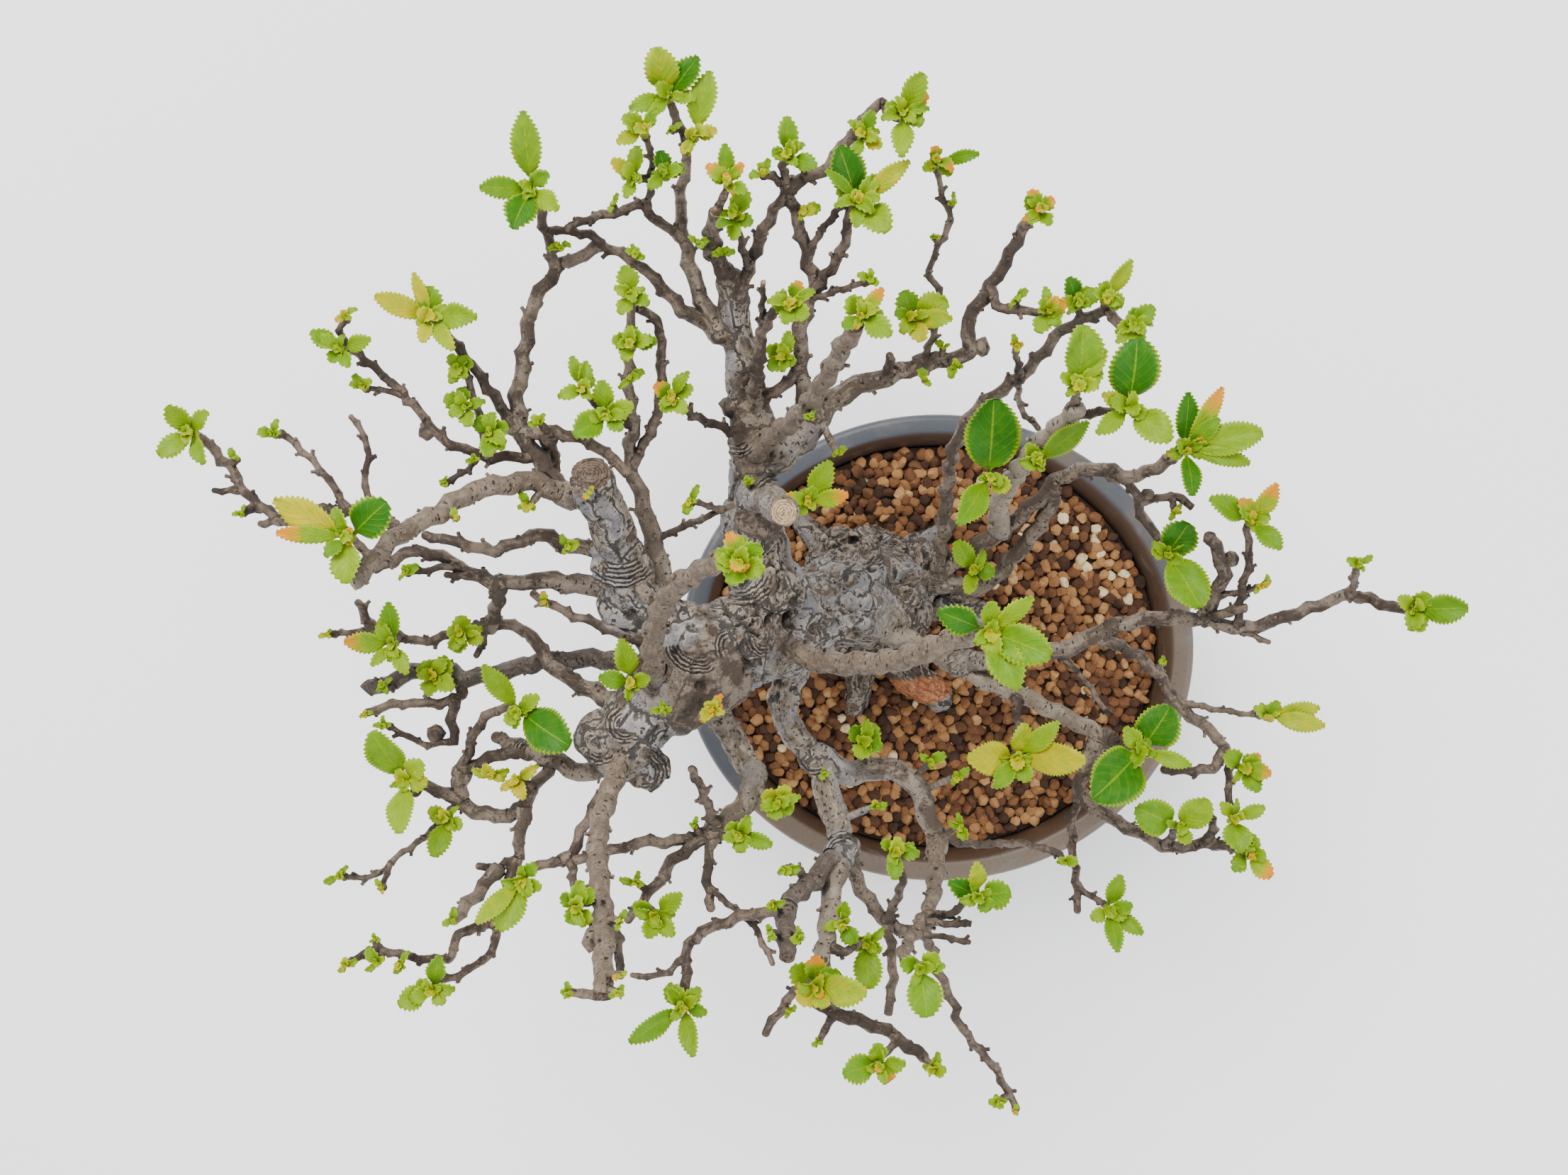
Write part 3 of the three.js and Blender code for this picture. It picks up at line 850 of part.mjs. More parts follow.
function potBody() {
  const outer = POT_LENGTH / 2;
  const inner = outer - LIP_WIDTH;
  const profile = [
    [0, FOOT_HEIGHT], [74, FOOT_HEIGHT], [82, FOOT_HEIGHT + 5], [92, 36], [97, POT_HEIGHT - 8],
    [outer - 2, POT_HEIGHT - 6], [outer, POT_HEIGHT - 3.5], [outer - 1.2, POT_HEIGHT],
    [inner + 0.8, POT_HEIGHT],
    ...potInside(), [0, FLOOR_TOP],
  ].map(([radius, height]) => new THREE.Vector2(radius, height));
  const shell = solidFrom(new THREE.LatheGeometry(profile, POT_SIDES).rotateX(Math.PI / 2));
  const feet = [];
  for (let i = 0; i < 4; i += 1) {
    const turn = Math.PI / 4 + (i * Math.PI) / 2;
    const foot = new THREE.CylinderGeometry(FOOT_RADIUS, FOOT_RADIUS - 3, FOOT_HEIGHT + 2, 8);
    foot.rotateX(Math.PI / 2);
    const reach = FOOT_SPREAD * outer;
    foot.translate(reach * Math.cos(turn), reach * Math.sin(turn), FOOT_HEIGHT / 2 + 1);
    feet.push(solidFrom(foot));
  }
  const drains = [-DRAIN_OFFSET, DRAIN_OFFSET].map((offset) => {
    const drain = new THREE.CylinderGeometry(DRAIN_RADIUS, DRAIN_RADIUS, 4 * FLOOR_TOP, 12);
    return solidFrom(drain.rotateX(Math.PI / 2).translate(offset, 0, 0));
  });
  return unite([shell, ...feet]).subtract(unite(drains));
}

// The pot's inner wall, from the lip down to the floor.
function potInside() {
  return [[92.6, POT_HEIGHT - 4], [91.5, 50], [86, 28], [76, FLOOR_TOP]];
}

function solidFrom(geometry) {
  const plain = weld(geometry);
  return solid(plain.positions, plain.index);
}

// Shared corners of a three.js geometry, merged so that the body is closed.
function weld(geometry) {
  const source = geometry.getAttribute("position");
  const order = geometry.getIndex().array;
  const positions = [];
  const seen = new Map();
  const number = Array.from({ length: source.count }, (_, i) => {
    const corner = [source.getX(i), source.getY(i), source.getZ(i)];
    const key = corner.map((value) => Math.round(value * 1e4)).join(" ");
    if (!seen.has(key)) {
      seen.set(key, positions.length / 3);
      positions.push(...corner);
    }
    return seen.get(key);
  });
  const index = [];
  for (let i = 0; i < order.length; i += 3) {
    const [a, b, c] = [number[order[i]], number[order[i + 1]], number[order[i + 2]]];
    if (a !== b && b !== c && c !== a) {
      index.push(a, b, c);
    }
  }
  return { positions, index };
}

// Height of the grain bed: a mound round the trunk, broken up into grains.
function soilHeight(x, y, mound) {
  const distance = Math.hypot(x - mound.x, y - mound.y);
  const rise = SOIL_MOUND * Math.exp(-((distance / 45) ** 2));
  const grain = Math.sin((2 * Math.PI * x) / GRAIN_PITCH) * Math.sin((2 * Math.PI * y) / GRAIN_PITCH + x / 7);
  return SOIL_TOP + rise + GRAIN_RELIEF * grain;
}

// The soil bed in its own frame, centred on the pot.
function soilBody(mound) {
  const ratio = POT_WIDTH / POT_LENGTH;
  const side = potInside().slice(1).reverse().map(([radius, height]) => [radius - SEAT_GAP, height + 0.1]);
  side[0][1] = FLOOR_TOP + SEAT_GAP;
  const rings = side.map(([radius, height]) => ovalRing(radius, ratio, () => height));
  const edge = 92 - SEAT_GAP;
  const shares = [1, 0.89, 0.78, 0.66, 0.54, 0.42, 0.28, 0.12];
  for (const share of shares) {
    rings.push(ovalRing(edge * share, ratio, (x, y) => soilHeight(x, y, mound)));
  }
  return ringBody(rings);
}

function ovalRing(radius, ratio, height) {
  const ring = [];
  for (let s = 0; s < POT_SIDES; s += 1) {
    const turn = (2 * Math.PI * s) / POT_SIDES;
    const x = radius * Math.cos(turn);
    const y = radius * ratio * Math.sin(turn);
    ring.push(new THREE.Vector3(x, y, height(x, y)));
  }
  return ring;
}

function meshOf(name, body, colour, roughness, metalness = 0) {
  const { vertProperties, triVerts, numProp } = body.getMesh();
  const geometry = new THREE.BufferGeometry();
  const positions = new Float32Array((vertProperties.length / numProp) * 3);
  for (let i = 0; i < positions.length / 3; i += 1) {
    positions.set(vertProperties.subarray(i * numProp, i * numProp + 3), 3 * i);
  }
  geometry.setAttribute("position", new THREE.BufferAttribute(positions, 3));
  geometry.setIndex(new THREE.BufferAttribute(Uint32Array.from(triVerts), 1));
  geometry.computeVertexNormals();
  const material = new THREE.MeshStandardMaterial({ color: colour, roughness, metalness });
  const mesh = new THREE.Mesh(geometry, material);
  mesh.name = name;
  return mesh;
}

const limbs = growLimbs();
const heads = growHeads(limbs);
const ranked = [...heads].sort((a, b) => b.area - a.area);
const separate = new Set(ranked.slice(0, NODE_SPROUTS));

const wood = [...limbs.values()].map((limb) => limbBody(limb));
const lumps = KNOBS.map((row) => knob(...row));
const spurs = [...separate].filter((head) => !head.spur.onWood).map((head) => spurBody(head.spur));
const small = heads.filter((head) => !separate.has(head)).map((head) => [head.across, head.down, SMALL_HEAD]);
const buds = [...small, ...BUDS].map(([across, down, reach]) => (
  budBody({ across, down, reach, spur: seatSpur(limbs, across, down) })));
const tree = unite([...wood, ...lumps, ...spurs, ...buds]);

const potCentre = place(POT_ACROSS, POT_DOWN, POT_HEIGHT);
const mound = place(1235, 830, SOIL_TOP).sub(potCentre);
const rooted = [...limbs.values()].filter((limb) => limb.name === "trunk" || limb.name.startsWith("root_"));
const hole = unite(rooted.map((limb) => limbBody(limb, HOLE_GAP))).translate([-potCentre.x, -potCentre.y, 0]);
const soil = soilBody(mound).subtract(hole);

const bonsai = new THREE.Group();
const potMesh = meshOf("pot", potBody(), "#6f675f", 0.45);
potMesh.scale.y = POT_WIDTH / POT_LENGTH;
const potGroup = new THREE.Group();
potGroup.position.set(potCentre.x, potCentre.y, 0);
potGroup.add(potMesh, meshOf("soil", soil, "#7a5236", 0.95));
bonsai.add(potGroup, meshOf("tree", tree, "#7d7068", 0.85));
for (const head of separate) {
  bonsai.add(meshOf(`sprout_${head.name}`, headBody(head, SEAT_GAP), "#86b32c", 0.45));
}

// The part's origin is the middle of its bounding box, on the ground.
const box = new THREE.Box3().setFromObject(bonsai, true);
bonsai.position.set(-(box.min.x + box.max.x) / 2, -(box.min.y + box.max.y) / 2, -box.min.z);

export default bonsai;
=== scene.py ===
"""Chinese quince bonsai in spring bud: bark, leaves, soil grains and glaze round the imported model.

Lengths are in millimetres in the frame of the traced view, with z up from the ground. They are
turned into the model's metres only where a mesh is made.
"""

import json
import math
import random

import bmesh
import bpy
from mathutils import Matrix, Vector, noise
from mathutils.bvhtree import BVHTree
from mathutils.kdtree import KDTree

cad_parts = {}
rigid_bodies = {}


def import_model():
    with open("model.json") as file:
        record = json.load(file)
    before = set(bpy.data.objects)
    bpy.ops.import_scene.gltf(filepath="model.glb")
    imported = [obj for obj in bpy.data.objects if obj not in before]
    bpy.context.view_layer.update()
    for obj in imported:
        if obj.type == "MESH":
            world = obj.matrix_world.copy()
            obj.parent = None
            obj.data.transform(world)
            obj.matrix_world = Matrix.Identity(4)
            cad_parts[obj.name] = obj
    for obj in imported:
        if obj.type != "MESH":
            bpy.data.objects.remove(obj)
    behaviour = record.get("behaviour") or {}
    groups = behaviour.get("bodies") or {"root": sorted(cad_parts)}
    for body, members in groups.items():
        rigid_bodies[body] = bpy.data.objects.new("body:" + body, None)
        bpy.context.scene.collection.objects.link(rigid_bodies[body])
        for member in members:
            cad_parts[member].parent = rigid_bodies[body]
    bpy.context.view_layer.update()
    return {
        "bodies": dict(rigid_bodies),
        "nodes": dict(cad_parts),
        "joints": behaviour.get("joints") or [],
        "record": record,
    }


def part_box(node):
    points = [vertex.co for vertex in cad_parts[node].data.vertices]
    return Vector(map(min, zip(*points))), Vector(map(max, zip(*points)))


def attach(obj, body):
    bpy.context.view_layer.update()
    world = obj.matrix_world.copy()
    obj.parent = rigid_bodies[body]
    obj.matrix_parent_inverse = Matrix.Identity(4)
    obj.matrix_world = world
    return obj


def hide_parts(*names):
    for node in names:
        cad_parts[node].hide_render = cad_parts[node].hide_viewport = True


bl_info = {
    "name": "Chinese Quince Bonsai",
    "version": (1, 0, 0),
    "blender": (4, 5, 0),
    "location": "3D View > Sidebar > Bonsai",
    "description": "Builds the bark, leaves, soil grains and glazed pot of a Chinese quince bonsai",
    "category": "Add Mesh",
}

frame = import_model()

# The straight-down view that the tree was traced in. A traced point is [across, down], and a third
# number, where there is one, is its height.
VIEW_WIDTH = 2212
VIEW_ACROSS = 1106
VIEW_DOWN = 829
VIEW_FOCAL = 2108
VIEW_HEIGHT = 682
POT_ACROSS = 1323
POT_DOWN = 914
SENSOR_WIDTH = 36

# Pot and soil
POT_LENGTH = 211
POT_WIDTH = 192
POT_HEIGHT = 70
LIP_WIDTH = 12
FOOT_HEIGHT = 9
FOOT_RADIUS = 13
FOOT_SPREAD = 0.62
DRAIN_RADIUS = 8
DRAIN_OFFSET = 38
FLOOR_TOP = 16
SOIL_TOP = 61
SOIL_MOUND = 4
SOIL_EDGE = 91.4

# Each limb: name, the limb that it grows from, its diameters spread evenly from base to tip, and the
# points of its traced line, as across,down or across,down,height. The first point is moved onto the
# parent's middle line.
LIMBS = [
    ["trunk", None, [47, 40, 36, 33, 31, 29],
        "1245,820,50 1222,828,78 1190,840,105 1130,880,142 1070,900,165 1010,915,188"],
    ["root_flare", "trunk", [40, 24], "1245,820,52 1205,805,78"],
    ["root_north", "trunk", [19, 9], "1222,828,70 1165,772,68 1130,735,61"],
    ["root_northeast", "trunk", [17, 7], "1245,820,60 1300,770,65 1345,738,60"],
    ["root_east", "trunk", [20, 9], "1245,820,60 1320,850,66 1385,862,60"],
    ["root_southeast", "trunk", [22, 13], "1245,820,60 1270,930,67 1325,985,60"],
    ["root_south", "trunk", [20, 10], "1225,828,60 1215,940,66 1205,1000,60"],
    ["root_west", "trunk", [21, 10], "1245,820,60 1135,880,68 1080,925,60"],
    ["sw_lump", "trunk", [29, 25, 20], "1010,915 960,960,193 905,1015,196 872,1062,194"],
    ["north", "trunk", [23, 21, 19, 15, 12, 10],
        "1100,872 1075,800,172 1062,740,178 1062,680,184 1060,620,190 1055,560,197 1045,500,204 "
        "1035,440,210 1030,395,215"],
    ["north_cut", "north", [10, 9.4], "1072,690 1106,722,222"],
    ["north_spur", "north", [4, 3], "1070,725 1115,715 1138,712,205"],
    ["n_cross", "north", [3, 2.3], "1040,615 985,590 958,570,215"],
    ["n_west", "north", [6.5, 4, 3, 2.3],
        "1040,480 1000,460 960,435 930,400 895,370 850,345 825,330 775,325,234"],
    ["n_high", "north", [6.2, 5, 4, 3, 2.6],
        "1038,470 1005,455 990,420 975,380 965,340 960,300 962,260 970,225 965,195 948,150,230"],
    ["n_high_left", "n_high", [3.2, 2.8, 2.2], "964,338 925,311 905,290 870,300 835,308 800,322,238"],
    ["n_high_bud", "n_high_left", [2.2, 1.9], "912,298 920,230 912,195,242"],
    ["n_stub", "north", [5, 4.6], "1030,395 1005,350 1010,300,246"],
    ["n_mid", "north", [4.2, 3], "1033,425 1055,380 1070,340 1085,310 1112,265,236"],
    ["n_mid_side", "n_mid", [2.5, 2], "1055,380 1045,340 1038,312,240"],
    ["n_mid_left", "n_mid", [2.6, 2], "1112,265 1095,252 1078,248,243"],
    ["n_mid_up", "n_mid", [2.8, 2.2], "1112,265 1104,238 1110,228,246"],
    ["n_arch", "n_mid", [3.7, 3.2, 2.8],
        "1112,265 1130,255 1165,237 1190,205 1215,175 1240,148 1266,166,250"],
    ["n_pencil_limb", "north", [5.2, 4, 2.8], "1060,590 1068,520,216 1075,470,226 1092,438,240"],
    ["n_pencil", "n_pencil_limb", [1.9, 1.7], "1074,475 1077,398,250"],
    ["ne", "north", [9.8, 8.2, 6, 5, 4.2, 3.4],
        "1064,660 1130,620,192 1180,560,194 1240,535 1300,515,196 1345,505 1370,492 1365,460 1380,430 "
        "1400,400 1420,368 1435,338 1452,308,208"],
    ["ne_side", "ne", [3.2, 2.6], "1398,405 1412,433 1462,441,213"],
    ["ne_stub", "ne", [3.2, 2.8], "1252,532 1255,502,204"],
    ["ne_thin", "ne", [2.4, 2, 1.8],
        "1300,515 1320,460 1325,415 1311,388 1318,360 1335,325 1342,308 1330,280 1322,242,230"],
    ["ne_rise", "ne", [5.8, 5, 4, 3.5],
        "1155,590 1135,560,202 1130,520 1130,460 1148,405 1140,370 1130,325 1112,268,235"],
    ["ne_rise_link", "north", [4, 3.4], "1056,575 1095,550,204 1130,522,207"],
    ["ne_rise_right", "ne_rise", [3.3, 2.8], "1148,408 1175,375 1190,345 1200,292,242"],
    ["ne_rise_thin", "ne_rise", [2, 1.8], "1142,425 1175,412 1218,399,238"],
    ["ne_rise_bud", "ne_rise", [2.2, 1.8], "1138,355 1160,325 1190,284,244"],
    ["tall_brown", "north", [6.2, 5.4, 4.8],
        "1061,650 1080,622,204 1110,600,222 1145,565,243 1175,515,264 1195,480,277 1207,458,285"],
    ["nw_cut", "trunk", [20, 17, 14, 13.5],
        "1010,915 945,893,193 905,845,199 880,790,208 860,740,219 840,690,231 834,670,236"],
    ["nw", "nw_cut", [6.5, 5.2], "848,712 815,705,214 790,690 765,655 728,603,217"],
    ["nw_up", "nw", [4.8, 4.3, 3.6],
        "730,606 730,560 737,515 745,460 752,430 770,402 790,375 830,357 848,347,226"],
    ["nw_up_bud", "nw_up", [3.2, 2.6], "785,380 778,352 763,305 755,280,242"],
    ["nw_left", "nw", [3.6, 2.8], "728,603 690,550 665,515 648,495 618,453,236"],
    ["nw_low", "nw", [3.4, 2.8, 2.2],
        "757,645 690,645 655,633 622,618 600,590 570,558 535,525 505,500 486,492,234"],
    ["nw_low_end", "nw_low", [2.2, 1.9], "488,494 480,465 488,452,240"],
    ["nw_low_side", "nw_low", [2, 1.7], "570,558 540,551 518,548,230"],
    ["nw_low_up", "nw_low", [2.8, 2.2], "688,645 672,575 655,520,228"],
    ["nw_low_twig", "nw_low", [2, 1.7], "675,641 660,662 628,682,226"],
    ["nw_right", "nw", [4.2, 3.2], "733,610 790,612 830,623 860,645 884,668,224"],
    ["nw_right_stub", "nw_right", [5, 4.8], "775,611 777,655,206"],
    ["west_blunt", "nw", [6.5, 6, 5.4, 4.8],
        "812,704 750,680,222 700,686,232 660,697 625,720 595,738 565,752,254 530,787 497,822,270"],
    ["west_far", "west_blunt", [3.3, 3, 2.8],
        "567,751 530,733,250 500,722 460,720 420,728 395,733 370,715 345,695 332,668 310,645 288,621,236"],
    ["west_far_stub", "west_far", [2.2, 1.8], "342,692 302,692,240"],
    ["west_far_spur", "west_far", [2.6, 2.2], "398,732 368,739,240"],
    ["west_far_twig", "west_far", [2.3, 1.8], "492,722 460,672 430,640 400,612,246"],
    ["west_bare", "west_far", [2.2, 1.6], "520,730 518,700 515,665 520,640 512,612 495,588,256"],
    ["mid_north", "nw_cut", [9, 6.5, 4.4, 3.4, 2.7],
        "940,885 930,800,194 915,740 900,690 888,650 893,600 887,550 887,500 890,438,232"],
    ["mid_north_twin", "mid_north", [3.2, 2.7], "892,660 922,600 930,560 933,500 928,455 900,436,230"],
    ["mid_north_leaf", "mid_north", [2.6, 2], "893,600 862,592 838,570 826,555,224"],
    ["mid_cross", "mid_north", [2.2, 2], "920,762 960,745 1000,728 1033,714,200"],
    ["mid_cross_bud", "mid_cross", [2, 1.8], "1020,720 978,709,209"],
    ["west", "nw_cut", [10, 7, 5, 4, 3.3],
        "930,880 880,840,192 820,826 760,820 705,823 670,812 640,795 600,778 570,783 530,803,206"],
    ["west_upper", "nw_cut", [5.4, 4, 3],
        "874,776 810,772,206 760,755 730,766 690,777 650,766 600,755,216"],
    ["west_link", "west", [4.6, 4.2], "705,823 700,855,190 693,888,178"],
    ["west_twig", "west", [2.3, 2], "665,810 640,800 590,806 577,808,212"],
    ["west_stub", "west", [2.6, 2.2], "680,816 630,811,206"],
    ["west_low", "sw_lump", [6.8, 5, 3.4],
        "900,1018 860,988,186 820,967 785,945 762,918 745,893 697,877,178"],
    ["west_low_end", "west_low", [3.4, 3, 2],
        "700,878 665,887 640,893 600,905 545,893 500,892 475,895,184"],
    ["west_low_spur", "west_low_end", [3.6, 2.6], "528,892 505,850,192"],
    ["west_low_stub", "west_low_end", [2.7, 2.3], "690,882 672,925,176"],
    ["west_dark", "sw_lump", [7.6, 6.4, 5.8, 5.4],
        "960,960 880,935,178 830,930,172 770,933 710,947 660,957 620,943 590,946 550,962 517,975,168"],
    ["west_orange", "west_dark", [3.4, 2.8], "652,955 645,985,172 600,993 560,993 520,1005,178"],
    ["west_hook", "west_orange", [3.6, 3.2], "642,987 638,1010 640,1050,170"],
    ["west_hook_bud", "west_hook", [2.2, 1.9], "640,1046 600,1050 552,1026,178"],
    ["southwest", "sw_lump", [7.6, 6, 4.2], "880,1052 830,1090,184 790,1077 750,1060 700,1040,178"],
    ["sw_fork", "southwest", [4.4, 4], "738,1057 690,1070 652,1088,175"],
    ["sw_fork_up", "sw_fork", [3.4, 3], "655,1087 668,1038 690,1008 718,996,190"],
    ["sw_loop", "sw_fork", [5.4, 4.8, 4], "653,1087 650,1130,172 690,1150 730,1145 752,1112 778,1080,180"],
    ["sw_loop_left", "sw_loop", [4.3, 3.7], "650,1128 600,1110 585,1118,180"],
    ["sw_down", "sw_loop", [4.8, 3.6, 2.5], "738,1136 735,1175 728,1210,176 700,1226 675,1222,180"],
    ["sw_far", "sw_loop", [2.5, 2, 1.8], "650,1130 598,1182 565,1205 530,1235 488,1238,188"],
    ["sw_far_bud", "sw_far", [1.9, 1.7], "548,1220 540,1252,188"],
    ["mid_west", "trunk", [4.2, 3, 2.6], "1008,915 940,915,199 878,897,203 840,880 800,865 752,838,200"],
    ["close_brown", "sw_lump", [6.8, 6, 5.4, 5],
        "940,980 922,930,214 925,880,232 945,840,250 985,805,270 1032,788,288"],
    ["close_orange", "sw_lump", [3.8, 3.2], "975,945 995,985,204 1003,1000,210"],
    ["sw_tall", "sw_lump", [7, 6, 5.6, 5.3],
        "882,1050 862,1110,214 845,1170,232 845,1230,248 850,1290,263 852,1350,276 850,1405,286"],
    ["sw_tall_bud", "sw_tall", [2.8, 2.4], "848,1265 868,1310,250 875,1372,258"],
    ["sw_inner", "sw_lump", [4.2, 3.8, 3.6],
        "915,1005 900,1045,182 870,1090,180 835,1145,182 803,1212,188"],
    ["sw_inner_end", "sw_inner", [3.6, 2.8], "805,1208 745,1228,192"],
    ["sw_inner_down", "sw_inner", [3, 2.6], "803,1210 812,1262,194"],
    ["sw_spur", "sw_down", [4.8, 3.8], "702,1225 672,1262,186 640,1298,194"],
    ["sw_end_link", "sw_down", [3.8, 3.4], "728,1212 712,1262,180 690,1300,182"],
    ["sw_end_left", "sw_end_link", [3.4, 2.8, 2.3],
        "690,1300 650,1318 632,1352 590,1352 530,1340 498,1355,192"],
    ["sw_end_right", "sw_end_link", [3, 2.4], "695,1298 700,1328 672,1362 618,1388,190"],
    ["south", "trunk", [11, 9, 7],
        "1020,912 1000,975,182 1045,1060,178 1065,1100,178 1045,1140,180 1010,1172,183"],
    ["south_west", "south", [3.9, 3.3], "1012,1170 960,1186 900,1190 850,1205 812,1214,190"],
    ["south_back", "south", [3.4, 2.6], "1016,1166 1003,1150 990,1115 975,1085,206"],
    ["south_low", "south", [4.8, 3], "1012,1170 955,1210 925,1250 886,1298,194"],
    ["south_down", "south", [3.3, 3], "1012,1170 998,1220 1003,1282,192"],
    ["south_thin", "south_down", [2.1, 1.8], "1001,1250 1045,1290,200 1065,1310 1090,1360,206"],
    ["se_main", "trunk", [12, 10.5, 9.5, 9],
        "1130,880 1118,930,144 1105,980,148 1115,1030,151 1150,1070,155 1165,1110,160 1180,1160,165 "
        "1190,1200,170"],
    ["se_dark", "se_main", [7.4, 5.6, 4.8],
        "1188,1194 1155,1235,184 1120,1265,202 1108,1292,216 1110,1350,240"],
    ["se_dark_left", "se_dark", [3.8, 3.2],
        "1110,1285 1040,1295,204 985,1320,202 970,1340,202 966,1408,204"],
    ["se_dark_twig", "se_dark_left", [2.2, 1.9], "969,1350 935,1375 892,1376,206"],
    ["se_dark_bud", "se_dark", [2.6, 2.2], "1142,1245 1118,1224,194"],
    ["se_light", "se_main", [8.2, 6.5, 5.2], "1188,1196 1175,1250,182 1167,1310,192 1158,1368,201"],
    ["se_light_stub", "se_light", [3.2, 2.9], "1165,1335 1192,1344,198"],
    ["se_far", "se_light", [4.8, 4.2, 3.8], "1158,1366 1155,1415,194 1200,1436 1245,1452 1303,1492,190"],
    ["se_far_left", "se_light", [3.4, 2.8], "1158,1366 1120,1402,198 1098,1430 1080,1458,196"],
    ["se_right", "se_main", [5.6, 4.6, 4], "1189,1197 1215,1255,166 1240,1288 1265,1310 1300,1312,164"],
    ["se_right_down", "se_right", [3.4, 3], "1252,1300 1260,1370,176 1253,1430,186"],
    ["se_right_up", "se_right", [3.4, 2.6], "1250,1297 1260,1278 1275,1245,182"],
    ["pot_south", "se_main", [9, 8, 6.6],
        "1148,1068 1200,1092,150 1240,1083,148 1285,1100 1305,1140,148 1322,1190,150"],
    ["pot_south_end", "pot_south", [6, 4.6, 3.3],
        "1321,1186 1322,1230,162 1310,1285,182 1285,1325,200 1272,1346,214"],
    ["pot_south_cut", "pot_south_end", [2.4, 2.2], "1300,1302 1370,1304,194"],
    ["pot_south_cut_low", "pot_south_end", [2, 1.7], "1292,1315 1367,1329,198"],
    ["pot_south_leaf", "pot_south_end", [2.7, 2.2], "1308,1288 1335,1292 1372,1266,200"],
    ["pot_far", "pot_south_end", [3.4, 2.9, 2.4],
        "1303,1297 1320,1362,178 1345,1415 1352,1442 1380,1480 1405,1510 1433,1562,184"],
    ["pot_rim_twig", "pot_south", [2.9, 2.4], "1306,1146 1350,1188,136 1440,1190,128 1494,1204,130"],
    ["close_east", "trunk", [8.4, 7.4, 6.6, 6.2],
        "1090,893 1150,931,188 1240,935,216 1300,920,240 1360,896,262 1386,888,272"],
    ["east", "trunk", [8, 7, 6.4, 6],
        "1175,850 1220,885,110 1290,905,112 1340,935,113 1400,965,115 1450,985,117 1510,1015,120 "
        "1565,1045,122"],
    ["east_leaf", "east", [3.4, 3], "1560,1042 1604,1056,132"],
    ["east_pot", "east", [3.4, 2.8], "1432,978 1436,1020,126 1434,1062,136"],
    ["east_low", "east", [5.9, 5, 4.4, 3.9],
        "1552,1040 1530,1085,118 1525,1122,116 1560,1150,117 1620,1182,119 1655,1196,121 1710,1190,125 "
        "1748,1199,131"],
    ["east_low_spur", "east_low", [3.8, 2.7], "1705,1190 1712,1155,134"],
    ["east_low_leaf", "east_low", [3, 2.6], "1642,1191 1660,1168,132"],
    ["east_down", "east_low", [3.3, 2.9], "1526,1120 1512,1170,118 1518,1240,122 1520,1285,126"],
    ["east_down_leaf", "east_down", [2.6, 2.2], "1519,1244 1535,1262,126 1556,1274,131"],
    ["far_east", "east", [8, 6.4, 5, 4.4, 3.8],
        "1345,937 1400,930,120 1500,915,128 1550,893,132 1600,876 1680,872,142 1730,882 1760,886 1800,875 "
        "1850,858,154 1905,840 1950,852 1985,860,165"],
    ["far_east_up", "far_east", [3, 2.5], "1905,841 1912,812,172"],
    ["far_east_stub", "far_east", [2.2, 1.9], "1742,884 1790,906,150"],
    ["far_east_cut", "far_east", [3.6, 3.4], "1688,873 1757,858,156"],
    ["far_east_knob", "far_east", [5.2, 4.8, 4.2], "1698,875 1722,825,152 1725,800,158 1707,755,166"],
    ["far_east_leaf", "far_east_knob", [2.4, 2], "1713,843 1772,830,160"],
    ["far_east_rise", "far_east", [3, 2.5], "1745,884 1752,830,158 1762,790 1758,748,170"],
    ["east_fan", "far_east", [4.4, 4], "1545,895 1600,922,126 1635,952 1655,988,122"],
    ["east_fan_thin", "east_fan", [2.5, 2], "1654,985 1700,998,126 1775,1010,134"],
    ["east_fan_main", "east_fan", [4.6, 4.2, 3.8], "1655,987 1690,1018 1712,1035 1738,1074,126"],
    ["east_fan_back", "east_fan_main", [3.8, 3.3], "1728,1058 1705,1085 1642,1086,128"],
    ["east_fan_end", "east_fan_main", [3, 2.6], "1737,1072 1733,1110,130 1737,1150,134"],
    ["east_thin", "far_east", [2.2, 1.9], "1488,917 1530,960,124 1563,1008,128"],
    ["northeast", "trunk", [10, 7.6, 6, 5, 4.2],
        "1232,824 1290,830,98 1350,790,108 1410,750,120 1460,710,132 1500,672,142 1555,662,150 "
        "1600,672,156 1655,647,165"],
    ["northeast_low", "northeast", [3.5, 3], "1558,663 1600,690,148 1608,720,144 1635,764,142"],
    ["northeast_stub", "northeast_low", [3.2, 2.8], "1606,708 1655,701 1682,716,146"],
    ["northeast_twin", "northeast", [7.4, 6, 5],
        "1310,817 1380,828,106 1430,785,118 1470,735,128 1490,690,138"],
    ["northeast_pale", "northeast", [7, 6, 5.4],
        "1412,748 1410,708,148 1440,660,182 1475,618,210 1520,578,236"],
    ["northeast_pale_leaf", "northeast_pale", [2.7, 2.3], "1425,684 1396,674,182"],
    ["northeast_pale_up", "northeast_pale", [2.8, 2.4], "1512,585 1519,552,242"],
    ["northeast_pale_end", "northeast_pale", [2.8, 2.4], "1512,585 1584,579,236"],
    ["north_sweep", "northeast", [5, 4.6, 4, 3.5],
        "1322,809 1335,700,124 1345,635,140 1370,585,152 1405,556 1440,530 1465,505 1495,470 1530,450,180 "
        "1560,440,184 1590,466,190"],
    ["north_sweep_bud", "north_sweep", [2.4, 2], "1438,531 1433,498,184"],
    ["north_sweep_thin", "north_sweep", [2.2, 1.9], "1436,533 1440,575,176 1465,605,184"],
]

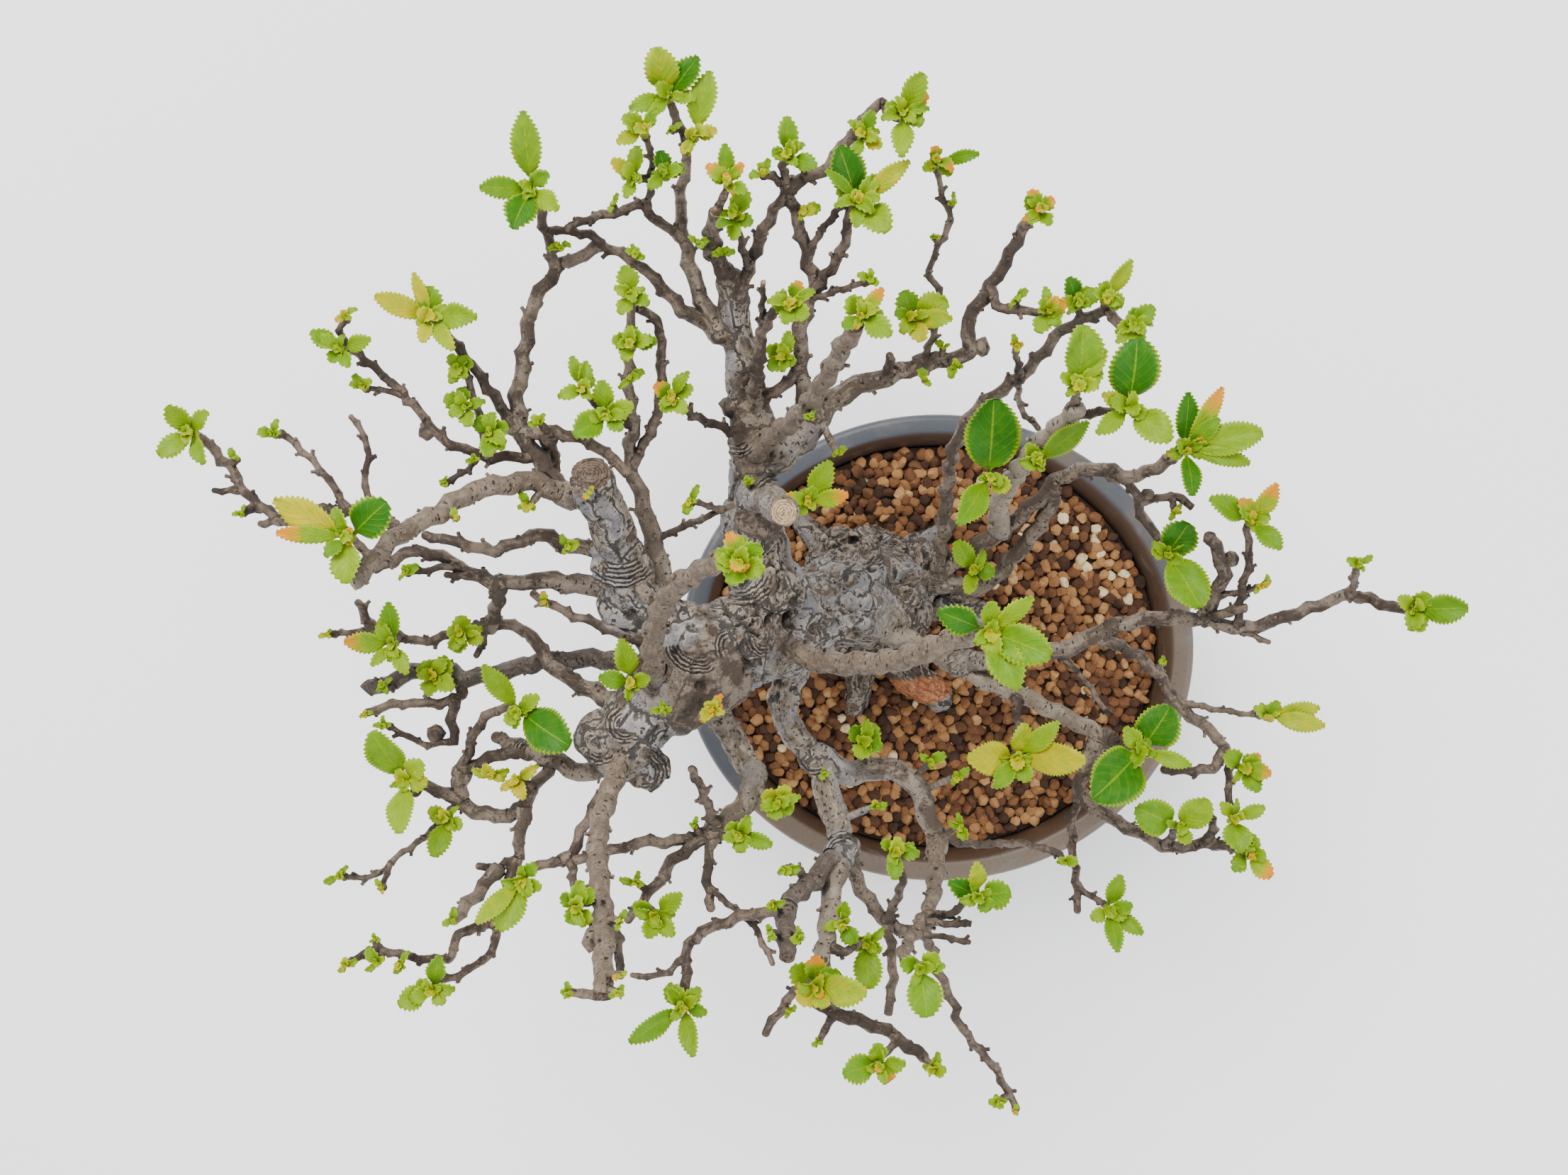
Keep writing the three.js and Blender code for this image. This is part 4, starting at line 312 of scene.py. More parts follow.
# Healed lumps: traced centre, height and diameter.
KNOBS = [
    [1245, 845, 90, 42], [1190, 805, 88, 34], [1290, 802, 82, 26], [1160, 870, 118, 30],
    [1085, 832, 176, 26], [1030, 905, 187, 27], [970, 905, 192, 26], [900, 1020, 198, 23],
    [850, 1040, 194, 19], [915, 1085, 190, 15], [885, 850, 198, 20], [870, 800, 206, 17],
    [1030, 575, 198, 7], [1115, 262, 236, 6], [728, 602, 217, 7.5], [777, 655, 206, 7],
    [1385, 490, 199, 6], [602, 610, 224, 5], [615, 1035, 171, 6.5], [838, 1325, 268, 7],
    [652, 1088, 175, 7], [1010, 1172, 183, 9], [1190, 1202, 170, 11], [1108, 1290, 215, 7.5],
    [1150, 1070, 155, 13], [1105, 985, 149, 13], [1735, 790, 160, 6], [1618, 698, 147, 5],
    [1525, 1122, 116, 7.5], [1560, 1042, 122, 8], [1700, 874, 143, 6.5], [1300, 515, 196, 8],
    [1130, 618, 192, 11], [745, 1060, 180, 7], [690, 880, 178, 6.5], [705, 824, 196, 7],
    [1655, 985, 122, 6.5],
]

# Each leaf head: name, traced centre, and its leaves, as across,down,width of the traced tip with the
# tint at the end where a leaf isn't plain green.
SPROUTS = [
    ["north_tip", 943, 142, "925,66,46,yellow 986,80,40,deep 888,155,24 983,140,20 920,164,18"],
    ["north_tip_side", 980, 196, "1002,100,38 1012,184,20,yellow 962,218,16,yellow"],
    ["north_bud_tip", 909, 190, "884,164,18 925,160,16 870,202,20,yellow"],
    ["north_left", 897, 252, "862,226,20,yellow 882,280,18 876,250,16"],
    ["north_left_high", 940, 250, "930,212,24,deep 966,236,22,deep 914,266,18"],
    ["north_stub_top", 1028, 262, "1022,202,22 1048,230,16,orange 1004,250,16 1054,272,18"],
    ["north_mid_side", 1036, 308, "1012,320,18 1062,316,20 1036,340,20 1050,288,16"],
    ["north_knuckle", 1112, 225, "1110,164,27 1153,235,24 1088,214,18 1126,198,16"],
    ["north_arch", 1216, 196, "1232,156,20 1244,208,20,yellow 1204,224,18"],
    ["north_arch_tip", 1272, 165, "1303,103,32 1310,134,20,orange 1302,176,26 1272,222,30 1248,148,18"],
    ["north_fan", 1210, 290,
        "1183,206,50,deep 1284,227,26,yellow 1254,326,42 1180,268,22 1164,240,16 1208,322,20 1242,280,22"],
    ["north_pencil", 1116, 432, "1090,422,32 1128,396,22,pink 1138,450,26 1106,458,22"],
    ["north_rise", 1106, 506, "1082,490,24 1112,484,18 1084,522,22 1122,514,16"],
    ["tall_brown_tip", 1214, 450, "1198,418,30 1246,406,20,orange 1258,474,32 1188,462,20"],
    ["tall_yellow", 1286, 452,
        "1274,410,32 1337,424,44,yellow 1344,450,26,yellow 1302,482,26,yellow 1262,440,18"],
    ["northeast_tip", 1464, 300, "1446,278,20 1487,280,20,orange 1482,318,20 1452,316,16"],
    ["northeast_side", 1476, 442, "1504,426,26,orange 1464,470,26 1494,460,20 1468,422,18"],
    ["northeast_thin", 1322, 232, "1382,217,18 1318,206,18,orange 1302,240,16 1342,248,16"],
    ["north_spur", 1140, 710, "1172,650,32 1197,698,24,orange 1150,686,18 1124,726,18"],
    ["north_cross", 950, 562, "923,542,24,orange 978,546,22 934,582,22 968,584,20"],
    ["northwest_top", 752, 270, "738,156,40 676,266,30 724,324,44,deep 788,296,28 774,244,22"],
    ["northwest_left", 612, 452,
        "528,418,30,yellow 604,404,36 583,384,18,yellow 673,447,34 640,494,22,yellow 596,484,20,yellow"],
    ["northwest_low_up", 649, 522, "634,500,18 668,512,18 640,540,16"],
    ["northwest_crook", 660, 575, "626,560,26 662,602,24 650,546,20"],
    ["northwest_mid", 694, 614, "673,588,24 716,598,24 688,645,24 712,634,20"],
    ["northwest_low_tip", 484, 495, "438,467,26 524,478,22 466,512,20 494,518,20"],
    ["west_blunt", 496, 758, "546,708,54,deep 387,705,44,yellow 390,752,24,orange 490,824,42 458,786,22"],
    ["west_far", 276, 612, "224,643,30 236,572,30 294,581,24 288,655,22"],
    ["mid_north_top", 893, 418, "880,374,30 874,444,22 916,430,20"],
    ["mid_north_bud", 892, 488, "863,479,24 927,481,22 880,510,20 902,466,18"],
    ["mid_north_fan", 858, 588, "809,615,38 848,536,28 894,570,24 878,608,22"],
    ["mid_north_spiky", 824, 552, "806,502,18 796,552,18 838,532,16"],
    ["west_low_end", 558, 908, "548,849,28 485,905,28,pink 524,940,16 575,952,22"],
    ["west_low_mid", 655, 893, "650,868,24,pale 682,904,22,pale 645,922,22 630,890,20"],
    ["west_dark", 616, 952, "591,938,28,pale 637,932,26,pale 604,982,28,pale 640,972,26,pale"],
    ["southwest_hood", 733, 1002, "681,938,30 804,1053,60,deep 760,982,22 714,1022,20"],
    ["southwest_left", 574, 1098, "524,1032,48 562,1176,38,pale 596,1074,30,yellow 604,1104,28,yellow"],
    ["southwest_low", 634, 1152, "612,1210,30 604,1142,22,pale 652,1168,20"],
    ["mid_west_pair", 893, 962, "876,901,30,pale 844,955,26 918,956,20"],
    ["close_brown_tip", 1045, 793,
        "1038,755,34 1074,770,32 1078,808,32 1030,826,30 1010,796,28 1047,808,14,orange"],
    ["southwest_inner", 817, 1276, "793,1260,24 837,1253,24 803,1304,24 834,1302,22"],
    ["southwest_pale", 740, 1238, "704,1314,42 671,1303,26,pale 756,1218,20 764,1254,20"],
    ["southwest_end", 612, 1392, "620,1348,26 561,1418,32 588,1384,20 628,1416,20"],
    ["south_end", 965, 1415, "978,1492,26 887,1471,30 938,1393,22 988,1393,22 998,1428,20"],
    ["south_mid", 926, 1288, "893,1275,26 962,1260,26 913,1325,26 952,1320,24"],
    ["southeast_crown", 1150, 1385,
        "1116,1364,34 1150,1347,30,orange 1184,1370,30 1126,1415,34,yellow 1166,1422,30,yellow "
        "1223,1400,42,yellow"],
    ["southeast_far", 1240, 1496, "1188,1515,38 1258,1524,26,pink 1238,1472,26 1278,1500,24"],
    ["southeast_mid", 1188, 1300, "1206,1332,26 1192,1272,20"],
    ["southeast_drop", 1220, 1326, "1226,1396,38 1244,1342,20 1204,1338,18"],
    ["pot_south_leaf", 1378, 1262, "1338,1244,28,deep 1378,1216,24,pale 1426,1257,42 1398,1284,24"],
    ["pot_south_drop", 1298, 1362, "1308,1436,48 1270,1357,24 1324,1346,24"],
    ["south_yellow", 1097, 1131, "1076,1118,24,yellow 1112,1108,24,yellow 1120,1144,24 1088,1156,24"],
    ["south_bend", 1045, 1176, "1090,1192,22 1026,1162,22 1046,1204,22"],
    ["pot_green", 1220, 1044, "1200,1026,26 1236,1022,26 1244,1056,26 1210,1070,26"],
    ["pot_fan", 1432, 1068,
        "1364,1070,46,yellow 1531,1072,44,yellow 1446,1020,30,pale 1494,1018,28 1450,1104,26 1402,1112,26"],
    ["pot_small", 1262, 1198, "1262,1242,22 1298,1205,20 1244,1186,16"],
    ["close_east_tip", 1392, 890, "1322,862,40,deep 1437,974,48 1483,926,54 1458,842,26,pale 1400,848,26"],
    ["east_giant", 1608, 1058, "1651,996,60,deep 1540,1128,76,deep 1681,1080,22 1586,1026,26"],
    ["east_low_pair", 1660, 1165, "1601,1139,50 1704,1127,44 1676,1192,22"],
    ["east_low_tip", 1757, 1205, "1793,1238,28,orange 1766,1176,22 1786,1204,22 1738,1228,20"],
    ["east_down_tip", 1561, 1280, "1581,1234,24 1613,1318,22 1577,1344,24 1538,1296,20,pale 1598,1276,20"],
    ["far_east_tip", 1988, 860, "2072,858,40 2014,836,26 2006,892,26 1972,842,20"],
    ["far_east_rise", 1761, 737, "1707,702,32 1802,682,28,orange 1792,728,20 1807,776,28"],
    ["east_fan_thin", 1784, 1010, "1862,998,28,yellow 1869,1024,26,yellow 1802,988,20"],
    ["east_fan_end", 1749, 1082, "1728,1062,28 1772,1066,24 1776,1118,24 1794,1092,24,pink"],
    ["east_fan_low", 1738, 1152, "1749,1204,38 1784,1138,20 1722,1132,18"],
    ["northeast_giant", 1394, 674, "1402,562,78,deep 1351,741,40 1424,692,26,pale"],
    ["northeast_pale_side", 1462, 652, "1535,595,32 1448,626,20"],
    ["northeast_pale_up", 1519, 547, "1528,458,54 1560,492,24,yellow 1496,528,20"],
    ["northeast_pale_end", 1590, 578, "1604,476,68,deep 1652,623,44 1554,556,22,pale 1546,612,26"],
    ["northeast_spray", 1667, 636,
        "1676,553,30,deep 1724,546,26,orange 1720,590,24 1782,610,44 1764,654,24 1682,700,28,deep"],
    ["northeast_low", 1644, 783, "1677,738,50,deep 1693,858,58 1624,776,22"],
    ["northeast_inner", 1372, 806, "1348,763,28 1404,807,24 1364,838,20"],
    ["north_sweep_high", 1519, 432, "1538,405,20 1507,391,26,deep 1496,424,18"],
    ["north_sweep_mid", 1557, 425, "1597,366,22,pale 1586,428,24 1560,396,16"],
    ["north_sweep_tip", 1594, 462, "1604,434,22 1628,432,26 1608,486,24 1574,484,18"],
]

# Small buds: traced centre, width in the traced view and, where a bud isn't plain green, its tint.
BUDS = [
    [1076, 246, 16], [1132, 300, 18, "pale"], [1345, 518, 14], [1305, 538, 12], [1330, 492, 12],
    [1433, 423, 14], [1343, 288, 12], [1318, 335, 10], [1145, 588, 10], [1181, 640, 10],
    [1227, 396, 15], [1018, 358, 12], [985, 345, 12], [865, 290, 10], [948, 185, 10], [898, 362, 16],
    [790, 350, 14], [490, 448, 14, "orange"], [515, 548, 16], [388, 614, 16], [335, 648, 11],
    [343, 725, 12], [747, 714, 18], [762, 597, 14], [803, 772, 15], [833, 695, 9, "orange"],
    [645, 732, 9, "orange"], [628, 680, 9], [670, 650, 9], [890, 535, 15], [973, 708, 16],
    [573, 808, 15], [543, 966, 15], [545, 1023, 14], [516, 1006, 9, "orange"], [695, 1093, 24, "pale"],
    [733, 1098, 26, "yellow"], [480, 1234, 15], [540, 1252, 9, "orange"], [937, 1002, 16],
    [1004, 1000, 20, "rose"], [803, 1400, 14], [872, 1400, 14], [876, 1376, 9, "orange"],
    [535, 1355, 16], [566, 1357, 15], [490, 1360, 15, "orange"], [530, 1325, 9], [897, 1243, 17],
    [874, 1298, 12], [980, 1165, 10], [1314, 1504, 24, "pink"], [1155, 1470, 10], [1112, 1425, 10],
    [1090, 1274, 14], [1087, 1315, 13], [1130, 1320, 14], [1105, 1226, 15], [1410, 1552, 16],
    [1432, 1568, 9, "orange"], [1500, 1214, 18], [1163, 1090, 9], [1312, 1074, 16], [1348, 1095, 15],
    [1237, 1136, 14], [1355, 1165, 19], [1914, 797, 17], [1775, 828, 15, "orange"], [1656, 722, 14],
    [1433, 490, 13, "orange"], [1640, 935, 10], [1055, 683, 10], [464, 894, 9, "orange"],
    [640, 1298, 12], [770, 850, 11, "orange"],
]

# Limbs that are fused with the trunk, where root_ stands for all the roots, and the bough that the
# others belong to, with all that grows from them.
THICK = ("trunk", "root_", "sw_lump", "north", "nw_cut", "south", "se_main")
BOUGHS = {
    "north": "north", "nw_cut": "northwest", "sw_lump": "southwest", "mid_west": "southwest",
    "south": "south", "se_main": "south", "east": "east", "northeast": "east", "close_east": "east",
}

# Healed lumps wider than the first are fused with the trunk, and the bark round those wider than the
# second is old and grey.
THICK_KNOB = 10
GREY_KNOB = 14

# How dark or pale a limb's bark is, from -1 to 1, how smooth and brown, from 0 to 1, and for one
# limb how far along the brown starts.
LIMB_TONES = {
    "close_east": (-0.1, 1, 30), "close_brown": (-0.25, 1), "tall_brown": (-0.3, 1), "sw_tall": (-0.15, 0.9),
    "pot_south_end": (-0.2, 0.9), "west_dark": (-0.6, 0.2), "se_dark": (-0.5, 0.5), "east": (0.3, 0),
    "se_main": (0.3, 0), "se_light": (0.3, 0.1), "northeast_pale": (0.4, 0.5), "south": (0.2, 0),
    "northeast": (0.0, 0), "mid_north": (0.2, 0.1), "north_cut": (-0.1, 0.5), "west_blunt": (0, 0.7),
}

# Sawn or blunt ends, and how pale the wood is that they show.
CUT_ENDS = {
    "north_cut": 1.0, "nw_cut": 0.45, "west_blunt": 0.7, "west_dark": 0.4, "sw_tall": 0.4,
    "tall_brown": 0.4, "se_dark": 0.4, "se_right_down": 0.5, "n_stub": 0.6, "n_pencil": 0.7,
    "nw_right_stub": 0.3, "pot_south_cut": 0.7, "far_east_cut": 0.5, "west_hook": 0.3,
    "far_east_knob": 0.4, "northeast_stub": 0.4, "northeast_twin": 0.5,
}

# Ribs of old wood that stand out of the trunk: their diameter and the traced line that they follow.
RIBS = [
    [5.4, "1152,865 1184,874 1221,884 1264,893 1299,900"],
    [6.4, "1210,843 1232,856 1275,878"],
    [5, "1258,841 1275,850 1297,832 1314,813"],
    [2.8, "1282,878 1297,861 1327,821"],
    [3.8, "1162,808 1152,839 1143,860"],
    [3.4, "1290,776 1306,782 1321,802 1336,821 1349,841"],
    [3.2, "1145,787 1178,767 1210,754 1232,756 1254,761 1275,772"],
    [3.8, "1191,795 1214,774 1232,761"],
    [5.2, "1232,821 1245,793 1243,774"],
    [3.4, "1136,776 1137,804 1143,821 1134,865"],
]

# Rings of wrinkled bark: traced centre and height, inner and outer reach in the traced view, and
# the middle and half width of the side that they lie on, in degrees from the right, upwards.
WRINKLES = [
    [985, 905, 195, 24, 48, 240, 60], [1036, 913, 195, 15, 28, 165, 50], [1079, 900, 190, 12, 28, 230, 60],
    [882, 1022, 200, 11, 28, 200, 90], [908, 1090, 192, 16, 42, 345, 85], [1045, 803, 188, 28, 54, 300, 42],
    [875, 762, 205, 34, 68, 272, 40], [1037, 612, 198, 16, 36, 262, 55], [1095, 705, 175, 22, 36, 95, 50],
    [1188, 1202, 172, 14, 30, 110, 60], [1106, 1292, 213, 12, 26, 60, 80], [955, 860, 195, 14, 32, 120, 50],
    [1236, 838, 100, 28, 42, 205, 40], [845, 1052, 190, 12, 28, 280, 50], [1150, 1068, 158, 14, 30, 240, 60],
    [745, 1060, 180, 10, 22, 90, 70],
]

# Hollows of the old wood: traced place, reach in the traced view, and depth.
PITS = [
    [1134, 838, 7, 3], [1123, 851, 8, 3], [1184, 780, 11, 3], [1197, 823, 8, 2.5], [1272, 812, 12, 3.5],
    [1309, 849, 9, 3.5], [1319, 838, 8, 3.5], [1298, 862, 8, 3], [1343, 826, 8, 3.5], [1354, 842, 8, 3.5],
    [1151, 888, 9, 3], [1244, 916, 13, 3.5], [1188, 918, 9, 3], [1210, 924, 9, 3], [1230, 800, 7, 2.5],
    [1117, 877, 12, 4], [1125, 900, 10, 3.5], [950, 915, 7, 2.5], [989, 968, 9, 3], [1058, 945, 8, 3],
    [920, 975, 9, 2.5], [890, 870, 8, 2.5], [1165, 742, 8, 2.5], [1262, 872, 8, 2], [1207, 765, 7, 2],
]

# A bulge at soil level where the old bark has peeled off: traced place, height and reach in mm.
PEELED_PLACE = (1292, 972, 66)
PEELED_REACH = 17

# Tone from deep green at 0 to yellow at 1, and how strongly the tips are flushed.
TINTS = {
    None: (0.57, 0), "deep": (0.08, 0), "yellow": (0.92, 0.15), "pale": (0.8, 0), "orange": (0.75, 1),
    "pink": (0.6, 0.75), "rose": (0.85, 1.3),
}


def read_points(line):
    """The points of a table's line: numbers, and at the end a tint where there is one."""
    rows = [point.split(",") for point in line.split()]
    return [[part if part.isalpha() else float(part) for part in row] for row in rows]


def spread(seed, salt):
    """A repeatable number from 0 to 1 for a pair of numbers."""
    value = math.sin(seed * 12.9898 + salt * 78.233) * 43758.5453
    return value - math.floor(value)


def place(across, down, height):
    """The point of the tree that the traced view shows there, at a height."""
    scale = (VIEW_HEIGHT - height) / VIEW_FOCAL
    return Vector(((across - VIEW_ACROSS) * scale, (VIEW_DOWN - down) * scale, height))


def traced(point):
    """Where the traced view shows a point."""
    scale = (VIEW_HEIGHT - point.z) / VIEW_FOCAL
    return Vector((VIEW_ACROSS + point.x / scale, VIEW_DOWN - point.y / scale))


def view_shift():
    """From the traced view's frame to the model's, in millimetres."""
    low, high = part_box("pot")
    centre = (low + high) * 500
    shift = centre - place(POT_ACROSS, POT_DOWN, POT_HEIGHT)
    shift.z = 0
    return shift


SHIFT = view_shift()


def to_model(point):
    """A point of the traced view's frame, in the model's metres."""
    return (point + SHIFT) / 1000


def mix(first, second, share):
    return first + (second - first) * share


def clamp(value, low=0.0, high=1.0):
    return max(low, min(high, value))


# Lines of the limbs


class Limb:
    """A limb's smoothed line with its radii, and the bud scars along it.

    Its length up to sunk lies inside the limb that it grows from.
    """

    def __init__(self, name, number, diameters, points, sunk, bough):
        self.name = name
        self.number = number
        self.sunk = sunk
        self.bough = bough
        self.seed = 17.31 * number
        thin = min(diameters) / 2
        self.points = smooth_line(points, clamp(0.38 * thin, 0.8, 1.6))
        self.reach = lengths_along(self.points)
        self.radii = [self.taper(diameters, length) for length in self.reach]
        self.scars = self.bud_scars()
        self.kink()

    def taper(self, diameters, length):
        """Radius at a length along the limb, wider at the collar where it leaves its parent."""
        slot = length / self.reach[-1] * (len(diameters) - 1)
        low = min(int(slot), len(diameters) - 2)
        radius = mix(diameters[low], diameters[low + 1], slot - low) / 2
        collar = max(length - self.sunk, 0) / (1.1 * radius)
        return radius * (1 + 0.3 * math.exp(-collar * collar) * (self.sunk > 0))

    def bud_scars(self):
        """Places of old buds: length along, side, height and length of the swelling."""
        draw = random.Random(self.number)
        scars = []
        length = self.sunk + draw.uniform(1.0, 3.0)
        side = draw.uniform(0, math.tau)
        while length < self.reach[-1] - 1.2:
            radius = self.radii[nearest_index(self.reach, length)]
            height = draw.uniform(0.35, 0.85) * clamp(1.9 / radius, 0.3)
            scars.append((length, side, height, draw.uniform(0.6, 1.1)))
            length += draw.uniform(1.8, 3.8) + 0.7 * radius
            side += 2.4 + draw.uniform(-0.5, 0.5)
        return scars

    def kink(self):
        """Shifts the line a little between its bud scars, so that it turns a corner at each."""
        draw = random.Random(500 + self.number)
        corners = [(self.sunk, Vector())]
        for length, side, _, _ in self.scars:
            size = clamp(0.4 * self.radii[nearest_index(self.reach, length)], 0.3, 0.75)
            corners.append((length, size * Vector((math.cos(side), math.sin(side), draw.uniform(-0.5, 0.5)))))
        corners.append((self.reach[-1], Vector()))
        at = 0
        for i, length in enumerate(self.reach):
            while at < len(corners) - 2 and length > corners[at + 1][0]:
                at += 1
            (low, before), (high, after) = corners[at:at + 2]
            if length > low:
                self.points[i] = self.points[i] + before.lerp(after, clamp((length - low) / (high - low)))


def smooth_line(points, step):
    """Points about a step apart on a smooth curve through the given ones."""
    if len(points) == 2:
        points = [points[0], (points[0] + points[1]) / 2, points[1]]
    padded = [points[0] * 2 - points[1], *points, points[-1] * 2 - points[-2]]
    fine = []
    for i in range(1, len(padded) - 2):
        before, start, end, after = padded[i - 1:i + 3]
        count = max(round((end - start).length / step), 2)
        for k in range(count):
            t = k / count
            fine.append(0.5 * (2 * start + (end - before) * t
                               + (2 * before - 5 * start + 4 * end - after) * t * t
                               + (3 * start - 3 * end + after - before) * t ** 3))
    fine.append(points[-1])
    return fine


def lengths_along(points):
    """How far along the line each of its points lies."""
    reach = [0.0]
    for i in range(1, len(points)):
        reach.append(reach[-1] + (points[i] - points[i - 1]).length)
    return reach


def nearest_index(values, value):
    return min(range(len(values)), key=lambda i: abs(values[i] - value))


def nearest_on_line(points, across, down):
    """The point of a line that the traced view shows nearest to a traced point."""
    target = Vector((across, down))
    best = None
    for i in range(len(points) - 1):
        start = traced(points[i])
        along = traced(points[i + 1]) - start
        share = clamp((target - start).dot(along) / max(along.length_squared, 1e-9))
        distance = (start + along * share - target).length
        if best is None or distance < best[0]:
            best = (distance, i, share, points[i].lerp(points[i + 1], share))
    return best


def fill_heights(points, start):
    """Heights between the traced ones follow the length of the line."""
    heights = [point[2] if len(point) > 2 else None for point in points]
    heights[0] = start
    known = 0
    for i in range(1, len(points)):
        if heights[i] is None:
            continue
        reach = [0.0]
        for j in range(known + 1, i + 1):
            step = math.dist(points[j][:2], points[j - 1][:2])
            reach.append(reach[-1] + step)
        for j in range(known + 1, i):
            heights[j] = mix(heights[known], heights[i], reach[j - known] / reach[-1])
        known = i
    return heights


def grow_limbs():
    """The limbs by name, each started on its parent's middle line."""
    limbs = {}
    boughs = {}
    for number, (name, parent, diameters, line) in enumerate(LIMBS):
        points = read_points(line)
        boughs[name] = BOUGHS.get(name, boughs.get(parent, "trunk"))
        sunk = 0.0
        if parent is None:
            start = place(*points[0])
        else:
            stem = limbs[parent]
            _, index, _, start = nearest_on_line(stem.points, points[0][0], points[0][1])
            sunk = stem.radii[index]
        heights = fill_heights(points, start.z)
        places = [place(*point[:2], height) for point, height in zip(points, heights)]
        places[0] = start
        limbs[name] = Limb(name, number, diameters, places, sunk, boughs[name])
    return limbs


# Meshes of the wood


# Rings that close the end of a limb, as rise and width in radii, and the rise of the middle point.
SAWN_END = ([(0.1, 0.97), (0.12, 0.88), (0.02, 0.8), (0.04, 0.4)], 0.04)
ROUND_END = ([(0.35, 0.9), (0.62, 0.68), (0.8, 0.36)], 0.88)
FACET_WIDTH = 1.15

# Only this share of the bud scars carries a spur, and only on limbs up to this radius.
SPUR_SHARE = 0.62
SPUR_LIMB_RADIUS = 4.4


class Shape:
    """Vertices, faces and values per vertex of a mesh in the making."""

    def __init__(self):
        self.points = []
        self.faces = []
        self.values = {}

    def add(self, points, faces, **values):
        start = len(self.points)
        self.points.extend(points)
        self.faces.extend([tuple(start + corner for corner in face) for face in faces])
        for name, value in values.items():
            known = self.values.setdefault(name, [])
            known.extend(value if isinstance(value, list) else [value] * len(points))

    def mesh(self, name):
        made = bpy.data.meshes.new(name)
        made.from_pydata([to_model(point) for point in self.points], [], self.faces)
        for key, value in self.values.items():
            kind = "FLOAT_VECTOR" if isinstance(value[0], tuple) else "FLOAT"
            attribute = made.attributes.new(key, kind, "POINT")
            if kind == "FLOAT":
                attribute.data.foreach_set("value", value)
            else:
                attribute.data.foreach_set("vector", [part for row in value for part in row])
        made.validate()
        return made


def ring_faces(rings, sides):
    """Faces of a closed tube with a middle point at each end."""
    faces = []
    for ring in range(rings - 1):
        for side in range(sides):
            a = ring * sides + side
            b = ring * sides + (side + 1) % sides
            faces.append((a, b, b + sides, a + sides))
    low = rings * sides
    last = (rings - 1) * sides
    for side in range(sides):
        after = (side + 1) % sides
        faces.append((low, after, side))
        faces.append((low + 1, last + side, last + after))
    return faces


def line_frames(points):
    """Directions along a line and across it, which don't twist."""
    frames = []
    across = Vector((0.31, 0.83, 0.47))
    for i, point in enumerate(points):
        ahead = (points[min(i + 1, len(points) - 1)] - points[max(i - 1, 0)]).normalized()
        across = (across - ahead * across.dot(ahead)).normalized()
        frames.append((ahead, across, ahead.cross(across)))
    return frames


def ring_points(centre, frame, radii):
    """Points round a line, one for each radius."""
    _, across, up = frame
    points = []
    for side, radius in enumerate(radii):
        turn = math.tau * side / len(radii)
        points.append(centre + (across * math.cos(turn) + up * math.sin(turn)) * radius)
    return points


def limb_tube(limb):
    """A limb's closed tube, with swellings at the bud scars and a rounded or sawn end."""
    sides = int(clamp(round(math.tau * max(limb.radii) / FACET_WIDTH), 8, 30))
    frames = line_frames(limb.points)
    points = []
    for i, centre in enumerate(limb.points):
        points += ring_points(centre, frames[i], ring_radii(limb, i, sides))
    end = limb.points[-1]
    last = ring_radii(limb, len(limb.points) - 1, sides)
    ahead = frames[-1][0]
    radius = limb.radii[-1]
    rings, cap = SAWN_END if limb.name in CUT_ENDS else ROUND_END
    for rise, wide in rings:
        points += ring_points(end + ahead * rise * radius, frames[-1], [value * wide for value in last])
    points += [limb.points[0].copy(), end + ahead * cap * radius]
    return points, ring_faces(len(limb.points) + len(rings), sides)


def ring_radii(limb, index, sides):
    """Radii round a limb at one of its points, with the bud scars near it."""
    length = limb.reach[index]
    radius = limb.radii[index]
    near = [scar for scar in limb.scars if abs(scar[0] - length) < 3]
    radii = []
    for side in range(sides):
        turn = math.tau * side / sides
        round_place = Vector((length / 6 + limb.seed, 1.2 * math.cos(turn), 1.2 * math.sin(turn)))
        value = radius * (1 + 0.1 * noise.noise(round_place))
        across = math.cos(turn) * radius / 2.5
        up = math.sin(turn) * radius / 2.5
        value += 0.1 * noise.noise(Vector((length / 1.3 + limb.seed, across, up)))
        for scar, facing, height, long in near:
            gap = length - scar
            slope = gap / long if gap < 0 else gap / (0.5 * long)
            apart = (turn - facing + math.pi) % math.tau - math.pi
            value += height * math.exp(-slope * slope) * (0.35 + math.exp(-(apart / 0.8) ** 2))
        radii.append(value)
    return radii


def spur_tube(low, top, wide, narrow, sides=8, rings=6):
    """A short scaly stalk between two points."""
    line = [low.lerp(top, i / (rings - 1)) for i in range(rings)]
    frames = line_frames(line)
    points = []
    for i, centre in enumerate(line):
        radius = mix(wide, narrow, i / (rings - 1)) * (1.12 if i % 2 else 0.94)
        points += ring_points(centre, frames[i], [radius] * sides)
    points += [low.copy(), top + frames[-1][0] * 0.3 * narrow]
    return points, ring_faces(rings, sides)


def ball(level, radius):
    """Points and faces of a ball, with finer faces at a higher level."""
    form = bmesh.new()
    bmesh.ops.create_icosphere(form, subdivisions=level, radius=radius)
    points = [vertex.co.copy() for vertex in form.verts]
    faces = [tuple(vertex.index for vertex in face.verts) for face in form.faces]
    form.free()
    return points, faces


def knob_ball(row, level=3):
    """A healed lump, rounder and finer than in the solids."""
    across, down, height, diameter = row
    centre = place(across, down, height)
    uneven = 0.16 if diameter > 12 else 0.4
    points = []
    round_points, faces = ball(level, diameter / 2)
    for point in round_points:
        lump = 1 + uneven * noise.noise(point.normalized() * 1.6 + centre / 9)
        points.append(centre + Vector((point.x, point.y, point.z * 0.82)) * lump)
    return points, faces


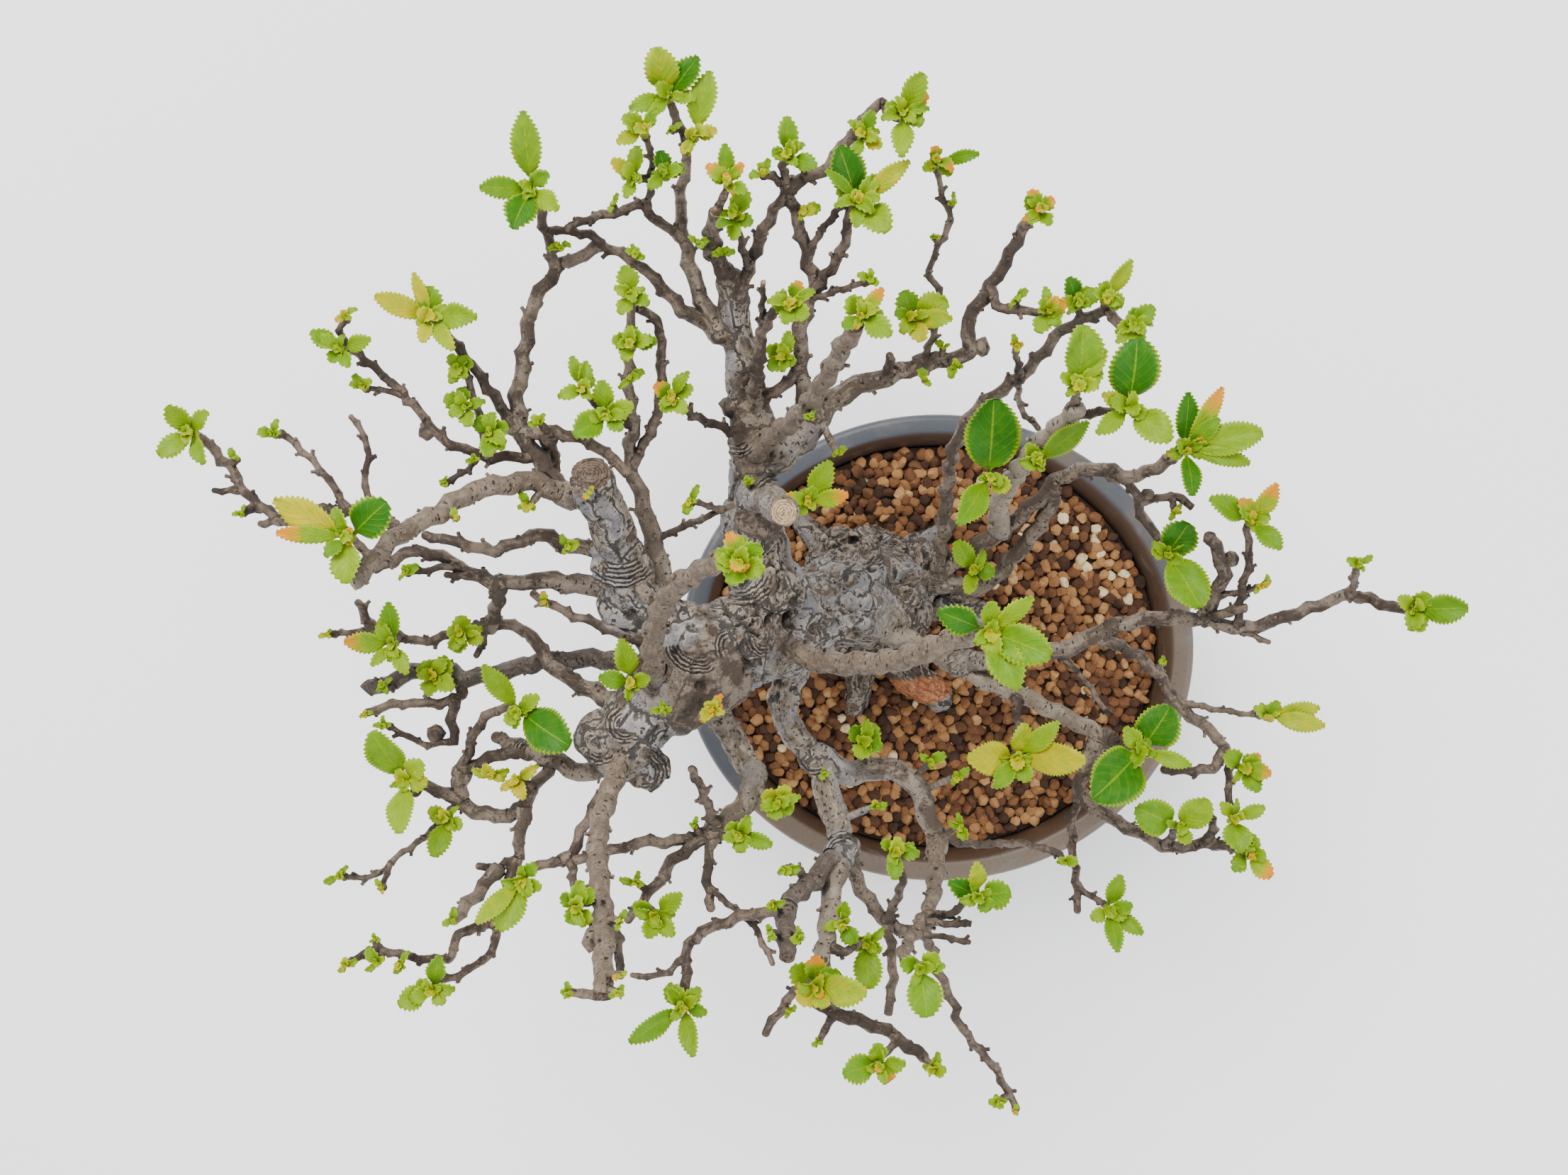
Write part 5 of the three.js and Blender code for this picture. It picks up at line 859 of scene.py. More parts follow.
def bare_spurs(limb):
    """Short blunt spurs at some of the bud scars of a thin limb."""
    draw = random.Random(1000 + limb.number)
    frames = line_frames(limb.points)
    spurs = []
    for length, side, _, _ in limb.scars:
        index = nearest_index(limb.reach, length)
        radius = limb.radii[index]
        if draw.random() > SPUR_SHARE or radius > SPUR_LIMB_RADIUS:
            continue
        ahead, across, up = frames[index]
        out = across * math.cos(side) + up * math.sin(side)
        root = limb.points[index] + out * radius * 0.4
        tip = root + (out * 0.85 + ahead * 0.5).normalized() * (0.7 * radius + draw.uniform(0.5, 2.0))
        spurs.append(spur_tube(root, tip, draw.uniform(0.7, 1.0), draw.uniform(0.45, 0.7), 6, 4))
    return spurs


# Seats of the leaf heads and buds


# A head may stand on a limb this much further away than the nearest one: 9 pixels of the traced view,
# at 4.2 pixels to the mm.
SEAT_SEARCH = 9 / 4.2
SPUR_RADIUS = 1.2
CORE_RADIUS = 1.5


def seat_on(limb, across, down):
    """Where a limb passes nearest under a traced place, and how high its bark reaches there."""
    distance, index, share, point = nearest_on_line(limb.points, across, down)
    ahead = (limb.points[index + 1] - limb.points[index]).normalized()
    level = max(math.hypot(ahead.x, ahead.y), 0.4)
    thick = mix(limb.radii[index], limb.radii[index + 1], share)
    reach = distance * (VIEW_HEIGHT - point.z) / VIEW_FOCAL
    at_tip = index == len(limb.points) - 2 and share == 1
    radius = thick * level if at_tip else thick / level
    return {"point": point, "reach": reach, "radius": radius, "top": point.z + radius,
            "gap": max(reach - thick, 0), "limb": limb}


def seat(limbs, across, down, node=None):
    """The foot of a leaf head and the wood under it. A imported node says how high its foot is."""
    near = [seat_on(limb, across, down) for limb in limbs.values()]
    closest = min(hit["gap"] for hit in near)
    best = max((hit for hit in near if hit["gap"] <= closest + SEAT_SEARCH), key=lambda hit: hit["top"])
    if node is None:
        overhang = min(best["reach"] / best["radius"], 1)
        rise = best["radius"] * math.sqrt(1 - overhang * overhang) + 0.6 + (0.8 + 0.4 * best["reach"])
        foot = place(across, down, best["point"].z + rise)
    else:
        foot = place(across, down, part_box(node)[0].z * 1000)
    return foot, best["point"], best["limb"]


# Leaves


# Distance between teeth, how far a tooth leans towards the tip, in rows, and how much a leaf ripples.
TEETH_PITCH = 1.35
TOOTH_LEAN = 0.55
RIPPLE = 0.13
LEAF_THICKNESS = 0.34
LEAF_CLEARANCE = 0.7
LIFT = 1.5
LIFT_STEPS = 15
BLADE_COLUMNS = (-1, -0.66, -0.33, 0, 0.33, 0.66, 1)


def blade_width(share, stalk, power):
    """Half width of a leaf as a share of its widest: an oval after its stalk."""
    along = clamp((share - stalk) / (1 - stalk))
    return math.sin(math.pi * along ** 0.92) ** power


class Blade:
    """The line and the cross-section of one leaf."""

    def __init__(self, root, tip, side, half, arch, fold):
        self.root = root
        self.tip = tip
        self.side = side
        self.half = half
        self.arch = arch
        self.fold = fold
        self.length = (tip - root).length

    def middle(self, share):
        point = self.root.lerp(self.tip, share)
        point.z += self.arch * 4 * share * (1 - share)
        return point

    def up(self, share):
        ahead = (self.middle(share + 0.02) - self.middle(share - 0.02)).normalized()
        return ahead.cross(self.side).normalized()

    def at(self, share, across):
        return self.middle(share) + self.side * across


def cad_blade(base, leaf, shape, lift):
    """The same leaf line as in the solids."""
    flat = place(leaf[0], leaf[1], base.z)
    reach = math.hypot(flat.x - base.x, flat.y - base.y)
    tip = place(leaf[0], leaf[1], base.z + reach * shape["slope"] + lift)
    out = Vector((tip.x - base.x, tip.y - base.y, 0)).normalized()
    side = Vector((-out.y, out.x, shape["roll"])).normalized()
    half = min(leaf[2] * (VIEW_HEIGHT - tip.z) / VIEW_FOCAL / 2, 0.5 * reach + 1)
    return Blade(base + out * CORE_RADIUS * 0.4, tip, side, half, reach * shape["arch"], shape["fold"])


def blade_clearance(blade, wood):
    """How far a leaf's line stands clear of the wood and of the leaves made before it."""
    clear = math.inf
    for share in (0.35, 0.6, 0.85, 1):
        wide = blade.half * min(1, 3 * (1.02 - share))
        for across in (-0.95 * wide, 0, 0.95 * wide):
            point = blade.at(share, across)
            for _, index, distance in wood["tree"].find_range(point, 9):
                clear = min(clear, distance - wood["radii"][index])
            for other, radius in wood["taken"]:
                if abs(other.x - point.x) < 3 and abs(other.y - point.y) < 3:
                    clear = min(clear, (other - point).length - radius)
    return clear


def settled_blade(base, leaf, shape, wood):
    """A leaf lifted step by step until it is clear of the wood and the other leaves."""
    best = None
    for step in range(LIFT_STEPS):
        blade = cad_blade(base, leaf, shape, LIFT * step)
        clear = blade_clearance(blade, wood)
        if best is None or clear > best[0]:
            best = (clear, blade)
        if clear >= LEAF_CLEARANCE:
            break
    return best[1]


def blade_faces(stations, width):
    """Faces of a leaf's two sides and of the rim between them."""
    size = (stations + 1) * width
    faces = []
    for row in range(stations):
        for column in range(width - 1):
            a = row * width + column
            faces.append((a, a + 1, a + width + 1, a + width))
            faces.append((size + a, size + a + width, size + a + width + 1, size + a + 1))
        for a, b in ((row * width, (row + 1) * width), ((row + 2) * width - 1, (row + 1) * width - 1)):
            faces.append((a, b, size + b, size + a))
    for column in range(width - 1):
        faces.append((column + 1, column, size + column, size + column + 1))
        a = stations * width + column
        faces.append((a, a + 1, size + a + 1, size + a))
    return faces


def add_blade(shape, blade, tone, flush, seed, stalk=0.12, power=0.66):
    """A leaf with cut edges, folded along its rib, as a thin closed form."""
    stations = 2 * max(round(blade.length / TEETH_PITCH), 3)
    columns = BLADE_COLUMNS if blade.half > 1.6 else (-1, -0.5, 0, 0.5, 1)
    tooth_depth = clamp(0.2 * blade.half, 0.28, 0.75)
    points = []
    marks = []
    for face in (1, -1):
        for row in range(stations + 1):
            share = row / stations
            up = blade.up(share)
            wide = blade.half * blade_width(share, stalk, power)
            for column in columns:
                far = abs(column)
                tooth = far == 1 and row % 2 == 1
                middle = blade.middle(min(share + (TOOTH_LEAN / stations if tooth else 0), 1.0))
                out = max(wide + (tooth_depth if tooth else 0), 0.4 - 0.3 * share)
                ripple = RIPPLE * blade.half * math.sin(9 * share + 3 * column + seed)
                rise = blade.fold * far * wide + ripple * far
                thick = LEAF_THICKNESS * (0.5 - 0.28 * far)
                points.append(middle + blade.side * (column * out) + up * (rise + face * thick))
                marks.append((share, column, seed))
    faces = blade_faces(stations, len(columns))
    shape.add(points, faces, blade=marks, tone=tone, flush=flush, scale=0.0)


def add_core(shape, foot, height, radius, tone):
    """The short scaly stalk that a head's leaves stand on."""
    points, faces = spur_tube(foot, foot + Vector((0, 0, height)), radius, radius * 0.7, 8, 5)
    shape.add(points, faces, blade=[(0.0, 0.0, 0.0)] * len(points), tone=tone, flush=0.0, scale=0.35)


def add_inner_leaves(shape, foot, count, reach, tone, flush, seed):
    """Leaves still unfolding in the middle of a head, folded and leaning over each other."""
    for i in range(count):
        inner = i / max(count - 1, 1)
        turn = 2.4 * i + 2.2 * spread(seed, i)
        slope = mix(0.3, 1.9, inner) * mix(0.6, 1.4, spread(seed + i, 3))
        length = reach * mix(1.1, 0.8, inner) * mix(0.6, 1.3, spread(seed + i, 7))
        out = Vector((math.cos(turn), math.sin(turn), 0))
        lean = (out + Vector((0, 0, slope))).normalized()
        root = foot + out * mix(0.3, -0.28 * length, inner ** 2)
        side = Vector((-out.y, out.x, 1.1 * (spread(seed, i + 41) - 0.5))).normalized()
        half = length * mix(0.2, 0.36, spread(seed + i, 11))
        fold = mix(0.3, 1.0, spread(seed, i + 51))
        blade = Blade(root, root + lean * length, side, half, 0.24 * length, fold)
        own = clamp(tone + mix(0.0, 0.35, inner) * mix(0.4, 1.3, spread(seed, i + 61)))
        warm = flush * clamp(2.2 * spread(seed, i + 71) - 0.9)
        add_blade(shape, blade, own, warm, seed + 3 * i, 0.05, 1.0)


# Shader expressions


class Wire:
    """A shader socket that takes part in Python expressions: each operator adds its node."""

    def __init__(self, tree, socket=None):
        self.tree = tree
        self.socket = socket

    def node(self, kind, settings=(), sockets=(), output=0):
        """Adds a node with its settings, then the values or links of its sockets."""
        made = self.tree.nodes.new(kind)
        for name, value in dict(settings).items():
            if name == "stops":
                set_stops(made.color_ramp, value)
            else:
                setattr(made, name, value)
        for name, value in dict(sockets).items():
            if isinstance(value, Wire):
                self.tree.links.new(value.socket, made.inputs[name])
            else:
                made.inputs[name].default_value = value
        return Wire(self.tree, made.outputs[output])

    def math(self, operation, *values):
        return self.node("ShaderNodeMath", {"operation": operation}, dict(enumerate(values)))

    def __add__(self, other):
        return self.math("ADD", self, other)

    def __radd__(self, other):
        return self.math("ADD", other, self)

    def __sub__(self, other):
        return self.math("SUBTRACT", self, other)

    def __rsub__(self, other):
        return self.math("SUBTRACT", other, self)

    def __mul__(self, other):
        return self.math("MULTIPLY", self, other)

    def __rmul__(self, other):
        return self.math("MULTIPLY", other, self)

    def __truediv__(self, other):
        return self.math("DIVIDE", self, other)

    def __pow__(self, other):
        return self.math("POWER", self, other)

    def __abs__(self):
        return self.math("ABSOLUTE", self)

    def sine(self):
        return self.math("SINE", self)

    def rise(self, low, high):
        """0 below low and 1 above high, with a smooth step between. High may be the lower one."""
        return self.node("ShaderNodeMapRange", {"interpolation_type": "SMOOTHSTEP"},
                         {"Value": self, "From Min": low, "From Max": high})

    def largest(self, other):
        return self.math("MAXIMUM", self, other)

    def blend(self, first, second):
        """Two colours mixed by this mask."""
        return self.node("ShaderNodeMix", {"data_type": "RGBA"}, {0: self, 6: first, 7: second}, 2)

    def ramp(self, stops):
        return self.node("ShaderNodeValToRGB", {"stops": stops}, {0: self})

    def stretched(self, scale):
        """A vector scaled part by part."""
        return self.node("ShaderNodeVectorMath", {"operation": "MULTIPLY"}, {0: self, 1: scale})

    def moved(self, offset):
        return self.node("ShaderNodeVectorMath", {"operation": "ADD"}, {0: self, 1: offset})

    def parts(self):
        return [self.node("ShaderNodeSeparateXYZ", (), {0: self}, i) for i in range(3)]

    def noise(self, scale, detail=2, distortion=0.0, output=0):
        sockets = {"Vector": self, "Scale": scale, "Detail": detail, "Distortion": distortion}
        return self.node("ShaderNodeTexNoise", (), sockets, output)

    def cells(self, scale, output=0, feature="F1"):
        sockets = {"Vector": self, "Scale": scale}
        return self.node("ShaderNodeTexVoronoi", {"feature": feature}, sockets, output)


def set_stops(ramp, stops):
    ramp.elements.remove(ramp.elements[1])
    ramp.elements[0].position = stops[0][0]
    ramp.elements[0].color = stops[0][1]
    for position, colour in stops[1:]:
        ramp.elements.new(position).color = colour


def paint(code):
    """A colour written as sRGB hex, in linear light."""
    parts = [int(code[i:i + 2], 16) / 255 for i in (1, 3, 5)]
    return (*[value / 12.92 if value < 0.04045 else ((value + 0.055) / 1.055) ** 2.4 for value in parts], 1)


class Finish:
    """A new material: its expressions start from attribute() and place()."""

    def __init__(self, name):
        self.material = bpy.data.materials.new(name)
        self.material.use_nodes = True
        self.tree = self.material.node_tree
        self.shader = self.tree.nodes["Principled BSDF"]
        self.start = Wire(self.tree)

    def attribute(self, name, output="Fac"):
        return self.start.node("ShaderNodeAttribute", {"attribute_name": name}, (), output)

    def place(self):
        """The point on the object, in millimetres."""
        point = self.start.node("ShaderNodeTexCoord", (), (), "Object")
        return point.stretched((1000, 1000, 1000))

    def set(self, **sockets):
        for name, value in sockets.items():
            slot = self.shader.inputs[name.replace("_", " ")]
            if isinstance(value, Wire):
                self.tree.links.new(value.socket, slot)
            else:
                slot.default_value = value

    def bump(self, height, distance, strength=1.0):
        sockets = {"Height": height, "Distance": distance, "Strength": strength}
        self.set(Normal=self.start.node("ShaderNodeBump", (), sockets))


# Bark


# How far above or below its ring a wrinkle still shows.
WRINKLE_RISE = 34

# How far off other wood still shuts in the bark for its painted shade, and how far above it the look-out
# starts, in metres.
HOLLOW_REACH = 0.008
HOLLOW_START = 0.0004

# What each vertex of the wood tells the bark's material.
BARK_MARKS = ("age", "tone", "brown", "sawn", "heart", "whorl", "wrinkle", "peeled", "scar", "shut")


def sawn_ends(limbs):
    """Middle, direction, radius and paleness of each sawn end."""
    ends = []
    for name, pale in CUT_ENDS.items():
        limb = limbs[name]
        ahead = (limb.points[-1] - limb.points[-2]).normalized()
        ends.append((limb.points[-1], ahead, limb.radii[-1], pale))
    return ends


def sawn_wood(point, ends):
    """How pale the sawn wood is at a point, or 0 on bark, and the distance from its middle."""
    for middle, ahead, radius, pale in ends:
        out = point - middle
        past = out.dot(ahead)
        rough = 1.8 if radius > 5.5 else 0.35
        flat = (out - ahead * past).length
        if -rough < past < 3 and flat < 0.9 * radius:
            return pale, flat
    return 0.0, 0.0


def wrinkle_rings():
    """The rings of wrinkles with their centres as vectors and their angles in radians."""
    return [(Vector(row[:2]), *row[2:5], math.radians(row[5]), math.radians(row[6])) for row in WRINKLES]


def wrinkled(point, rings):
    """Distance from the middle of the nearest ring of wrinkles, and how strong the wrinkles are."""
    seen = traced(point)
    best = (0.0, 0.0)
    for centre, height, inner, outer, facing, half in rings:
        gap = seen - centre
        if gap.length > outer + 6 or abs(point.z - height) > WRINKLE_RISE:
            continue
        apart = abs((math.atan2(-gap.y, gap.x) - facing + math.pi) % math.tau - math.pi)
        strength = clamp((gap.length - inner) / 4 + 0.5) * clamp((outer - gap.length) / 5 + 0.5)
        strength *= clamp((half - apart) / 0.5 + 0.5)
        strength *= clamp((WRINKLE_RISE - abs(point.z - height)) / 10)
        strength *= clamp(1.1 + 1.6 * noise.noise(point / 5))
        if strength >= best[1]:
            best = (gap.length * (VIEW_HEIGHT - height) / VIEW_FOCAL, strength)
    return best


def pit_depth(point):
    """How deep the hollows of the old wood go in at a point of its upper side."""
    seen = traced(point)
    depth = 0.0
    for across, down, reach, deep in PITS:
        gap = math.hypot(seen.x - across, seen.y - down)
        if gap < 2.5 * reach:
            depth += deep * math.exp(-(gap / reach) ** 4)
    return depth


def hollows(mesh):
    """How far other wood shuts in each vertex, from 0 to 1, for the bark's painted shade."""
    points = [vertex.co.copy() for vertex in mesh.vertices]
    normals = [item.vector.copy() for item in mesh.vertex_normals]
    tree = BVHTree.FromPolygons(points, [tuple(face.vertices) for face in mesh.polygons])
    ways = [Vector((x, y, z)) * 0.5 for x in (-1, 1) for y in (-1, 1) for z in (-1, 1)]
    shut = []
    for point, normal in zip(points, normals):
        total = 0.0
        start = point + normal * HOLLOW_START
        for way in ways:
            distance = tree.ray_cast(start, (normal + way).normalized(), HOLLOW_REACH)[3]
            if distance is not None:
                total += 1 - distance / HOLLOW_REACH
        shut.append(min(total / 3.5, 1.0))
    return shut


def mark_bark(mesh, samples, rings, ends):
    """Values per vertex for the bark: straightened place, age, tone, sawn wood, wrinkles, painted shade where
    other wood shuts it in, and others.
    """
    tree, rows = samples
    knots = [(place(*row[:3]), row[3] / 2) for row in KNOBS if row[3] > GREY_KNOB]
    peel_place = place(*PEELED_PLACE)
    grain = []
    marks = []
    for vertex, shut in zip(mesh.vertices, hollows(mesh)):
        point = vertex.co * 1000 - SHIFT
        found = tree.find_n(point, 6)
        _, index, _ = min(found, key=lambda hit: abs(hit[2] - rows[hit[1]]["radius"]))
        row = rows[index]
        out = point - row["point"]
        along = row["length"] + out.dot(row["ahead"])
        grain.extend((along, out.dot(row["across"]) + row["seed"], out.dot(row["up"])))
        lumps = min((spot - point).length - size for spot, size in knots)
        age = max(clamp((row["radius"] - 1.3) / 5), clamp(1.2 - lumps / 3) * 0.9)
        scar = math.exp(-(min(abs(along - item) for item in row["scars"]) / 0.75) ** 2)
        gap = point - peel_place
        peeled = clamp(1.6 - math.hypot(gap.x, gap.y / 0.42, gap.z / 0.7) * 1.2 / PEELED_REACH)
        marks.append((age, row["tone"], row["brown"] * clamp(lumps / 3), *sawn_wood(point, ends),
                      *wrinkled(point, rings), peeled, scar, shut))
    for name, values in zip(BARK_MARKS, zip(*marks)):
        mesh.attributes.new(name, "FLOAT", "POINT").data.foreach_set("value", values)
    mesh.attributes.new("grain", "FLOAT_VECTOR", "POINT").data.foreach_set("vector", grain)


def near_tree(points):
    """A tree that finds the nearest of some points."""
    tree = KDTree(len(points))
    for i, point in enumerate(points):
        tree.insert(point, i)
    tree.balance()
    return tree


def bark_samples(limbs):
    """Points along all the limbs, to find which limb a point of the bark belongs to."""
    rows = []
    for limb in limbs.values():
        tone, brown, start = limb_tone(limb.name)
        frames = line_frames(limb.points)
        for i, point in enumerate(limb.points):
            ahead, across, up = frames[i]
            scars = [scar[0] for scar in limb.scars if abs(scar[0] - limb.reach[i]) < 6] or [math.inf]
            rows.append({"point": point, "radius": limb.radii[i], "length": limb.reach[i], "ahead": ahead,
                         "across": across, "up": up, "seed": limb.seed, "tone": tone, "scars": scars,
                         "brown": brown * clamp((limb.reach[i] - start) / 4)})
    return near_tree([row["point"] for row in rows]), rows


def limb_tone(name):
    """A limb's tone, how smooth and brown it is, and how far along the brown starts."""
    usual = (0.3 * (spread(len(name), ord(name[-1])) - 0.5), 0, 0)
    return (*LIMB_TONES.get(name, usual), 0)[:3]


def bark_ground(sizes, wide, fine, age, tone, brown):
    """Where the bark is light, and its colour: patchy young and old bark with the limb's own tone."""
    patches = (wide + (fine - 0.5) * 0.5).rise(0.4, 0.62)
    young = patches.blend(sizes.twig_dark, sizes.twig_light)
    old = patches.blend(sizes.bark_dark, sizes.bark_light)
    colour = age.rise(0.0, 0.5).blend(young, old)
    taupe = fine.rise(0.3, 0.7).blend(paint("#5f4f40"), paint("#83725f"))
    colour = (brown * 0.85).blend(colour, taupe)
    colour = (tone * 0.6).rise(0.0, 0.5).blend(colour, paint("#a0937f"))
    return patches, (tone * -0.9).rise(0.0, 1.0).blend(colour, paint("#2c2627"))


def bark_finish(sizes):
    """Bark: its ground, cracked plates with painted highlights on their edges, dark dashes, wrinkles with
    painted shade and highlights, painted shade where other wood shuts it in, sawn ends and the peeled bulge.
    """
    made = Finish("bark")
    grain = made.attribute("grain", "Vector")
    age, tone, brown, sawn, heart, whorl, wrinkle, peeled, scar, shut = map(made.attribute, BARK_MARKS)
    wide = grain.stretched((0.09, 0.17, 0.17)).noise(1.0, 4, 0.6)
    fine = grain.stretched((0.5, 0.9, 0.9)).noise(1.0, 5, 0.3)
    patches, colour = bark_ground(sizes, wide, fine, age, tone, brown)
    # Plates of old bark with cracks between them.
    bend = grain.stretched((0.16, 0.16, 0.16)).noise(1.0, 3, 0.0, 1)
    plates = grain.stretched((0.06, 0.11, 0.11)).moved(bend.stretched((0.7, 0.7, 0.7)))
    edge = plates.cells(1.0, 0, "DISTANCE_TO_EDGE")
    crack = (edge + (fine - 0.5) * 0.12).rise(0.085, 0.035) * age.rise(0.5, 0.85) * wide.rise(0.36, 0.5)
    stain = grain.stretched((0.045, 0.1, 0.1)).noise(1.0, 3, 1.0).rise(0.5, 0.62) * age.rise(0.2, 0.8)
    colour = (stain * 0.6).blend(colour, paint("#3a2f28"))
    lit_edge = edge.rise(0.15, 0.08) * age.rise(0.5, 0.85)
    silver = grain.stretched((0.03, 0.06, 0.06)).noise(1.0, 3, 0.4).rise(0.5, 0.58) * age.rise(0.4, 0.8)
    colour = (silver * 0.45).blend(colour, paint("#8b8c92"))
    # Short dark dashes across the limb, in two sizes.
    dashes = grain.stretched((0.75, 0.3, 0.3)).cells(1.0)
    dash = dashes.rise(0.25, 0.18) * wide.rise(0.38, 0.46) * age.rise(0.05, 0.3)
    flakes = grain.moved(bend.stretched((2.2, 2.2, 2.2))).stretched((0.36, 0.85, 0.85)).cells(1.0)
    dash = dash.largest(flakes.rise(0.27, 0.2) * silver.rise(0.9, 0.2) * age.rise(0.4, 0.7))
    specks = grain.stretched((1.5, 0.8, 0.8)).cells(1.0)
    speck = specks.rise(0.26, 0.18) * fine.rise(0.46, 0.56)
    # Tight wrinkles round the healed lumps: painted shade in their grooves and a painted highlight on their
    # crests.
    turns = whorl * 4.6 + wide * 15.0 + fine * 4.0
    waves = turns.sine() + (fine - 0.5) * 1.6
    groove_shade = waves.rise(0.1, 0.6) * wrinkle.rise(0.2, 0.6)
    lit_edge = (lit_edge * wrinkle.rise(0.4, 0.0)).largest(waves.rise(-0.5, -0.9) * wrinkle)
    dark = dash.largest(speck * 0.85).largest(crack * wrinkle.rise(0.5, 0.1)).largest(groove_shade)
    # Painted shade: the bark darkens where other wood shuts it in.
    dark = dark.largest((shut + (fine - 0.5) * 0.5).rise(0.25, 0.75) * 0.9)
    dark = dark.largest(scar * fine.rise(0.4, 0.6) * age.rise(0.6, 0.1) * 0.75)
    colour = (lit_edge * 0.4).blend(colour, paint("#b9ac9c"))
    # The dark marks, and the painted shade in hollows and wrinkle grooves, in one near-black colour.
    colour = (dark * 0.92).blend(colour, sizes.crevice)
    colour = sawn.rise(0.02, 0.2).blend(colour, sawn_colour(sawn, heart, fine))
    orange = fine.rise(0.3, 0.7).blend(paint("#7a4022"), paint("#b97a4c"))
    colour = peeled.rise(0.35, 0.7).blend(colour, orange)
    made.set(Base_Color=colour, Roughness=0.88 - 0.3 * patches)
    made.bump(fine - dark * 0.8, sizes.bark_relief / 1000, 0.9)
    return made.material


def sawn_colour(sawn, heart, fine):
    """Year rings on the sawn ends, pale on fresh cuts and dark on old ones."""
    years = heart * 7.0 + fine * 3.0
    years = (fine + years.sine() * 0.12).rise(0.3, 0.7)
    pale_wood = years.blend(paint("#7b6248"), paint("#c0a682"))
    dark_wood = years.blend(paint("#2c211b"), paint("#5a4636"))
    return sawn.rise(0.95, 0.35).blend(pale_wood, dark_wood)


def thick_limb(name):
    """Whether a limb is fused with the trunk."""
    return any(name == known or (known.endswith("_") and name.startswith(known)) for known in THICK)


def add_object(name, data):
    made = bpy.data.objects.new(name, data)
    bpy.context.scene.collection.objects.link(made)
    return made


def evaluated_mesh(source, name):
    """The mesh of an object with its modifiers applied, under a new name."""
    bpy.context.view_layer.update()
    graph = bpy.context.evaluated_depsgraph_get()
    made = bpy.data.meshes.new_from_object(source.evaluated_get(graph))
    made.name = name
    return made


def drop(made):
    """Removes an object, and its mesh where nothing else uses it."""
    mesh = made.data
    bpy.data.objects.remove(made)
    if mesh.users == 0:
        bpy.data.meshes.remove(mesh)


def joined(parts):
    """One shape from the points and faces of several."""
    shape = Shape()
    for points, faces in parts:
        shape.add(points, faces)
    return shape


def fused(name, parts):
    """One closed mesh from closed ones that overlap."""
    objects = []
    for i, part in enumerate(parts):
        objects.append(add_object(f"{name}_part_{i}", joined([part]).mesh(f"{name}_part_{i}")))
    others = bpy.data.collections.new(name + "_parts")
    for part in objects[1:]:
        others.objects.link(part)
    join = objects[0].modifiers.new("join", "BOOLEAN")
    join.operation = "UNION"
    join.solver = "MANIFOLD"
    join.operand_type = "COLLECTION"
    join.collection = others
    mesh = evaluated_mesh(objects[0], name)
    for part in objects:
        drop(part)
    bpy.data.collections.remove(others)
    return mesh


def remeshed(name, parts, voxel):
    """One closed mesh round closed ones that overlap, with soft joins."""
    whole = add_object(name + "_raw", joined(parts).mesh(name + "_raw"))
    remesh = whole.modifiers.new("remesh", "REMESH")
    remesh.mode = "VOXEL"
    remesh.voxel_size = voxel / 1000
    smooth = whole.modifiers.new("smooth", "SMOOTH")
    smooth.factor = 0.5
    smooth.iterations = 2
    mesh = evaluated_mesh(whole, name)
    drop(whole)
    return mesh


def rib_tubes(parts):
    """The ribs as tubes that lie on the outside of the trunk, where the traced view shows them."""
    whole = joined(parts)
    surface = BVHTree.FromPolygons(whole.points, whole.faces)
    eye = Vector((0, 0, VIEW_HEIGHT))
    tubes = []
    for number, (diameter, line) in enumerate(RIBS):
        seats = []
        for across, down in read_points(line):
            ray = (place(across, down, 0) - eye).normalized()
            hit, _, _, _ = surface.ray_cast(eye, ray)
            if hit is not None:
                seats.append(hit - ray * 0.2 * diameter)
        if len(seats) > 1:
            diameters = [0.6 * diameter, 1.3 * diameter, 1.3 * diameter, 0.8 * diameter]
            tubes.append(limb_tube(Limb("rib", 300 + number, diameters, seats, 0, "trunk")))
    return tubes


# Without a seed, the vector noise takes one from the time of day.
NOISE_SEED = 1


def roughen_trunk(mesh, rings, samples):
    """Lumps, cracks between plates and wrinkles round the healed lumps."""
    noise.seed_set(NOISE_SEED)
    tree, rows = samples
    places = []
    normals = [item.vector.copy() for item in mesh.vertex_normals]
    for vertex, normal in zip(mesh.vertices, normals):
        own = vertex.co * 1000 - SHIFT
        size = clamp(rows[tree.find(own)[1]]["radius"] / 12, 0.25, 1)
        lump = 1.7 * noise.noise(own / 12) + 0.4 * noise.noise(own / 5)
        bent = own / 9 + 0.35 * noise.noise_vector(own / 7)
        near_two = noise.voronoi(bent)[0]
        crease = -2.4 * clamp(1 - (near_two[1] - near_two[0]) / 0.2) ** 1.5
        crease *= clamp(0.75 + 1.5 * noise.noise(own / 22))
        distance, strength = wrinkled(own, rings)
        ring = strength * (math.sin(2.2 * distance + 4 * noise.noise(own / 5)) - 0.6)
        pit = pit_depth(own) * clamp(3 * normal.z)
        crease *= 1 - strength
        plate = 0.15 * noise.noise(own / 2.2)
        places.extend(vertex.co + normal * ((size * (lump + crease) + 0.7 * ring + plate - pit) / 1000))
    mesh.vertices.foreach_set("co", places)
    mesh.update()


def dress(piece, material, nodes):
    """Gives a piece its material and says what it rides on and the nodes it replaces."""
    piece.data.materials.clear()
    piece.data.materials.append(material)
    piece.data.shade_smooth()
    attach(piece, "root")
    if nodes:
        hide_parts(*nodes)


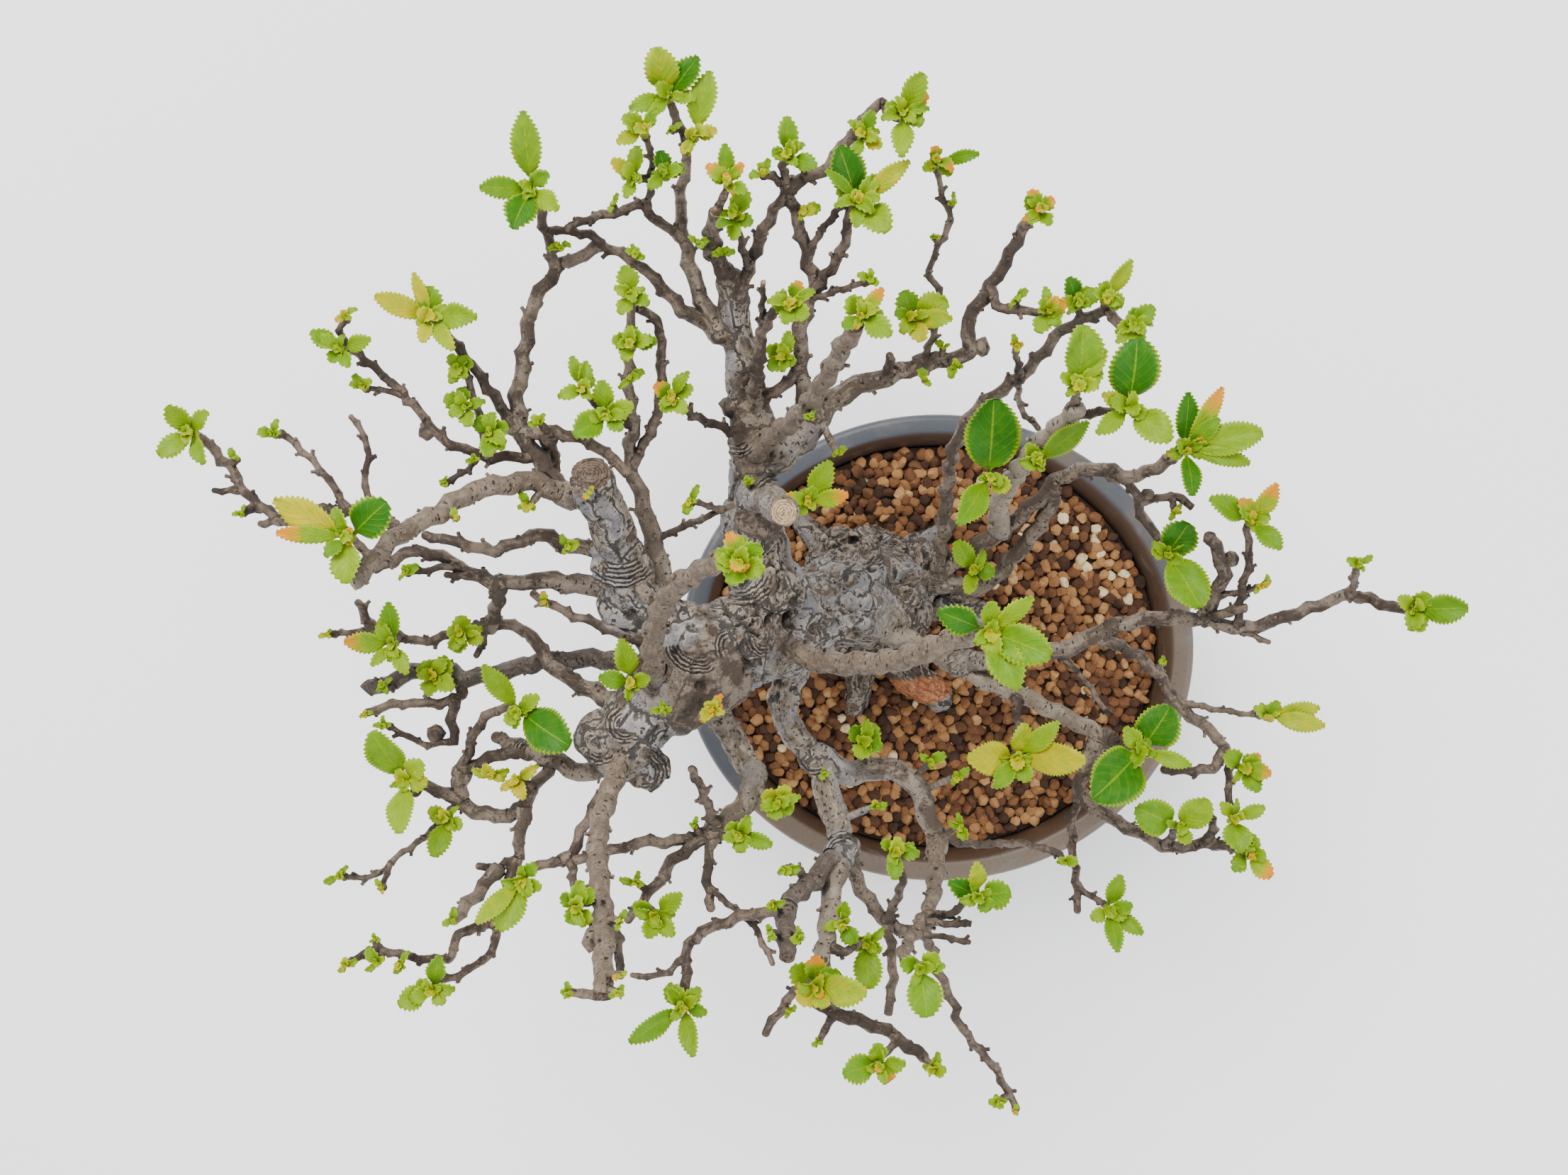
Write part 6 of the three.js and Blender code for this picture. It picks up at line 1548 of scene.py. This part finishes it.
def build_wood(sizes, limbs, spurs):
    """The trunk with its thick limbs as one piece, and the thinner limbs as one piece per bough."""
    material = bark_finish(sizes)
    samples = bark_samples(limbs)
    ends = sawn_ends(limbs)
    rings = wrinkle_rings()
    thick = [limb_tube(limb) for limb in limbs.values() if thick_limb(limb.name)]
    thick += [knob_ball(row) for row in KNOBS if row[3] > THICK_KNOB]
    trunk = remeshed("trunk", thick + rib_tubes(thick), sizes.trunk_voxel)
    roughen_trunk(trunk, rings, samples)
    meshes = [trunk]
    for bough in ("north", "northwest", "southwest", "south", "east"):
        parts = []
        for limb in limbs.values():
            if limb.bough == bough:
                if not thick_limb(limb.name):
                    parts.append(limb_tube(limb))
                parts.extend(bare_spurs(limb))
        for limb, low, top in spurs:
            if limb.bough == bough:
                parts.append(spur_tube(low, top, SPUR_RADIUS + 0.25, SPUR_RADIUS - 0.1))
        small = [row for row in KNOBS if row[3] <= THICK_KNOB]
        parts.extend(knob_ball(row, 2) for row in small if knob_bough(row, limbs) == bough)
        meshes.append(fused("limbs_" + bough, parts))
    for mesh in meshes:
        mark_bark(mesh, samples, rings, ends)
        piece = add_object(mesh.name, mesh)
        dress(piece, material, ["tree"])
        mesh.set_sharp_from_angle(angle=math.radians(50))


def knob_bough(row, limbs):
    """The bough whose limb passes nearest to a lump."""
    centre = place(*row[:3])
    return min(limbs.values(), key=lambda limb: min((point - centre).length for point in limb.points)).bough


# Leaf material and pieces


def leaf_finish(sizes):
    """Leaf green by age, with veins, paler edges and midrib, and flushed tips."""
    made = Finish("leaf")
    blade = made.attribute("blade", "Vector")
    tone = made.attribute("tone")
    flush = made.attribute("flush")
    scale = made.attribute("scale")
    along, across, seed = blade.parts()
    out = abs(across)
    patch = made.place().noise(0.35, 3)
    own = seed.math("FRACT", seed) - 0.5
    green = (tone + (patch - 0.5) * 0.45 + own * 0.12).ramp([
        (0.0, sizes.leaf_deep), (0.45, sizes.leaf_middle), (0.8, sizes.leaf_light),
        (1.0, sizes.leaf_yellow)])
    slant = along * 42.0 - out * 15.0
    veins = slant.sine().rise(0.5, 1.0) * out.rise(1.0, 0.7)
    green = (veins * 0.09).blend(green, sizes.leaf_light)
    green = (out.rise(0.8, 1.0) * 0.7).blend(green, sizes.leaf_edge)
    green = (out.rise(0.07, 0.01) * 0.4).blend(green, sizes.leaf_edge)
    green = (along.rise(0.3, 0.0) * 0.35).blend(green, sizes.leaf_light)
    warm = (along.rise(0.35, 1.0) + (patch - 0.5) * 0.8) * flush
    green = warm.rise(0.15, 0.95).blend(green, sizes.leaf_flush)
    green = scale.rise(0.1, 0.5).blend(green, paint("#6d7a20"))
    made.set(Base_Color=green, Roughness=0.52 - 0.1 * patch)
    made.set(Coat_Weight=0.03, Coat_Roughness=0.2, Specular_IOR_Level=0.18)
    made.bump(patch - veins * 0.5 - out.rise(0.1, 0.0) * 0.5, 0.0004, 0.6)
    return made.material


def wood_field(limbs):
    """What the leaves have to stand clear of."""
    points = [point for limb in limbs.values() for point in limb.points]
    radii = [radius for limb in limbs.values() for radius in limb.radii]
    return {"tree": near_tree(points), "radii": radii, "taken": []}


def leaf_form(head, leaf):
    """A leaf's slope, roll, arch and fold, as in the solids."""
    return {
        "slope": 0.32 + 0.4 * spread(head + 1, leaf),
        "roll": 0.5 * (spread(head + 3, leaf + 5) - 0.5),
        "arch": 0.05 + 0.09 * spread(head + 5, leaf + 9),
        "fold": mix(0.12, 0.42, spread(head + 7, leaf + 2)),
    }


def grow_heads(limbs):
    """Where each leaf head stands, with its leaves settled."""
    heads = []
    wood = wood_field(limbs)
    for h, (name, across, down, leaves) in enumerate(SPROUTS):
        node = "sprout_" + name
        if node not in frame["nodes"]:
            node = None
        foot, low, limb = seat(limbs, across, down, node)
        blades = []
        for i, leaf in enumerate(read_points(leaves)):
            base = foot + Vector((0, 0, 0.8 + 0.75 * i))
            tint = TINTS[leaf[3] if len(leaf) > 3 else None]
            blades.append((settled_blade(base, leaf, leaf_form(h, i), wood), tint))
        for blade, _ in blades:
            for share in (0.25, 0.5, 0.75, 1):
                wood["taken"].append((blade.at(share, 0), 0.4 + 0.3 * blade.half * (1.2 - share)))
        heads.append({"name": name, "node": node, "foot": foot, "low": low, "limb": limb,
                      "blades": blades, "seed": h})
    return heads


def grow_buds(limbs):
    """Where each bud stands, and how far it reaches."""
    buds = []
    for b, (across, down, width, *tint) in enumerate(BUDS):
        foot, low, limb = seat(limbs, across, down)
        reach = width * (VIEW_HEIGHT - foot.z) / VIEW_FOCAL
        buds.append({"foot": foot, "low": low, "limb": limb, "reach": reach, "seed": 100 + b,
                     "tint": tint[0] if tint else None})
    return buds


def add_head(shape, head):
    """Adds a leaf head to a shape."""
    seed = head["seed"]
    warm = max(tint[1] for _, tint in head["blades"])
    count = len(head["blades"])
    add_core(shape, head["foot"], 0.5 + 0.6 * count, CORE_RADIUS, 0.6)
    for i, (blade, tint) in enumerate(head["blades"]):
        tone = clamp(tint[0] + 0.3 * (spread(seed, i + 31) - 0.5) * (tint[0] > 0.2))
        pointed = 0.62 if blade.half > 5 else mix(0.66, 0.95, spread(seed, i + 81))
        add_blade(shape, blade, tone, tint[1], seed + 7.3 * i, power=pointed)
    middle = head["foot"] + Vector((0, 0, 0.45 * count))
    tone = sum(tint[0] for _, tint in head["blades"]) / count
    add_inner_leaves(shape, middle, 6, 5.4 + 0.3 * count, mix(tone, 0.6, 0.5), warm, seed + 50.5)


def add_bud(shape, bud):
    """Adds a bud to a shape."""
    seed = bud["seed"]
    tone, flush = TINTS[bud["tint"]]
    reach = bud["reach"]
    foot = bud["foot"]
    add_core(shape, foot, 0.45 * reach, min(0.32 * reach, 1.2), 0.7)
    middle = foot + Vector((0, 0, 0.2 * reach))
    count = 5 if reach < 3 else 6 if reach < 4.4 or bud["tint"] != "rose" else 12
    add_inner_leaves(shape, middle, count, 1.15 * reach, tone, max(flush, 0.25 * spread(seed, 4)), seed + 9.5)


def build_sprouts(sizes, heads):
    material = leaf_finish(sizes)
    for head in heads:
        if head["node"] is not None:
            name = "leaves_" + head["name"]
            shape = Shape()
            add_head(shape, head)
            dress(add_object(name, shape.mesh(name)), material, [head["node"]])
    return material


def build_buds(material, heads, buds):
    """The buds and the smallest leaf heads, as one piece per bough."""
    for bough in ("north", "northwest", "southwest", "south", "east", "trunk"):
        shape = Shape()
        for head in heads:
            if head["node"] is None and head["limb"].bough == bough:
                add_head(shape, head)
        for bud in buds:
            if bud["limb"].bough == bough:
                add_bud(shape, bud)
        if shape.points:
            piece = add_object("buds_" + bough, shape.mesh("buds_" + bough))
            dress(piece, material, [])


# Pot


def pot_profile():
    """The pot's section as radius and height, from the middle of the underside to the inner floor."""
    outer = POT_LENGTH / 2
    inner = outer - LIP_WIDTH
    return [
        (0, FOOT_HEIGHT), (60, FOOT_HEIGHT), (72, FOOT_HEIGHT), (75.5, FOOT_HEIGHT + 0.8),
        (79, FOOT_HEIGHT + 2.6), (82, FOOT_HEIGHT + 5.4), (85.5, 20), (89, 28), (91.8, 36), (93.8, 44),
        (95.6, 52), (96.8, POT_HEIGHT - 11), (97.6, POT_HEIGHT - 8.4), (99.2, POT_HEIGHT - 7.2),
        (outer - 2.6, POT_HEIGHT - 6.2), (outer - 1.2, POT_HEIGHT - 5.8), (outer - 0.3, POT_HEIGHT - 4.9),
        (outer, POT_HEIGHT - 3.6), (outer - 0.2, POT_HEIGHT - 2.0), (outer - 0.8, POT_HEIGHT - 0.8),
        (outer - 1.9, POT_HEIGHT - 0.15), (outer - 3.4, POT_HEIGHT), (outer - 5, POT_HEIGHT - 0.15),
        (inner + 4.6, POT_HEIGHT - 0.1), (inner + 3.6, POT_HEIGHT - 0.3), (inner + 2.8, POT_HEIGHT - 0.9),
        (inner + 2, POT_HEIGHT - 1.9), (inner + 1, POT_HEIGHT - 3.6), (inner - 0.4, POT_HEIGHT - 6.5),
        (92.2, 58), (91.5, 50), (89.4, 39), (86, 28), (82, 21.4), (78.5, 17.8), (75, FLOOR_TOP),
        (50, FLOOR_TOP), (0, FLOOR_TOP),
    ]


def lathe(profile, sides, ratio, centre):
    """A closed turned form, made oval by the ratio."""
    points = []
    for radius, height in profile[1:-1]:
        for side in range(sides):
            turn = math.tau * side / sides
            x = radius * math.cos(turn)
            y = radius * ratio * math.sin(turn)
            points.append(centre + Vector((x, y, height)))
    points += [centre + Vector((0, 0, height)) for _, height in (profile[0], profile[-1])]
    return points, ring_faces(len(profile) - 2, sides)


def pot_centre():
    centre = place(POT_ACROSS, POT_DOWN, POT_HEIGHT)
    return Vector((centre.x, centre.y, 0))


def build_pot(sizes):
    """The turned body fused with its four feet, with the two drain holes cut out."""
    ratio = POT_WIDTH / POT_LENGTH
    centre = pot_centre()
    parts = [lathe(pot_profile(), 144, ratio, centre)]
    reach = FOOT_SPREAD * POT_LENGTH / 2
    foot = [(0, 0), (FOOT_RADIUS - 4.6, 0), (FOOT_RADIUS - 3.2, 0.5), (FOOT_RADIUS - 2, 2.2),
            (FOOT_RADIUS - 0.7, 6), (FOOT_RADIUS, FOOT_HEIGHT + 1), (0, FOOT_HEIGHT + 1.5)]
    for i in range(4):
        turn = math.pi / 4 + i * math.pi / 2
        stand = centre + Vector((reach * math.cos(turn), reach * ratio * math.sin(turn), 0))
        parts.append(lathe(foot, 32, ratio, stand))
    body = add_object("pot_body", fused("pot_body", parts))
    drill = [(0, -5), (DRAIN_RADIUS, -5), (DRAIN_RADIUS, 30), (0, 30)]
    for offset in (-DRAIN_OFFSET, DRAIN_OFFSET):
        shape = joined([lathe(drill, 40, ratio, centre + Vector((offset, 0, 0)))])
        cutter = add_object("drill", shape.mesh("drill"))
        drill_out(body, cutter)
    dress(body, pot_finish(sizes), ["pot"])
    body.data.set_sharp_from_angle(angle=math.radians(40))


def drill_out(body, cutter):
    """Cuts one object out of another and drops it."""
    cut = body.modifiers.new("drain", "BOOLEAN")
    cut.operation = "DIFFERENCE"
    cut.solver = "MANIFOLD"
    cut.object = cutter
    old = body.data
    drilled = evaluated_mesh(body, "pot_body")
    body.modifiers.clear()
    body.data = drilled
    bpy.data.meshes.remove(old)
    drop(cutter)


def pot_finish(sizes):
    """Glaze in brown and bluish clouds, bluer towards the back and the left as a painted reflection, with
    streaks and fine specks, and a browner inner wall.
    """
    made = Finish("pot_glaze")
    point = made.place()
    cloud = point.noise(0.028, 4, 0.4)
    streak = point.stretched((0.05, 0.05, 0.22)).noise(1.0, 4, 0.8)
    grain = point.noise(0.7, 4)
    across, up, height = point.parts()
    centre = to_model(pot_centre()) * 1000
    from_middle = (across - centre.x) ** 2 + ((up - centre.y) * (POT_LENGTH / POT_WIDTH)) ** 2
    # Painted reflection: the glaze turns bluer towards the back and the left side, over its real clouds.
    clouds_and_reflection = cloud + (up - centre.y) / 400 - (across - centre.x) / 700
    colour = clouds_and_reflection.rise(0.35, 0.65).blend(sizes.glaze_brown, sizes.glaze_grey)
    inner = POT_LENGTH / 2 - LIP_WIDTH
    wall = from_middle.rise((inner + 3.8) ** 2, (inner + 2.6) ** 2) * height.rise(FLOOR_TOP, 40)
    colour = (wall * 0.85).blend(colour, paint("#4a3424"))
    colour = (streak.rise(0.55, 0.75) * 0.5).blend(colour, paint("#6c6862"))
    colour = (grain.rise(0.56, 0.7) * 0.35).blend(colour, paint("#37312c"))
    made.set(Base_Color=colour, Roughness=0.38 + 0.25 * grain)
    made.set(Coat_Weight=0.2, Coat_Roughness=0.3)
    made.bump(grain * 0.5 + streak * 0.5, 0.0004, 0.5)
    return made.material


# Soil


# Traced middle of the soil's mound and of the patch with cream grains, and how far they reach in mm.
MOUND_PLACE = (1235, 830)
MOUND_REACH = 45
CREAM_PLACE = (1560, 790)
CREAM_REACH = 16

# Distance between rows of grains, as a share of their pitch, and how far a grain strays.
ROW_SHARE = 0.87
STRAY = 0.26


def soil_height(x, y):
    """Height of the grain bed: a low mound round the trunk."""
    mound = place(*MOUND_PLACE, SOIL_TOP)
    distance = math.hypot(x - mound.x, y - mound.y)
    return SOIL_TOP + SOIL_MOUND * math.exp(-(distance / MOUND_REACH) ** 2)


def in_pot(x, y, margin):
    """Whether a place on the soil is this far inside the pot's wall."""
    centre = pot_centre()
    reach = SOIL_EDGE - margin
    return ((x - centre.x) / reach) ** 2 + ((y - centre.y) / (reach * POT_WIDTH / POT_LENGTH)) ** 2 < 1


def soil_bed():
    """The closed form of the bed that the grains lie on."""
    centre = pot_centre()
    ratio = POT_WIDTH / POT_LENGTH
    profile = [(0, FLOOR_TOP + 0.3), (75.4, FLOOR_TOP + 0.3), (85.6, 28), (91, 50),
               (SOIL_EDGE, SOIL_TOP - 3)]
    radii = [SOIL_EDGE * (1 - i / 24) for i in range(24)]
    profile += [(radius, SOIL_TOP - 2.2) for radius in radii[:-1]]
    profile.append((0, SOIL_TOP - 2.2))
    points, faces = lathe(profile, 96, ratio, centre)
    for point in points:
        if point.z > SOIL_TOP - 2.5:
            lift = soil_height(point.x, point.y) - SOIL_TOP
            point.z += lift + 0.9 * noise.noise(point / 3.1)
    return points, faces


def grain_form(centre, sizes, draw, level):
    """One grain of fired clay: a rounded form with flats chipped off at random."""
    flats = []
    for _ in range(11):
        facing = Vector([draw.gauss(0, 1) for _ in range(3)]).normalized()
        flats.append((facing, draw.uniform(0.7, 0.98)))
    spin = Matrix.Rotation(draw.uniform(0, 6.3), 3, "Z") @ Matrix.Rotation(draw.uniform(0, 6.3), 3, "X")
    points = []
    round_points, faces = ball(level, 1)
    for point in round_points:
        side = point.normalized()
        cut = min(far / max(side.dot(facing), 0.05) for facing, far in flats)
        points.append(centre + spin @ Vector([side[i] * sizes[i] for i in range(3)]) * min(1.15, cut))
    return points, faces


def scatter_grains(pitch, drop_by, draw, rooted):
    """Places of one layer of grains, in rows, clear of the roots."""
    centre = pot_centre()
    spots = []
    rows = int(2 * SOIL_EDGE / (pitch * ROW_SHARE))
    for row in range(-rows // 2, rows // 2 + 1):
        for column in range(-rows // 2, rows // 2 + 1):
            x = centre.x + pitch * (column + 0.5 * (row % 2)) + draw.uniform(-STRAY, STRAY) * pitch
            y = centre.y + pitch * ROW_SHARE * row + draw.uniform(-STRAY, STRAY) * pitch
            if not in_pot(x, y, 1.6):
                continue
            point = Vector((x, y, soil_height(x, y) - drop_by + draw.uniform(-0.6, 0.6)))
            _, index, distance = rooted["tree"].find(point)
            if distance > rooted["radii"][index] - 0.8:
                spots.append(point)
    return spots


def build_soil(sizes, limbs):
    roots = {name: limb for name, limb in limbs.items() if name == "trunk" or name.startswith("root_")}
    rooted = wood_field(roots)
    draw = random.Random(11)
    material = soil_finish(sizes)
    bed = Shape()
    # The bed takes tone 0, near black: painted shade in the gaps between the grains.
    bed.add(*soil_bed(), tone=0.0)
    dress(add_object("soil_bed", bed.mesh("soil_bed")), material, ["soil"])
    layers = (("grains_top", sizes.grain_pitch, 1.0, 2),
              ("grains_under", sizes.grain_pitch * 1.12, 2.9, 1))
    for name, pitch, drop_by, level in layers:
        shape = Shape()
        for spot in scatter_grains(pitch, drop_by, draw, rooted):
            half = sizes.grain_size / 2
            size = [half * draw.uniform(0.78, 1.22) for _ in range(3)]
            points, faces = grain_form(spot, size, draw, level)
            tone = draw.uniform(0.05, 0.85)
            if draw.random() < cream_share(spot):
                tone = 1.0
            shape.add(points, faces, tone=tone)
        piece = add_object(name, shape.mesh(name))
        dress(piece, material, ["soil"])
        piece.data.set_sharp_from_angle(angle=math.radians(24))


def cream_share(spot):
    """Cream grains are rare, apart from a patch on the east side."""
    patch = place(*CREAM_PLACE, SOIL_TOP)
    near = (spot.xy - patch.xy).length
    return 0.02 + 0.16 * math.exp(-(near / CREAM_REACH) ** 2)


def soil_finish(sizes):
    """Fired clay from dark brown to cream, by the tone of each grain, and near black at tone 0, the bed's, as
    painted shade between the grains.
    """
    made = Finish("fired_clay_grains")
    tone = made.attribute("tone")
    point = made.place()
    patch = point.noise(0.3, 3)
    grit = point.noise(1.6, 5)
    mixed = tone + (patch - 0.5) * 0.35 + (grit - 0.5) * 0.3
    colour = mixed.ramp([(0.0, paint("#2c1a10")), (0.22, sizes.soil_dark),
                         (0.5, sizes.soil_middle), (0.8, sizes.soil_light),
                         (0.93, paint("#c2a06e")), (1.0, paint("#dcc99c"))])
    made.set(Base_Color=colour, Roughness=0.95)
    made.bump(grit, 0.0004, 0.8)
    return made.material


# Stage


FLOOR_HALF = 9000
FLOOR_GLOW = 0.22
KEY_POWER = 46
FILL_POWER = 18


def build_stage(sizes):
    """A plain pale floor, the camera and the studio light."""
    corners = [Vector((x, y, 0)) * FLOOR_HALF for x, y in ((-1, -1), (1, -1), (1, 1), (-1, 1))]
    floor = add_object("floor", joined([(corners, [(0, 1, 2, 3)])]).mesh("floor"))
    floor.data.materials.append(floor_finish(sizes))
    add_camera()
    add_lights(sizes)


def floor_finish(sizes):
    made = Finish("floor_paper")
    shade = made.place().noise(0.002, 2)
    colour = shade.rise(0.3, 0.7).blend(sizes.floor, paint("#ffffff"))
    made.set(Base_Color=colour, Roughness=0.9)
    made.set(Emission_Color=paint("#fffdfa"), Emission_Strength=FLOOR_GLOW)
    return made.material


def add_camera():
    """The camera that the tree was traced with, straight above the middle of the view."""
    camera = bpy.data.cameras.new("photo_camera")
    camera.sensor_width = SENSOR_WIDTH
    camera.lens = SENSOR_WIDTH * VIEW_FOCAL / VIEW_WIDTH
    camera.clip_start = 0.01
    made = add_object("photo_camera", camera)
    made.location = to_model(Vector((0, 0, VIEW_HEIGHT)))
    bpy.context.scene.camera = made


def add_light(name, location, target, size, power, colour):
    lamp = bpy.data.lights.new(name, "AREA")
    lamp.shape = "DISK"
    lamp.size = size
    lamp.energy = power
    lamp.color = colour
    made = add_object(name, lamp)
    made.location = location
    made.rotation_euler = (Vector(target) - Vector(location)).to_track_quat("-Z", "Y").to_euler()


def add_lights(sizes):
    add_light("key", (-0.55, 0.9, 1.7), (0, 0, 0.15), 1.3, KEY_POWER * sizes.light, (1, 0.98, 0.95))
    add_light("fill", (1.2, -0.7, 1.4), (0, 0, 0.15), 1.6, FILL_POWER * sizes.light, (0.93, 0.96, 1))
    world = bpy.data.worlds.new("studio")
    world.use_nodes = True
    background = world.node_tree.nodes["Background"]
    background.inputs["Color"].default_value = (0.93, 0.96, 1, 1)
    background.inputs["Strength"].default_value = sizes.light
    bpy.context.scene.world = world


# Add-on


def length_setting(name, description, default):
    return bpy.props.FloatProperty(name=name, description=description, default=default, min=0.1, max=20)


def colour_setting(name, description, default):
    """A setting for a colour, written as sRGB hex."""
    return bpy.props.FloatVectorProperty(name=name, description=description, default=paint(default),
                                         subtype="COLOR", size=4, min=0, max=1)


class BonsaiWoodSettings(bpy.types.PropertyGroup):
    """Sizes and colours of the wood."""

    trunk_voxel: length_setting("Trunk grid", "Cell of the trunk's fused mesh, in mm", 0.93)
    bark_relief: length_setting("Bark relief", "Depth of the bark's fine relief, in mm", 0.55)
    twig_dark: colour_setting("Dark twig", "Dark patches of young bark", "#35281f")
    twig_light: colour_setting("Light twig", "Light patches of young bark", "#645344")
    bark_dark: colour_setting("Dark bark", "Dark patches of old bark", "#493c30")
    bark_light: colour_setting("Light bark", "Silvery plates of old bark", "#7f7160")
    # Also the colour of the painted shade in the hollows and in the wrinkles' grooves.
    crevice: colour_setting("Crevice", "Dark dashes, cracks and wrinkles", "#0c0807")


class BonsaiLeafSettings(bpy.types.PropertyGroup):
    """Colours of the leaves."""

    leaf_deep: colour_setting("Deep leaf", "Colour of the darkest leaves", "#225f00")
    leaf_middle: colour_setting("Middle leaf", "Colour of most leaves", "#588200")
    leaf_light: colour_setting("Light leaf", "Colour of young leaves", "#829c00")
    leaf_yellow: colour_setting("Yellow leaf", "Colour of the palest leaves", "#b4a400")
    leaf_edge: colour_setting("Leaf edge", "Colour of the toothed edge", "#98ac08")
    leaf_flush: colour_setting("Leaf flush", "Colour of the tips of unfolding leaves", "#d0820a")


class BonsaiSoilSettings(bpy.types.PropertyGroup):
    """Sizes and colours of the soil grains."""

    grain_size: length_setting("Grain size", "Middle diameter of a grain, in mm", 4.9)
    grain_pitch: length_setting("Grain pitch", "Distance between grains, in mm", 4.35)
    soil_dark: colour_setting("Dark grain", "Colour of the darkest grains", "#4a2c18")
    soil_middle: colour_setting("Middle grain", "Colour of most grains", "#7a4f2c")
    soil_light: colour_setting("Light grain", "Colour of tan grains", "#a87a4a")


class BonsaiPotSettings(bpy.types.PropertyGroup):
    """Colours of the glaze."""

    glaze_brown: colour_setting("Brown glaze", "Brown patches of the glaze", "#645444")
    glaze_grey: colour_setting("Grey glaze", "Bluish grey patches of the glaze", "#3e4249")


class BonsaiStageSettings(bpy.types.PropertyGroup):
    """Floor colour and light."""

    floor: colour_setting("Floor", "Colour of the floor", "#fbfbfc")
    light: bpy.props.FloatProperty(name="Light", description="Strength of all the lights",
                                   default=1.12, min=0)


# What the operators share: the limbs, leaf heads and buds, and the leaves' material.
GROWN = {}


def grown():
    """The limbs, leaf heads and buds, worked out once."""
    if not GROWN:
        GROWN["limbs"] = grow_limbs()
        GROWN["heads"] = grow_heads(GROWN["limbs"])
        GROWN["buds"] = grow_buds(GROWN["limbs"])
    return GROWN


class BONSAI_OT_pot(bpy.types.Operator):
    """Builds the glazed oval pot with its feet and drain holes"""

    bl_idname = "bonsai.pot"
    bl_label = "Pot"

    def execute(self, context):
        build_pot(context.scene.bonsai_pot)
        return {"FINISHED"}


class BONSAI_OT_soil(bpy.types.Operator):
    """Builds the soil bed and its clay grains"""

    bl_idname = "bonsai.soil"
    bl_label = "Soil"

    def execute(self, context):
        build_soil(context.scene.bonsai_soil, grown()["limbs"])
        return {"FINISHED"}


class BONSAI_OT_wood(bpy.types.Operator):
    """Builds the trunk, limbs, twigs and spurs"""

    bl_idname = "bonsai.wood"
    bl_label = "Wood"

    def execute(self, context):
        tree = grown()
        spurs = [(item["limb"], item["low"], item["foot"]) for item in tree["heads"] + tree["buds"]]
        build_wood(context.scene.bonsai_wood, tree["limbs"], spurs)
        return {"FINISHED"}


class BONSAI_OT_leaves(bpy.types.Operator):
    """Builds the leaf heads"""

    bl_idname = "bonsai.leaves"
    bl_label = "Leaf heads"

    def execute(self, context):
        GROWN["leaf"] = build_sprouts(context.scene.bonsai_leaf, grown()["heads"])
        return {"FINISHED"}


class BONSAI_OT_buds(bpy.types.Operator):
    """Builds the opening buds"""

    bl_idname = "bonsai.buds"
    bl_label = "Buds"

    def execute(self, context):
        build_buds(GROWN["leaf"], grown()["heads"], grown()["buds"])
        return {"FINISHED"}


class BONSAI_OT_stage(bpy.types.Operator):
    """Builds the floor, the lights and the camera"""

    bl_idname = "bonsai.stage"
    bl_label = "Stage"

    def execute(self, context):
        build_stage(context.scene.bonsai_stage)
        return {"FINISHED"}


class BONSAI_PT_panel(bpy.types.Panel):
    """Lists what the add-on builds"""

    bl_idname = "BONSAI_PT_panel"
    bl_label = "Chinese quince bonsai"
    bl_space_type = "VIEW_3D"
    bl_region_type = "UI"
    bl_category = "Bonsai"

    def draw(self, context):
        for operator in OPERATORS:
            self.layout.operator(operator.bl_idname)


SETTINGS = {
    "bonsai_wood": BonsaiWoodSettings, "bonsai_leaf": BonsaiLeafSettings, "bonsai_soil": BonsaiSoilSettings,
    "bonsai_pot": BonsaiPotSettings, "bonsai_stage": BonsaiStageSettings,
}
OPERATORS = (
    BONSAI_OT_stage, BONSAI_OT_pot, BONSAI_OT_soil, BONSAI_OT_wood, BONSAI_OT_leaves, BONSAI_OT_buds,
)


def register():
    for settings in SETTINGS.values():
        bpy.utils.register_class(settings)
    for operator in (*OPERATORS, BONSAI_PT_panel):
        bpy.utils.register_class(operator)
    for name, settings in SETTINGS.items():
        setattr(bpy.types.Scene, name, bpy.props.PointerProperty(type=settings))


def unregister():
    for name in SETTINGS:
        delattr(bpy.types.Scene, name)
    for operator in (BONSAI_PT_panel, *OPERATORS):
        bpy.utils.unregister_class(operator)
    for settings in SETTINGS.values():
        bpy.utils.unregister_class(settings)


def main():
    register()
    bpy.ops.bonsai.stage()
    bpy.ops.bonsai.pot()
    bpy.ops.bonsai.soil()
    bpy.ops.bonsai.wood()
    bpy.ops.bonsai.leaves()
    bpy.ops.bonsai.buds()


if __name__ == "__main__":
    main()
